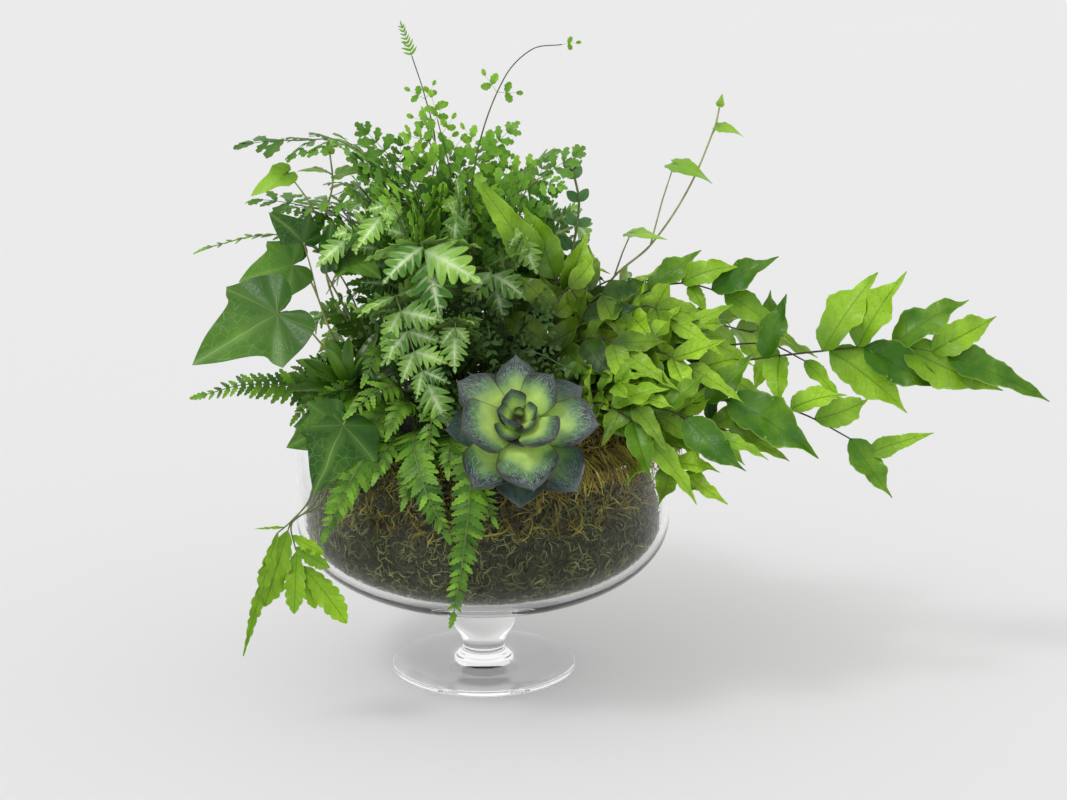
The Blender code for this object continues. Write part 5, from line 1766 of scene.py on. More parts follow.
@dataclass(frozen=True)
class Row:
    """Leaflets in pairs along a stem.

    Attributes:
        pairs: Number of pairs.
        first: Share of the stem's length at the first pair.
        last: Share at the last pair.
        length: Length of the longest leaflets in mm.
        swing: Angle from the stem in degrees at the first and at the last pair.
        short: Length of the last pair as a share of the first.
        bulge: Share by which the first pair is shorter.
        lift: Rise of the leaflets in degrees.
    """

    pairs: int
    first: float
    last: float
    length: float
    swing: Spot = (65.0, 45.0)
    short: float = 0.5
    bulge: float = 0.0
    lift: float = 0.0


@dataclass(frozen=True)
class Frond:
    """One stem with its leaves.

    Attributes:
        root: Place in the soil in mm.
        through: Points in mm that the stem passes through.
        facing: The way that leaves face near its tip.
        row: Leaflets in pairs.
        tip: The last leaf, aimed, or its length in mm.
        aims: Leaves that are aimed one by one.
        shift: How far the stem is bent aside in mm.
        slip: How far the root is moved in mm.
        name: Its own name, which is its CAD node's name where it has one.
    """

    root: Spot
    through: tuple[Point, ...]
    facing: Point
    row: Row | None = None
    tip: Aim | float = 0.0
    aims: tuple[Aim, ...] = ()
    shift: Point = (0, 0, 0)
    slip: Point = (0, 0, 0)
    name: str = ""


def numbered(prefix: str, fronds: Iterable[Frond], first: int = 1, digits: int = 2) -> list[Frond]:
    """Names fronds by a prefix and a number.

    Args:
        prefix: What each name starts with.
        fronds: The fronds in order.
        first: Number of the first one.
        digits: How many digits a number is written with.

    Returns:
        The fronds with their names.
    """
    return [replace(frond, name=f"{prefix}{number:0{digits}d}") for number, frond in enumerate(fronds, first)]


UP_FRONT = (0.0, -0.75, 0.65)
UPWARD = (0.0, -0.15, 1.0)
FRONT = (0.0, -1.0, 0.15)
UP_BACK = (0.0, 0.7, 0.7)
BACK = (0.0, 1.0, 0.2)
GROUP_START = 50  # number of a group's first frond, which keeps its seed apart from the single fronds


@dataclass
class LeafyPlant:
    """A kind of plant whose stems carry thin leaves.

    Attributes:
        slot: Its material slot's name; not used.
        leaf: Shape of its leaves.
        finish: Colours of its leaves.
        stem: Colours of its stems.
        root_radius: Radius of a stem at its root in mm.
        tip_radius: Radius at its tip in mm.
        seed: Seed of all small differences.
        leaflet: Shape of the leaves in rows, where it differs.
        end_leaf: Shape of the leaf at the end of a stem, where it differs.
    """

    slot: str
    leaf: "Blade | LobedBlade"
    finish: LeafFinish
    stem: StemFinish
    root_radius: float = 1.0
    tip_radius: float = 0.45
    seed: int = 1
    leaflet: LeafMaker | None = None
    end_leaf: LeafMaker | None = None

    def __post_init__(self) -> None:
        """Builds the two materials once."""
        self.materials = [self.finish.material(), self.stem.material()]

    def placed(self, aim: Aim, path: Path, rng: np.random.Generator, last: bool = False) -> list[Shape]:
        """Returns an aimed leaf with its stalk.

        Args:
            aim: The leaf's aim.
            path: The stem's path.
            rng: Seeded source of differences.
            last: Whether it is the leaf at the stem's end.

        Returns:
            The leaf, and its stalk if it has one.
        """
        share = aim.at if isinstance(aim.at, float) else path.share_near(Vector(aim.at) * MM)
        base = path.pose(share)
        facing = Vector(aim.facing) if aim.facing else base.normal
        start, made = base.origin, []
        if aim.joint:
            joint = Vector(aim.joint) * MM
            middle = (start + joint) / 2 + UP * 0.05 * (joint - start).length
            line = np.array([start, (start + middle) / 2, middle, (middle + joint) / 2, joint])
            made.append(swept(line, np.linspace(0.65, 0.45, 5) * MM, 5).in_slot(1))
            start = joint
        pose, length = heading(start, Vector(aim.tip) * MM, facing)
        pose = pose.turned(0, self.leaf.curl / 2, rng.uniform(-12, 12))
        make = self.end_leaf if last and self.end_leaf else self.leaf.shape
        leaf = make(rng).moved(pose.matrix(length * 1.01))
        made.append(leaf.with_tone(rng.uniform(0.15, 0.85)))
        return made

    def shape(self, nursery: Nursery, frond: Frond, number: int) -> Shape:
        """Returns a stem with all of its leaves.

        Args:
            nursery: The node trees.
            frond: The stem's data.
            number: Used to seed its differences.

        Returns:
            The stem and leaves.
        """
        rng = np.random.default_rng(self.seed * 1000 + number)
        path = Path(frond.root, frond.through, frond.facing, frond.shift, frond.slip)
        row = frond.row or Row(0, 0.5, 0.9, 1.0)
        make = self.leaflet or self.leaf.shape
        values = {"Leaflet": nursery.pattern(make(rng), f"{frond.name}_leaflet"), "Pairs": row.pairs,
                  "First": row.first, "Last": row.last, "Length": row.length * MM, "Short": row.short,
                  "Bulge": row.bulge, "Swing at base": math.radians(row.swing[0]),
                  "Swing at tip": math.radians(row.swing[1]), "Lift": math.radians(row.lift),
                  "Root radius": self.root_radius * MM, "Tip radius": self.tip_radius * MM,
                  "Seed": self.seed * 100 + number, "Leaf finish": self.materials[0],
                  "Stem finish": self.materials[1]}
        shapes = [nursery.stem_tree.grown(path.carrier(), values, self.materials)]
        for aim in frond.aims:
            shapes += self.placed(aim, path, rng)
        if isinstance(frond.tip, Aim):
            shapes += self.placed(frond.tip, path, rng, True)
        elif frond.tip:
            end = self.end_leaf or make
            leaf = end(rng).moved(path.pose(1.0).matrix(frond.tip * MM))
            shapes.append(leaf.with_tone(rng.uniform(0.3, 0.8)))
        return Shape.joined(shapes)

    def build(self, nursery: Nursery, fronds: Iterable[Frond]) -> None:
        """Makes one piece for each frond, in place of the CAD node of its name.

        Args:
            nursery: The node trees.
            fronds: The fronds.
        """
        for number, frond in enumerate(fronds):
            shape = self.shape(nursery, frond, number)
            finish_piece(f"fine_{frond.name}", shape, self.materials, [frond.name])

    def build_group(self, nursery: Nursery, name: str, fronds: Sequence[Frond]) -> None:
        """Makes one piece of several fronds that fill in between the others.

        Args:
            nursery: The node trees.
            name: The piece's name.
            fronds: The fronds.
        """
        shapes = [self.shape(nursery, frond, number) for number, frond in enumerate(fronds, GROUP_START)]
        finish_piece(name, Shape.joined(shapes), self.materials)


def compound(blade: Blade, pairs: int, size: float, swing: Spot = (65, 40),
             first: float = 0.14) -> LeafMaker:
    """Returns a maker of leaflets that are themselves rows of smaller ones.

    Args:
        blade: Shape of the smaller leaves.
        pairs: Number of pairs of them.
        size: Length of the first pair as a share of the whole.
        swing: Angle from the axis in degrees at the first and at the last pair.
        first: Place of the first pair.

    Returns:
        The maker, which takes a seeded source of differences.
    """
    def make(rng: np.random.Generator) -> Shape:
        """Builds one leaflet."""
        ahead = Vector((0, 1, 0))
        line = np.array([(0, y, -0.10 * y * y) for y in np.linspace(0, 0.92, 5)])
        shapes = [swept(line, np.linspace(0.014, 0.007, 5), 3)]
        for k in range(pairs):
            share = first + (0.86 - first) * k / max(1, pairs - 1)
            length = size * (1 - 0.55 * (share - first))
            angle = swing[0] + (swing[1] - swing[0]) * k / max(1, pairs - 1)
            for side in (-1, 1):
                start = Vector((0, share, -0.10 * share * share))
                swing_out = side * (angle + rng.uniform(-8, 8))
                pose = Pose(start, ahead, UP).turned(swing_out, rng.uniform(-12, 12))
                shapes.append(blade.shape(rng).moved(pose.matrix(length * rng.uniform(0.85, 1.1))))
        end = Pose(Vector((0, 0.90, -0.08)), ahead, UP).turned(rng.uniform(-8, 8), -8)
        shapes.append(blade.shape(rng).moved(end.matrix(size * 0.7)))
        return Shape.joined(shapes)
    return make


HOLLY_BLADE = Blade(((0, 0.02), (0.05, 0.11), (0.16, 0.195), (0.34, 0.225), (0.52, 0.195), (0.68, 0.13),
                     (0.80, 0.065), (0.90, 0.025), (1.0, 0.002)),
                    rows=18, columns=6, thickness=0.009, curl=26, trough=0.32, sickle=0.13, wave=0.07,
                    waves=2.2, lobes=6, cut=0.11, sweep=0.15)
HOLLY_END_BLADE = Blade(((0, 0.02), (0.05, 0.10), (0.14, 0.155), (0.24, 0.165), (0.40, 0.125),
                         (0.60, 0.095), (0.80, 0.05), (0.92, 0.018), (1.0, 0.002)),
                        rows=24, columns=6, thickness=0.008, curl=22, trough=0.22, sickle=0.06, wave=0.04,
                        waves=3.0, lobes=10, cut=0.10, sweep=0.2)
WAVED_BLADE = Blade(((0, 0.02), (0.08, 0.09), (0.26, 0.15), (0.50, 0.185), (0.70, 0.165), (0.86, 0.10),
                     (1.0, 0.01)),
                    rows=28, columns=6, thickness=0.012, curl=14, trough=0.22, sickle=0.05, wave=0.05,
                    waves=3.0, lobes=7, cut=0.20, sweep=0.35, ragged=0.6)
RIBBON_BLADE = Blade(((0, 0.01), (0.10, 0.035), (0.30, 0.065), (0.42, 0.04), (0.58, 0.05), (0.75, 0.03),
                      (1.0, 0.003)),
                     rows=36, columns=4, thickness=0.008, curl=12, trough=0.25, sickle=0.05, wave=0.03,
                     waves=5.0, lobes=12, cut=0.30, sweep=0.5, ragged=0.5)
SILVER_BLADE = Blade(((0, 0.05), (0.06, 0.26), (0.16, 0.37), (0.32, 0.34), (0.50, 0.25), (0.66, 0.16),
                      (0.82, 0.08), (1.0, 0.004)),
                     rows=25, columns=4, thickness=0.012, curl=26, trough=0.12, sickle=0.04, wave=0.04,
                     waves=4.0, lobes=5, cut=0.60, sweep=0.70)
PINNULE_BLADE = Blade(((0, 0.08), (0.06, 0.21), (0.30, 0.22), (0.60, 0.17), (0.85, 0.10), (1.0, 0.01)),
                      rows=8, columns=2, thickness=0.03, curl=18, trough=0.12, sickle=0.07, wave=0.0,
                      waves=3.0, lobes=4, cut=0.36, sweep=0.40)
OVAL_BLADE = Blade(((0, 0.03), (0.12, 0.22), (0.35, 0.34), (0.65, 0.33), (0.88, 0.18), (1.0, 0.03)),
                   rows=12, columns=4, thickness=0.02, curl=24, trough=0.16, sickle=0.0, wave=0.04,
                   waves=2.0, lobes=3, cut=0.26, sweep=0.2)
LANCE_BLADE = Blade(((0, 0.03), (0.15, 0.14), (0.40, 0.18), (0.70, 0.13), (0.90, 0.05), (1.0, 0.003)),
                    rows=18, columns=6, thickness=0.008, curl=16, trough=0.30, sickle=0.03, wave=0.02,
                    waves=2.0)
SMALL_LOBED_BLADE = Blade(((0, 0.04), (0.20, 0.18), (0.45, 0.31), (0.72, 0.26), (0.90, 0.12), (1.0, 0.01)),
                          rows=6, columns=2, thickness=0.035, curl=22, trough=0.15, sickle=0.04, wave=0.0,
                          waves=2.0, lobes=3, cut=0.42, sweep=0.35)
FEATHER_BLADE = Blade(((0, 0.05), (0.25, 0.13), (0.55, 0.12), (1.0, 0.01)), rows=5, columns=2,
                      thickness=0.03, curl=-30, trough=0.10, sickle=0.12)
SMALL_LEAF_BLADE = Blade(((0, 0.06), (0.30, 0.24), (0.65, 0.20), (1.0, 0.02)), rows=3, columns=2,
                         thickness=0.05, curl=18, trough=0.15)
IVY_BLADE = LobedBlade(((-0.10, 0.02), (-0.22, 0.09), (-0.27, 0.23), (-0.23, 0.37), (-0.12, 0.45),
                        (0.06, 0.51),
                        (0.27, 0.57)),
                       ((0.27, 0.57), (0.33, 0.46), (0.36, 0.36), (0.54, 0.27), (0.74, 0.17), (0.90, 0.07),
                        (1.0, 0.0)))
YOUNG_IVY_BLADE = LobedBlade(((-0.06, 0.02), (-0.13, 0.08), (-0.14, 0.20), (-0.04, 0.30), (0.18, 0.37)),
                             ((0.18, 0.37), (0.34, 0.26), (0.56, 0.18), (0.80, 0.09), (1.0, 0.0)), rings=4,
                             steps=3)

DARK_STEM = StemFinish("dark_midrib", (0.060, 0.075, 0.020), (0.022, 0.018, 0.008))
TALL_STEM = StemFinish("tall_stalk", (0.090, 0.165, 0.028), (0.026, 0.052, 0.012))
GREEN_STEM = StemFinish("green_stalk", (0.165, 0.235, 0.050), (0.085, 0.130, 0.025))
PALE_STEM = StemFinish("pale_stalk", (0.420, 0.430, 0.190), (0.260, 0.250, 0.090))


AIRY_GREEN = LeafFinish("airy_leaflet", light=(0.190, 0.440, 0.035), dark=(0.026, 0.110, 0.005),
                        vein=(0.330, 0.560, 0.120), edge=(0.260, 0.480, 0.060), veins=Veins.SIDE, rows=4,
                        vein_share=0.35, edge_share=0.3, roughness=0.40)


@dataclass
class HollyFern(LeafyPlant):
    """Fern with broad pointed leaflets on dark arching midribs, mostly at the right."""

    slot: str = "holly_fern_leaf"
    leaf: Blade = HOLLY_BLADE
    finish: LeafFinish = LeafFinish("holly_leaflet", light=(0.400, 0.700, 0.035),
                                    dark=(0.038, 0.145, 0.004), vein=(0.060, 0.150, 0.006),
                                    edge=(0.480, 0.740, 0.080), veins=Veins.SIDE, rows=8, vein_share=0.42,
                                    edge_share=0.35, roughness=0.36)
    stem: StemFinish = DARK_STEM
    root_radius: float = 1.1
    tip_radius: float = 0.5
    seed: int = 2
    end_leaf: LeafMaker | None = HOLLY_END_BLADE.shape

    def fronds(self) -> list[Frond]:
        """Returns the fronds that have CAD nodes."""
        aimed = (
            ((48, -2), ((92, -4, 205), (168, -12, 217), (223, -20, 226), (267, -30, 232), (302, -37, 228)),
             UP_FRONT,
             (((120, -8, 210), (140, 8, 246)), ((140, -10, 213), (160, -40, 190)),
              ((185, -14, 220), (206, 0, 256)), ((196, -15, 222), (188, -45, 196)),
              ((223, -20, 226), (259, -10, 278)), ((228, -22, 226), (280, -34, 192)),
              ((243, -25, 229), (276, -14, 278)), ((250, -27, 230), (298, -40, 198)),
              ((267, -30, 232), (317, -22, 265)), ((275, -32, 231), (333, -46, 196)),
              ((291, -35, 229), (338, -30, 246))), (367, -46, 198)),
            ((40, 16), ((74, 20, 225), (105, 20, 254), (132, 16, 263), (160, 8, 258)),
             UP_FRONT,
             (((88, 20, 241), (70, 8, 266)), ((111, 20, 258), (148, 18, 281)),
              ((105, 20, 254), (104, 0, 240)), ((132, 16, 263), (168, 12, 281)),
              ((138, 14, 262), (146, 2, 244)), ((152, 10, 260), (197, 4, 278))), (210, -4, 226)),
            ((62, -34), ((109, -50, 191), (154, -58, 203), (199, -62, 198), (236, -64, 180), (250, -66, 170)),
             UP_FRONT,
             (((112, -52, 192), (138, -44, 222)), ((120, -54, 194), (146, -84, 174)),
              ((146, -58, 203), (180, -50, 226)), ((160, -58, 203), (219, -80, 176)),
              ((199, -62, 198), (232, -56, 214)), ((213, -63, 190), (256, -52, 196)),
              ((236, -64, 178), (259, -76, 140))), (290, -66, 186)),
            ((56, 10), ((105, 10, 200), (150, 14, 218), (190, 13, 222), (214, 8, 212)),
             UP_FRONT,
             (((110, 10, 202), (130, 20, 236)), ((118, 11, 206), (140, -14, 190)),
              ((150, 14, 218), (149, 5, 246)), ((160, 14, 219), (160, -10, 198)),
              ((190, 12, 222), (188, 20, 258)), ((196, 12, 220), (176, -4, 196))), (240, -2, 184)),
            ((52, -48), ((89, -66, 201), (122, -85, 203), (149, -98, 190)),
             UP_FRONT,
             (((84, -64, 200), (96, -50, 232)), ((96, -70, 202), (106, -98, 176)),
              ((118, -84, 203), (146, -76, 226)), ((129, -90, 198), (158, -118, 166))), (183, -106, 182)),
            ((40, -52), ((72, -74, 206), (94, -96, 202), (106, -106, 190)),
             UP_FRONT,
             (((72, -74, 206), (70, -78, 234)), ((84, -86, 206), (118, -84, 222)),
              ((96, -98, 200), (104, -122, 170))), (140, -120, 156)),
            ((22, -4), ((44, -4, 215), (60, -8, 248), (50, -12, 270), (37, -12, 281)),
             FRONT,
             (((61, -8, 250), (84, -18, 266)), ((58, -10, 262), (64, -4, 303)),
              ((48, -12, 272), (30, -2, 322))), (-3, -8, 342)))
        made = [Frond(root, through, facing, tip=Aim(1.0, tip), aims=tuple(Aim(*pair) for pair in pairs))
                for root, through, facing, pairs, tip in aimed]
        made += [
            Frond((34, -20), ((70, -26, 205), (96, -30, 228), (130, -28, 244)), UP_FRONT,
                  Row(5, 0.40, 0.93, 34, (65, 45), 0.9), 38),
            Frond((34, -38), ((58, -58, 204), (74, -78, 214), (86, -90, 224)), UP_FRONT,
                  Row(4, 0.40, 0.93, 25, (60, 45), 0.9), 25, shift=(6.4, 2.7, 1.5)),
            Frond((50, 34), ((88, 50, 212), (140, 70, 224), (185, 84, 212)), UP_BACK,
                  Row(6, 0.34, 0.93, 46, (65, 40), 0.9), 52),
            Frond((22, 48), ((30, 92, 222), (34, 138, 226), (30, 172, 204)), UP_BACK,
                  Row(6, 0.34, 0.93, 44, (65, 40), 0.9), 48),
            Frond((8, 34), ((-2, 62, 250), (-8, 100, 284), (-12, 140, 286)), UP_BACK,
                  Row(6, 0.42, 0.93, 40, (60, 40), 0.9), 50)]
        return numbered("holly_fern_frond_", made)


@dataclass
class DroopingFern(LeafyPlant):
    """Two bright fronds that hang outside the glass at the lower left."""

    slot: str = "holly_fern_leaf"
    leaf: Blade = WAVED_BLADE
    finish: LeafFinish = LeafFinish("drooping_leaflet", light=(0.330, 0.600, 0.012),
                                    dark=(0.130, 0.290, 0.006), vein=(0.050, 0.120, 0.008),
                                    edge=(0.420, 0.600, 0.080), veins=Veins.SIDE, rows=9, vein_share=0.45,
                                    edge_share=0.4, roughness=0.36)
    stem: StemFinish = GREEN_STEM
    seed: int = 3

    def waved(self) -> Frond:
        """Returns the frond with five waved leaflets."""
        return Frond((-66, -46), ((-86, -76, 184), (-101, -104, 148), (-118, -113, 139), (-117, -115, 124),
                                  (-112, -118, 111)), FRONT, tip=Aim(1.0, (-81, -128, 80)),
                     aims=(Aim((-118, -114, 131), (-98, -125, 122)), Aim((-117, -115, 122), (-94, -129, 113)),
                           Aim((-116, -116, 120), (-116, -130, 84)),
                           Aim((-112, -118, 111), (-104, -122, 84))),
                     name="drooping_fern_frond_1")

    def ribbon(self) -> Frond:
        """Returns the frond that ends in a long ribbon."""
        return Frond((-74, -36), ((-96, -78, 184), (-108, -100, 150), (-119, -112, 139), (-127, -120, 134)),
                     FRONT, tip=Aim(1.0, (-154, -127, 57)), aims=(Aim((-123, -116, 137), (-141, -122, 137)),),
                     name="drooping_fern_frond_2")

    def broad(self) -> Frond:
        """Returns the broad leaflet between the two fronds."""
        return Frond((-70, -40), ((-90, -78, 183), (-104, -102, 149), (-119, -113, 138), (-121, -116, 134)),
                     FRONT, tip=Aim(1.0, (-136, -125, 87)), name="drooping_leaflet")

    def build_all(self, nursery: Nursery) -> None:
        """Makes both fronds and the leaflet between them."""
        self.build(nursery, [self.waved()])
        self.build_group(nursery, "drooping_leaflet_between", [self.broad()])
        replace(self, leaf=RIBBON_BLADE).build(nursery, [self.ribbon()])


@dataclass
class SilverFern(LeafyPlant):
    """Lacy fern with deeply cut leaflets and silvery ribs on long bare stalks."""

    slot: str = "silver_fern_leaf"
    leaf: Blade = SILVER_BLADE
    finish: LeafFinish = LeafFinish("silver_leaflet", light=(0.420, 0.740, 0.110),
                                    dark=(0.050, 0.180, 0.014), vein=(0.760, 0.930, 0.540),
                                    edge=(0.200, 0.420, 0.040), veins=Veins.SILVER, rows=6, vein_share=0.85,
                                    edge_share=0.3, roughness=0.40)
    stem: StemFinish = GREEN_STEM
    root_radius: float = 0.9
    tip_radius: float = 0.4
    seed: int = 4

    def fronds(self) -> list[Frond]:
        """Returns the fronds that have CAD nodes."""
        made = [
            Frond((-22, -14), ((-36, -24, 262), (-41, -31, 297), (-38, -40, 302), (-34, -48, 294)), UP_FRONT,
                  tip=Aim(1.0, (-24, -68, 258)),
                  aims=(Aim((-40, -34, 300), (-74, -44, 290)), Aim((-40, -34, 300), (0, -44, 298)),
                        Aim((-37, -42, 300), (-64, -58, 282)), Aim((-36, -44, 299), (0, -66, 282)))),
            Frond((-34, -26), ((-50, -34, 252), (-54, -50, 270), (-42, -74, 240), (-33, -86, 222)), FRONT,
                  Row(6, 0.56, 0.95, 33, (65, 45), 0.62), 32),
            Frond((-6, -10), ((-2, -12, 250), (0, -14, 276), (4, -20, 282), (8, -26, 276)), UP_FRONT,
                  tip=Aim(1.0, (15, -36, 248)),
                  aims=(Aim((2, -17, 280), (-24, -24, 274)), Aim((3, -19, 281), (30, -22, 288)),
                        Aim((6, -22, 279), (-12, -34, 258)), Aim((7, -24, 278), (32, -34, 266)))),
            Frond((-30, 4), ((-48, 2, 290), (-56, 5, 325), (-89, 5, 359), (-122, 4, 361)), UPWARD,
                  Row(8, 0.50, 0.95, 28, (65, 50), 0.65), 30),
            Frond((-46, 14), ((-66, 20, 270), (-92, 25, 306), (-122, 30, 313)), UPWARD,
                  Row(7, 0.52, 0.95, 28, (60, 50), 0.65), 28),
            Frond((-20, 14), ((-34, 12, 290), (-42, 15, 326), (-60, 15, 348)), UP_FRONT,
                  Row(5, 0.60, 0.95, 25, (62, 46), 0.65), 24),
            Frond((-8, 26), ((-22, 30, 290), (-18, 35, 322), (2, 38, 345)), UP_FRONT,
                  Row(5, 0.60, 0.95, 25, (62, 46), 0.65), 24),
            Frond((8, 8), ((6, 4, 290), (18, 2, 325), (38, 4, 338)), UP_FRONT,
                  Row(5, 0.62, 0.95, 24, (62, 46), 0.65), 22, shift=(11.1, 4.7, 2.6)),
            Frond((-34, 44), ((-52, 70, 270), (-66, 96, 300), (-80, 124, 296)), UP_BACK,
                  Row(7, 0.50, 0.95, 30, (65, 45), 0.6), 34),
            Frond((-6, 52), ((0, 60, 270), (14, 78, 312), (34, 100, 326)), UP_BACK,
                  Row(7, 0.50, 0.95, 28, (65, 45), 0.6), 30)]
        return numbered("silver_fern_frond_", made)

    def build_all(self, nursery: Nursery) -> None:
        """Makes the silvery fronds with cut leaflets and the airy ones with lobed leaflets."""
        fronds = self.fronds()
        self.build(nursery, fronds[:3] + fronds[8:])
        lobed = compound(SMALL_LOBED_BLADE, 3, 0.62, (62, 40), 0.22)
        SilverFern(seed=14, leaflet=lobed, finish=AIRY_GREEN).build(nursery, fronds[3:8])


@dataclass
class SmallFern(LeafyPlant):
    """Low fern with narrow toothed leaflets that spills over the front of the bowl."""

    slot: str = "small_fern_leaf"
    leaf: Blade = PINNULE_BLADE
    finish: LeafFinish = LeafFinish("fern_leaflet", light=(0.240, 0.500, 0.035), dark=(0.028, 0.115, 0.004),
                                    vein=(0.260, 0.440, 0.070), edge=(0.280, 0.480, 0.060),
                                    veins=Veins.SIDE, rows=6, vein_share=0.4, edge_share=0.3,
                                    roughness=0.40)
    stem: StemFinish = GREEN_STEM
    root_radius: float = 0.8
    tip_radius: float = 0.35
    seed: int = 5

    def fronds(self) -> list[Frond]:
        """Returns the fronds that have CAD nodes."""
        made = [
            Frond((-62, -28), ((-88, -38, 205), (-119, -45, 209), (-152, -52, 212), (-176, -57, 207)),
                  UP_FRONT, Row(17, 0.42, 0.97, 19, (68, 42), 0.3, 0.25), 12),
            Frond((-66, 4), ((-88, 2, 262), (-116, 0, 295), (-144, 0, 299), (-176, -2, 292)), UPWARD,
                  Row(12, 0.62, 0.97, 12, (60, 40), 0.4, 0.2), 14),
            Frond((-42, -50), ((-58, -66, 200), (-70, -85, 191), (-76, -98, 175)), FRONT,
                  Row(18, 0.40, 0.97, 18, (70, 45), 0.35, 0.2), 10),
            Frond((-52, -58), ((-66, -90, 186), (-82, -118, 170), (-96, -130, 140)), FRONT,
                  Row(20, 0.38, 0.97, 20, (68, 42), 0.35, 0.2), 12, shift=(3.2, 1.4, 0.8)),
            Frond((-32, -58), ((-42, -96, 188), (-34, -128, 166), (-22, -137, 142)), FRONT,
                  Row(21, 0.36, 0.97, 19, (68, 42), 0.35, 0.2), 11),
            Frond((-8, -70), ((-5, -108, 184), (-6, -136, 160), (-10, -138, 125), (-16, -138, 88)), FRONT,
                  Row(24, 0.36, 0.97, 17, (66, 42), 0.4, 0.2), 12),
            Frond((-22, -68), ((-16, -104, 184), (2, -134, 164), (8, -138, 150)), FRONT,
                  Row(14, 0.50, 0.97, 14, (65, 45), 0.4, 0.2), 9, shift=(0.4, 3.5, 0.3)),
            Frond((-58, -44), ((-80, -62, 206), (-98, -74, 208), (-108, -80, 200)), UP_FRONT,
                  Row(12, 0.42, 0.97, 15, (65, 45), 0.4, 0.2), 10, shift=(2.6, 6.5, 1.5),
                  slip=(-2.8, 2.1, 0)),
            Frond((-42, -36), ((-52, -66, 214), (-66, -84, 216), (-78, -92, 208)), UP_FRONT,
                  Row(12, 0.42, 0.97, 17, (65, 45), 0.4, 0.2), 12),
            Frond((-52, 40), ((-78, 70, 205), (-100, 104, 206), (-116, 130, 184)), UP_BACK,
                  Row(14, 0.36, 0.97, 20, (65, 40), 0.35, 0.2), 15),
            Frond((8, 70), ((6, 104, 196), (0, 136, 172), (-4, 142, 136)), BACK,
                  Row(14, 0.36, 0.97, 19, (65, 40), 0.35, 0.2), 14),
            Frond((-14, -52), ((-22, -84, 206), (-28, -100, 200), (-30, -112, 186)), FRONT,
                  Row(12, 0.40, 0.97, 15, (65, 45), 0.4, 0.2), 10, shift=(-2.8, 2.1, -1.0))]
        return numbered("small_fern_frond_", made)


@dataclass
class TallFern(LeafyPlant):
    """Thin green-brown stems that rise above the rest with small lobed leaflets."""

    slot: str = "tall_fern_leaf"
    leaf: Blade = OVAL_BLADE
    leaflet: LeafMaker | None = compound(OVAL_BLADE, 1, 0.52, (66, 60), 0.42)
    finish: LeafFinish = LeafFinish("tall_leaflet", light=(0.290, 0.590, 0.040), dark=(0.085, 0.260, 0.010),
                                    vein=(0.340, 0.560, 0.110), edge=(0.320, 0.560, 0.070),
                                    veins=Veins.SIDE, rows=5, vein_share=0.35, edge_share=0.3,
                                    roughness=0.40)
    stem: StemFinish = TALL_STEM
    root_radius: float = 0.8
    tip_radius: float = 0.35
    seed: int = 6

    def fronds(self) -> list[Frond]:
        """Returns the stems that have CAD nodes."""
        made = [
            Frond((-26, 24), ((-36, 30, 300), (-31, 32, 354), (-38, 35, 386), (-46, 37, 411)), FRONT,
                  Row(4, 0.68, 0.88, 17, (62, 48), 0.75), 22),
            Frond((-12, 16), ((-18, 20, 300), (-21, 20, 337), (-29, 20, 372)), FRONT,
                  Row(4, 0.72, 0.95, 19, (60, 55), 0.8), 16),
            Frond((0, 14), ((-7, 10, 310), (-2, 7, 356), (15, 3, 402), (33, 0, 421), (52, 0, 424)), FRONT,
                  Row(3, 0.54, 0.80, 17, (75, 60), 0.8), 10),
            Frond((14, 26), ((14, 36, 290), (18, 40, 318), (11, 42, 340)), FRONT,
                  Row(3, 0.74, 0.94, 17, (60, 50), 0.8), 14)]
        return numbered("tall_fern_stem_", made, digits=1)

    def build_all(self, nursery: Nursery) -> None:
        """Makes the stem with a feathered end and the ones that end in a cluster."""
        fronds = self.fronds()
        feather = compound(FEATHER_BLADE, 8, 0.30, (58, 40), 0.05)
        replace(self, end_leaf=feather).build(nursery, fronds[:1])
        self.build(nursery, fronds[1:])


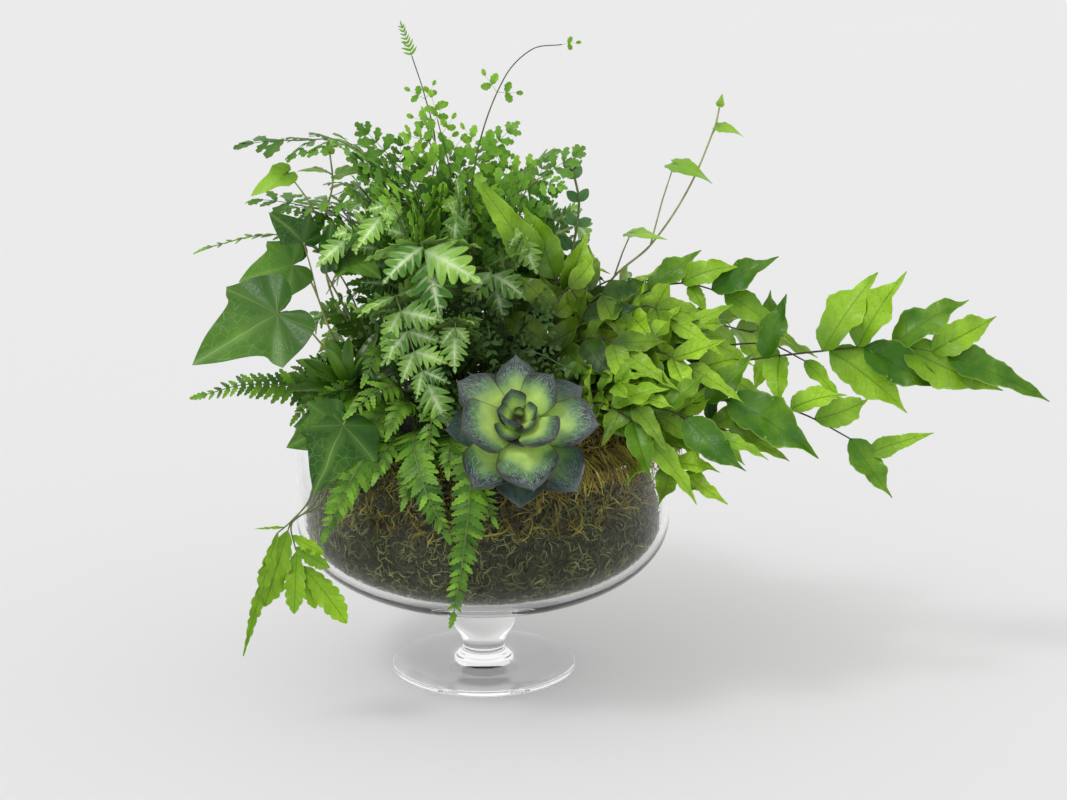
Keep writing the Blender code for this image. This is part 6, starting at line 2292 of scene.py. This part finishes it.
@dataclass
class Ivy(LeafyPlant):
    """Trailing ivy with lobed leaves on pale stalks."""

    slot: str = "ivy_leaf"
    leaf: LobedBlade = IVY_BLADE
    finish: LeafFinish = LeafFinish("ivy_leaf_dark", light=(0.120, 0.290, 0.020),
                                    dark=(0.014, 0.075, 0.003), vein=(0.300, 0.500, 0.110),
                                    edge=(0.2, 0.4, 0.1), veins=Veins.FIVE, rows=5, vein_share=0.62,
                                    edge_share=0.0, roughness=0.34)
    stem: StemFinish = PALE_STEM
    root_radius: float = 0.9
    tip_radius: float = 0.6
    seed: int = 7

    def fronds(self) -> list[Frond]:
        """Returns the stems with grown leaves that have CAD nodes."""
        left = (-0.3, -0.8, 0.5)
        return [
            Frond((-70, -14), ((-98, -38, 232), (-118, -60, 262), (-127, -71, 264)), left,
                  tip=Aim(1.0, (-180, -85, 232), None, left), shift=(-2.8, 2.1, -1.0),
                  name="ivy_stem_left_1"),
            Frond((-76, -2), ((-100, -14, 240), (-112, -18, 274), (-122, -21, 284)), UP_FRONT,
                  tip=Aim(1.0, (-156, -34, 276), None, UP_FRONT),
                  aims=(Aim((-104, -15, 260), (-138, -8, 316), (-116, -8, 296)),), name="ivy_stem_left_2"),
            Frond((-60, 18), ((-92, 8, 250), (-104, -8, 282), (-100, -12, 290)), UPWARD,
                  tip=Aim(1.0, (-76, -24, 306), None, UP_FRONT),
                  aims=(Aim((-98, 2, 268), (-64, -30, 280), (-88, -14, 288), UP_FRONT),),
                  name="ivy_stem_left_3"),
            Frond((-58, -30), ((-74, -56, 208), (-82, -84, 206), (-86, -98, 198)), FRONT,
                  tip=Aim(1.0, (-102, -130, 164), None, FRONT),
                  aims=(Aim((-84, -92, 202), (-122, -112, 188), (-90, -96, 198), FRONT),),
                  name="ivy_stem_left_5"),
            Frond((-40, 62), ((-60, 108, 200), (-70, 134, 176), (-76, 142, 140), (-70, 144, 104)), BACK,
                  Row(3, 0.48, 0.92, 34, (70, 50), 0.8), 28, name="ivy_stem_back")]


@dataclass
class YoungIvy(Ivy):
    """Ivy shoots with small bright leaves that stand above the rest."""

    leaf: LobedBlade = YOUNG_IVY_BLADE
    finish: LeafFinish = LeafFinish("ivy_leaf_young", light=(0.335, 0.600, 0.040),
                                    dark=(0.170, 0.380, 0.015), vein=(0.450, 0.640, 0.160),
                                    edge=(0.4, 0.6, 0.1), veins=Veins.FIVE, rows=5, vein_share=0.4,
                                    edge_share=0.0, roughness=0.38)
    seed: int = 8

    def fronds(self) -> list[Frond]:
        """Returns the shoots that have CAD nodes."""
        return [
            Frond((-72, 14), ((-102, 20, 260), (-105, 20, 300), (-98, 14, 330), (-99, 9, 352)), FRONT, tip=10,
                  aims=(Aim((-105, 20, 300), (-150, -8, 328), (-126, 2, 340), UP_FRONT),
                        Aim((-98, 14, 332), (-70, 4, 342), (-94, 11, 338), UPWARD),
                        Aim((-99, 13, 336), (-120, 4, 342), (-103, 10, 340), UPWARD)),
                  name="ivy_stem_left_4"),
            Frond((46, 28), ((68, 40, 232), (88, 40, 262), (112, 38, 284), (136, 34, 322), (153, 30, 365),
                             (156, 28, 380)), FRONT, tip=8,
                  aims=(Aim((80, 40, 250), (64, 28, 272), (78, 34, 262), UPWARD),
                        Aim((88, 40, 262), (122, 24, 290), (99, 36, 293), UPWARD),
                        Aim((113, 38, 285), (152, 20, 332), (127, 34, 340), UPWARD),
                        Aim((152, 30, 360), (172, 22, 362), (155, 28, 366), UPWARD)),
                  name="ivy_stem_right")]


@dataclass
class Sedum(LeafyPlant):
    """Upright sprig with plump oval leaves and a bud-like head.

    Attributes:
        head_seed: Seed of the head's leaves.
        head_leaves: Number of them.
        head_turn: Turn from one to the next in radians.
    """

    slot: str = "sedum_leaf"
    leaf: Blade = Blade(((0, 0.05), (0.2, 0.24), (0.55, 0.32), (0.85, 0.18), (1.0, 0.02)), rows=10,
                        columns=4, thickness=0.10, curl=20, trough=0.15, ragged=0.6)
    finish: LeafFinish = LeafFinish("sedum_leaflet", light=(0.150, 0.340, 0.120),
                                    dark=(0.050, 0.160, 0.040), vein=(0.200, 0.380, 0.140),
                                    edge=(0.300, 0.200, 0.120), veins=Veins.NONE, rows=4, vein_share=0.2,
                                    edge_share=0.4, roughness=0.45)
    stem: StemFinish = GREEN_STEM
    root_radius: float = 1.0
    tip_radius: float = 0.8
    seed: int = 9
    head_seed: int = 93
    head_leaves: int = 16
    head_turn: float = 2.4

    def head(self, top: Pose) -> list[Shape]:
        """Returns the small leaves of its head, which close up towards the middle."""
        rng = np.random.default_rng(self.head_seed)
        shapes = []
        for k in range(self.head_leaves):
            turn = Matrix.Rotation(self.head_turn * k, 3, top.ahead)
            spread = 75 - 3.6 * k
            pose = Pose(top.origin, top.ahead, turn @ top.normal).turned(0, -spread)
            flipped = Pose(pose.origin + top.ahead * 0.25 * k * MM, pose.ahead, -pose.normal)
            size = (9.5 - 0.28 * k) * MM
            shapes.append(self.leaf.shape(rng).moved(flipped.matrix(size)).with_tone(0.2 + 0.05 * k))
        return shapes

    def build_sprig(self, nursery: Nursery) -> None:
        """Makes the sprig with its head."""
        sprig = Frond((40, 2), ((58, 24, 275), (64, 30, 313), (60, 30, 336)), FRONT,
                      Row(4, 0.70, 0.97, 12, (60, 35), 0.8), 8, name="sedum_stem")
        top = Path(sprig.root, sprig.through, sprig.facing).pose(1.0)
        shape = Shape.joined([self.shape(nursery, sprig, 0), *self.head(top)])
        finish_piece("fine_sedum_stem", shape, self.materials, ["sedum_stem"])


@dataclass
class BroadLeaf(LeafyPlant):
    """Plain upright leaves that stand behind the ferns."""

    slot: str = "broad_leaf"
    leaf: Blade = LANCE_BLADE
    finish: LeafFinish = LeafFinish("broad_leaf_green", light=(0.170, 0.350, 0.030),
                                    dark=(0.025, 0.100, 0.004), vein=(0.230, 0.380, 0.080),
                                    edge=(0.240, 0.420, 0.060), veins=Veins.SIDE, rows=14, vein_share=0.4,
                                    edge_share=0.3, roughness=0.38)
    stem: StemFinish = GREEN_STEM
    root_radius: float = 1.1
    tip_radius: float = 0.9
    seed: int = 10

    def fronds(self) -> list[Frond]:
        """Returns the leaves that have CAD nodes."""
        made = [
            Frond((-4, 46), ((-4, 58, 240), (-4, 68, 262)), FRONT, tip=60.0, shift=(-6.5, 2.6, -1.5),
                  slip=(-3.2, -1.4, 0)),
            Frond((-20, 36), ((-28, 52, 240), (-31, 60, 284)), FRONT, tip=36.0),
            Frond((20, 18), ((30, 26, 240), (34, 30, 262)), FRONT, tip=60.0)]
        return numbered("broad_leaf_", made, digits=1)


@dataclass
class Rosette:
    """Fleshy leaves about an axis, on a short stem that stands in the soil.

    Attributes:
        centre: Middle of the rosette in mm.
        axis: The way that it faces.
        seed: Seed of its leaves.
    """

    centre: Point
    axis: Point
    seed: int

    def __post_init__(self) -> None:
        """Works out the rosette's middle, its way and its place."""
        self.middle = Vector(self.centre) * MM
        self.ahead = Vector(self.axis).normalized()
        self.place = Matrix.Translation(self.middle) @ UP.rotation_difference(self.ahead).to_matrix().to_4x4()

    def foot(self, x: float, y: float) -> Vector:
        """Returns where its stem starts, a little below the soil's top, over a spot in mm."""
        foot = Vector((x, y, 0)) * MM
        foot.z = soil_height(foot.length) - STALK_SINK
        return foot

    def finished(self, name: str, shapes: Sequence[Shape], material: bpy.types.Material, slot: str,
                 node: str) -> None:
        """Adds the rosette to the scene.

        Args:
            name: The piece's name.
            shapes: Its leaves and its stem.
            material: Its material.
            slot: Its material slot's name; not used.
            node: The CAD node that it replaces.
        """
        finish_piece(name, Shape.joined(shapes), [material], [node], 60)


def stalk(line: Sequence[Vector], radii: Sequence[float], sides: int) -> Shape:
    """Returns a rosette's stem along a line of points, with its radii in mm."""
    return swept(np.array([tuple(point) for point in line]), np.array(radii) * MM, sides)


@dataclass
class Echeveria(Rosette):
    """Rosette of fleshy grey-green leaves that faces the front.

    Attributes:
        finish: Its material.
        blade: Shape of its leaves.
        tips: For each leaf, where its tip shows across and up from the middle in mm, its tilt in
            degrees, the height of its base in mm, its relative width and its lightness.
    """

    centre: Point = (24, -105, 201)
    axis: Point = (0.02, -0.80, 0.60)
    seed: int = 31
    finish: EcheveriaFinish = EcheveriaFinish()
    blade: FleshyBlade = FleshyBlade(((0, 0.11), (0.15, 0.17), (0.40, 0.255), (0.62, 0.305), (0.76, 0.265),
                                      (0.86, 0.165), (0.92, 0.07), (0.96, 0.02), (1.0, 0.003)))
    tips: tuple[tuple[float, float, float, float, float, float], ...] = (
        (42, 24, 4, -2, 0.95, 0.10), (40, -42, 3, -2, 1.0, 0.20), (0, -54, 2, -3, 0.95, 0.00),
        (-47, -5, 4, -2, 0.95, 0.05), (-31, 32, 5, -2, 0.90, 0.15),
        (-1, 44, 16, 0, 1.0, 0.60), (52, 0, 15, 1, 1.05, 0.95), (-31, -48, 10, 0, 0.95, 0.90),
        (-40, 25, 18, 0, 1.05, 0.80),
        (22, 32, 30, 2, 1.10, 0.85), (13, -48, 17, 3, 1.05, 1.00), (-36, -3, 30, 3, 1.25, 0.95),
        (-5, 22, 46, 4, 1.15, 0.45), (22, -8, 38, 4, 1.0, 0.80), (3, -15, 24, 4, 1.2, 0.85),
        (12, 11, 48, 5, 1.1, 0.50), (-13, 9, 48, 5, 1.1, 0.50), (-11, -8, 34, 5, 1.1, 0.75),
        (8, -2, 46, 6, 1.1, 0.45), (1, 11, 58, 6, 1.1, 0.40), (-6, 2, 58, 6, 1.1, 0.40))

    def aimed(self, across: float, up: float, tilt: float, rise: float) -> tuple[float, float]:
        """Finds the leaf whose tip shows at a place when the rosette is seen from in front.

        Args:
            across: The tip's place to the right of the middle in mm.
            up: The tip's place above the middle in mm.
            tilt: The leaf's tilt in degrees.
            rise: Height of its base in mm.

        Returns:
            Its turn about the axis in radians and its length in mm.
        """
        steep = math.radians(min(tilt - 0.5 * self.blade.curl, 74.0))
        length = math.hypot(across, up)
        turn = 0.0
        for _ in range(30):
            over = 0.36 * (rise + length * math.sin(steep))
            flat_up = (up - over) / 0.93
            turn = math.atan2(flat_up, across)
            wanted = (math.hypot(across, flat_up) - 2.5) / math.cos(steep)
            length += 0.4 * (min(max(wanted, 8.0), 62.0) - length)
        return turn, length

    def build(self) -> None:
        """Makes the rosette on its stem."""
        rng = np.random.default_rng(self.seed)
        shapes = []
        for across, up, tilt, rise, width, tone in self.tips:
            swing, reach = self.aimed(across, up, tilt, rise)
            outwards = Vector((math.cos(swing), math.sin(swing), 0))
            pose = Pose(UP * rise * MM + outwards * 2.5 * MM, outwards, UP)
            pose = pose.turned(0, tilt, rng.uniform(-5, 5))
            leaf = self.blade.shape(rng)
            leaf.points[:, 0] *= width
            shapes.append(leaf.moved(self.place @ pose.matrix(reach * MM)).with_tone(tone))
        foot = self.foot(22, -66)
        back = self.middle - self.ahead * 16 * MM
        line = (foot, foot + UP * 14 * MM, (foot + UP * 22 * MM + back) / 2, back,
                self.middle + self.ahead * 4 * MM)
        shapes.append(stalk(line, (6.5, 6.5, 7, 8, 4), 12).with_tone(0.1))
        self.finished("echeveria_leaves", shapes, self.finish.material(), "echeveria_leaf",
                      "echeveria_rosette")


@dataclass
class GlossyRosette(Rosette):
    """Rosette of narrow shining strap leaves at the left.

    Attributes:
        leaves: Number of leaves.
        blade: Shape of its leaves.
        finish: Its material.
    """

    centre: Point = (-84, -46, 206)
    axis: Point = (-0.25, -0.45, 0.86)
    seed: int = 32
    leaves: int = 15
    blade: FleshyBlade = FleshyBlade(((0, 0.10), (0.2, 0.12), (0.5, 0.135), (0.8, 0.10), (0.93, 0.05),
                                      (1.0, 0.004)),
                                     plump=0.05, cup=0.5, curl=18, rows=16, facets=8)
    finish: LeafFinish = LeafFinish("rosette_strap", light=(0.130, 0.300, 0.020),
                                    dark=(0.020, 0.080, 0.004), vein=(0.200, 0.400, 0.080),
                                    edge=(0.180, 0.330, 0.040), veins=Veins.NONE, rows=4, vein_share=0.5,
                                    edge_share=0.4, roughness=0.22)

    def build(self) -> None:
        """Makes the rosette on its stem."""
        rng = np.random.default_rng(self.seed)
        shapes = []
        for number in range(self.leaves):
            turn = GOLDEN_ANGLE * number
            outwards = Vector((math.cos(turn), math.sin(turn), 0))
            pose = Pose(outwards * 2 * MM + UP * 0.3 * number * MM, outwards, UP).turned(0, 22 + 3.6 * number)
            leaf = self.blade.shape(rng).moved(self.place @ pose.matrix((44 - 1.1 * number) * MM))
            shapes.append(leaf.with_tone(rng.uniform(0.1, 0.9)))
        foot = self.foot(-70, -32)
        line = (foot, foot + UP * 16 * MM, self.middle - self.ahead * 6 * MM,
                self.middle + self.ahead * 3 * MM)
        shapes.append(stalk(line, (3.5, 3.5, 4, 2), 10))
        self.finished("strap_leaves", shapes, self.finish.material(), "rosette_leaf", "glossy_rosette")


# Foliage that fills in between the others

@dataclass(frozen=True)
class Thicket:
    """Arching fronds of one kind that fill in between the main ones.

    Attributes:
        name: The piece's name.
        plant: The kind of plant.
        facing: The way that its fronds face.
        row: The leaflets of each frond.
        tip: Length of the leaflet at a frond's end in mm.
        roots: Places in the soil in mm, which the fronds take in turn.
        ends: Where each frond's stem ends in mm.
        rise: Height of a frond's arch in mm.
    """

    name: str
    plant: LeafyPlant
    facing: Point
    row: Row
    tip: float
    roots: tuple[Spot, ...]
    ends: tuple[Point, ...]
    rise: float = 14.0

    def arch(self, root: Spot, end: Point) -> Frond:
        """Returns a frond that leaves its root and arches over to its end."""
        ground = soil_height(Vector((*root, 0)).length * MM) / MM
        middle = (root[0] + 0.35 * (end[0] - root[0]), root[1] + 0.35 * (end[1] - root[1]),
                  ground + 0.70 * (end[2] - ground) + 0.6 * self.rise)
        near = (root[0] + 0.75 * (end[0] - root[0]), root[1] + 0.75 * (end[1] - root[1]),
                end[2] + 0.5 * self.rise)
        return Frond(root, (middle, near, end), self.facing, self.row, self.tip)

    def build(self, nursery: Nursery) -> None:
        """Makes the piece."""
        fronds = [self.arch(root, end) for root, end in zip(cycle(self.roots), self.ends)]
        self.plant.build_group(nursery, self.name, numbered(f"{self.name}_", fronds))


def thickets() -> list[Thicket]:
    """Returns the foliage that closes the gaps on all sides."""
    shaded = LeafFinish("shaded_holly_leaflet", light=(0.460, 0.790, 0.038), dark=(0.012, 0.058, 0.002),
                        vein=(0.050, 0.130, 0.006), edge=(0.340, 0.560, 0.060), veins=Veins.SIDE, rows=8,
                        vein_share=0.42, edge_share=0.30, roughness=0.38)
    holly = HollyFern(seed=41, leaf=replace(HOLLY_BLADE, rows=14), finish=shaded)
    deep = LeafFinish("shaded_leaflet", light=(0.110, 0.280, 0.022), dark=(0.018, 0.080, 0.004),
                      vein=(0.140, 0.260, 0.060), edge=(0.120, 0.240, 0.040), veins=Veins.SIDE, rows=4,
                      vein_share=0.3, edge_share=0.3, roughness=0.5)
    dark = TallFern(seed=42, leaflet=compound(SMALL_LEAF_BLADE, 3, 0.44), finish=deep)
    airy = TallFern(seed=43, leaflet=compound(SMALL_LOBED_BLADE, 2, 0.62, (64, 48), 0.40))
    silver = SilverFern(seed=44)
    low = SmallFern(seed=45)
    low_row = Row(16, 0.38, 0.97, 18, (68, 42), 0.35, 0.2)
    return [
        Thicket("holly_fill_right", holly, UP_FRONT, Row(4, 0.40, 0.92, 45, (68, 42), 0.80), 44,
                ((44, -38), (52, -20), (36, -30), (58, 0), (30, -14), (46, 18)),
                ((112, -66, 196), (132, -58, 226), (152, -38, 214), (122, -30, 250), (92, -62, 236),
                 (98, -92, 208), (158, -70, 186), (84, -28, 258), (62, -22, 262), (140, -16, 236),
                 (100, 22, 258), (128, -96, 166))),
        Thicket("holly_fill_back", holly, UP_BACK, Row(5, 0.36, 0.92, 38, (65, 40), 0.85), 44,
                ((48, 40), (34, 52), (30, 30), (0, 58), (-24, 54), (-48, 46), (54, 26), (14, 44)),
                ((120, 96, 190), (84, 120, 200), (60, 60, 262), (2, 112, 236), (-44, 118, 214),
                 (-92, 96, 216), (104, 66, 236), (28, 90, 268))),
        Thicket("lace_fill_middle", dark, UP_FRONT, Row(9, 0.30, 0.95, 22, (70, 45), 0.45), 16,
                ((-20, -30), (0, -34), (-34, -20), (14, -26), (-10, -16), (-26, -44), (24, -10), (6, -50)),
                ((-22, -64, 232), (6, -58, 244), (-46, -50, 244), (28, -46, 236), (-6, -40, 262),
                 (-34, -84, 214), (40, -36, 256), (14, -74, 222), (-66, -34, 250), (-14, -88, 206),
                 (54, -60, 226), (-84, -10, 262))),
        Thicket("lace_fill_top", airy, UPWARD, Row(4, 0.60, 0.94, 30, (64, 48), 0.72), 22,
                ((-30, 8), (-16, 20), (-4, 8), (-40, 20), (8, 20), (-24, -4)),
                ((-72, 10, 336), (-42, 22, 356), (-12, 26, 334), (-94, 14, 324), (20, 30, 330),
                 (-56, -8, 318), (0, 44, 322), (-70, 44, 322)), 8),
        Thicket("silver_fill", silver, UP_FRONT, Row(6, 0.56, 0.95, 27, (62, 45), 0.6), 26,
                ((-36, -10), (-44, 0), (-12, 4), (10, -2), (-2, 40), (-40, 34), (26, 34), (-40, -34),
                 (-14, -34), (-22, 46), (8, 56)),
                ((-64, -30, 318), (-88, -20, 300), (-16, -6, 316), (26, -14, 300), (-6, 60, 306),
                 (-70, 78, 268), (60, 44, 300), (-52, -62, 252), (-16, -72, 250), (-40, 104, 262),
                 (12, 112, 288))),
        Thicket("fern_fill_front", low, UP_FRONT, low_row, 11,
                ((-56, -44), (-44, -56), (-30, -60), (-52, -50), (-16, -60), (-64, -30), (-36, -50),
                 (-44, -34), (-24, -42), (-70, -16)),
                ((-100, -84, 190), (-64, -112, 172), (-46, -120, 158), (-86, -104, 168), (-20, -112, 176),
                 (-116, -62, 196), (-56, -96, 196), (-72, -70, 224), (-36, -76, 226), (-128, -30, 206)), 20),
        Thicket("fern_fill_back", low, UP_BACK, low_row, 12,
                ((-72, 24), (-60, 44), (-34, 66), (24, 70), (50, 54), (66, 34), (-16, 62), (36, 48), (74, 12),
                 (-46, 56)),
                ((-128, 40, 186), (-126, 84, 170), (-60, 128, 172), (40, 132, 168), (84, 112, 170),
                 (124, 70, 172), (-30, 124, 196), (64, 96, 210), (134, 30, 182), (-84, 110, 196)), 20),
        Thicket("fern_fill_left", SmallFern(seed=46), (-0.6, -0.3, 0.75),
                Row(11, 0.34, 0.96, 22, (68, 42), 0.4, 0.2), 14,
                ((-62, 4), (-56, 18), (-60, 30), (-46, 40), (-66, -10), (-48, 10)),
                ((-112, 6, 236), (-98, 30, 262), (-120, 44, 228), (-88, 62, 244), (-104, -22, 222),
                 (-84, 6, 286)), 20)]


# Studio

@dataclass
class Studio:
    """Pale floor, soft lights and the camera.

    Attributes:
        reach: Radius of the floor.
        floor_sides: Sides of its rim.
        floor_drop: How far it lies below the foot.
        camera_place: Place of the camera.
        camera_tip: Its turn up from looking straight down, in degrees.
        lens: Its focal length in mm.
        sensor: Width of its sensor in mm.
        low_sky: Light from low down.
        high_sky: Light from overhead.
        finish: The floor's finish.
    """

    reach: float = 14.0
    floor_sides: int = 64
    floor_drop: float = 0.3 * MM
    camera_place: Point = (0.0338, -1.8, 0.691)
    camera_tip: float = 90 - 15.64
    lens: float = 94.9
    sensor: float = 36.0
    low_sky: float = 1.24
    high_sky: float = 0.45
    finish: StudioFinish = StudioFinish()

    def floor(self) -> None:
        """Makes the floor as a wide disc."""
        points = [(self.reach * math.cos(a), self.reach * math.sin(a), -self.floor_drop)
                  for a in np.linspace(0, math.tau, self.floor_sides, endpoint=False)]
        mesh = bpy.data.meshes.new("floor")
        mesh.from_pydata(points, [], [tuple(range(self.floor_sides))])
        mesh.materials.append(self.finish.material())
        floor = bpy.data.objects.new("floor", mesh)
        bpy.context.scene.collection.objects.link(floor)

    def sky(self) -> bpy.types.World:
        """Returns soft light from all sides, stronger from low down than from overhead."""
        world = bpy.data.worlds.new("studio")
        world.use_nodes = True
        board = Board(world.node_tree)
        way = board.out("ShaderNodeTexCoord", output="Generated")
        height = board.out("ShaderNodeSeparateXYZ", {0: way}, "Z")
        backdrop = world.node_tree.nodes["Background"]
        board.feed(backdrop.inputs["Color"], (1, 1, 1, 1))
        board.feed(backdrop.inputs["Strength"], board.between(height, 0.0, 1.0, self.low_sky, self.high_sky))
        return world

    def sun(self, name: str, way: Point, spread: float, strength: float) -> None:
        """Adds a far soft light.

        Args:
            name: The light's name.
            way: Direction from the garden to the light.
            spread: How wide the light is, in degrees.
            strength: Its strength.
        """
        lamp = bpy.data.lights.new(name, "SUN")
        lamp.angle = math.radians(spread)
        lamp.energy = strength
        holder = bpy.data.objects.new(name, lamp)
        holder.rotation_euler = (-Vector(way)).to_track_quat("-Z", "Y").to_euler()
        bpy.context.scene.collection.objects.link(holder)

    def camera(self) -> bpy.types.Object:
        """Returns the camera."""
        camera = bpy.data.cameras.new("camera")
        camera.lens = self.lens
        camera.sensor_width = self.sensor
        holder = bpy.data.objects.new("camera", camera)
        holder.location = self.camera_place
        holder.rotation_euler = (math.radians(self.camera_tip), 0, 0)
        bpy.context.scene.collection.objects.link(holder)
        return holder

    def build(self) -> None:
        """Makes the studio, with light that may pass many layers of glass and leaves."""
        self.floor()
        self.sun("key", (-0.40, -0.40, 1.2), 55, 0.38)
        self.sun("lamp", (-0.55, -0.45, 1.1), 14, 0.70)
        self.sun("back", (0.5, 0.9, 1.3), 60, 0.12)
        scene = bpy.context.scene
        scene.world = self.sky()
        scene.camera = self.camera()
        scene.view_settings.view_transform = "Standard"
        scene.cycles.max_bounces = 32
        scene.cycles.transmission_bounces = 32
        scene.cycles.glossy_bounces = 12
        scene.cycles.diffuse_bounces = 6


def main() -> None:
    """Builds the garden and its studio."""
    logging.basicConfig(level=logging.INFO, format="%(message)s")
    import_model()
    Studio().build()
    nursery = Nursery()
    GlassBowl().build()
    MossLining().build(nursery)
    PottingSoil().build(nursery)
    MossTuft().build(nursery)
    Echeveria().build()
    GlossyRosette().build()
    SilverFern().build_all(nursery)
    TallFern().build_all(nursery)
    for plant in (HollyFern(), SmallFern(), Ivy(), YoungIvy(), BroadLeaf()):
        plant.build(nursery, plant.fronds())
    DroopingFern().build_all(nursery)
    Sedum().build_sprig(nursery)
    for thicket in thickets():
        thicket.build(nursery)
    nursery.clear()


if __name__ == "__main__":
    main()
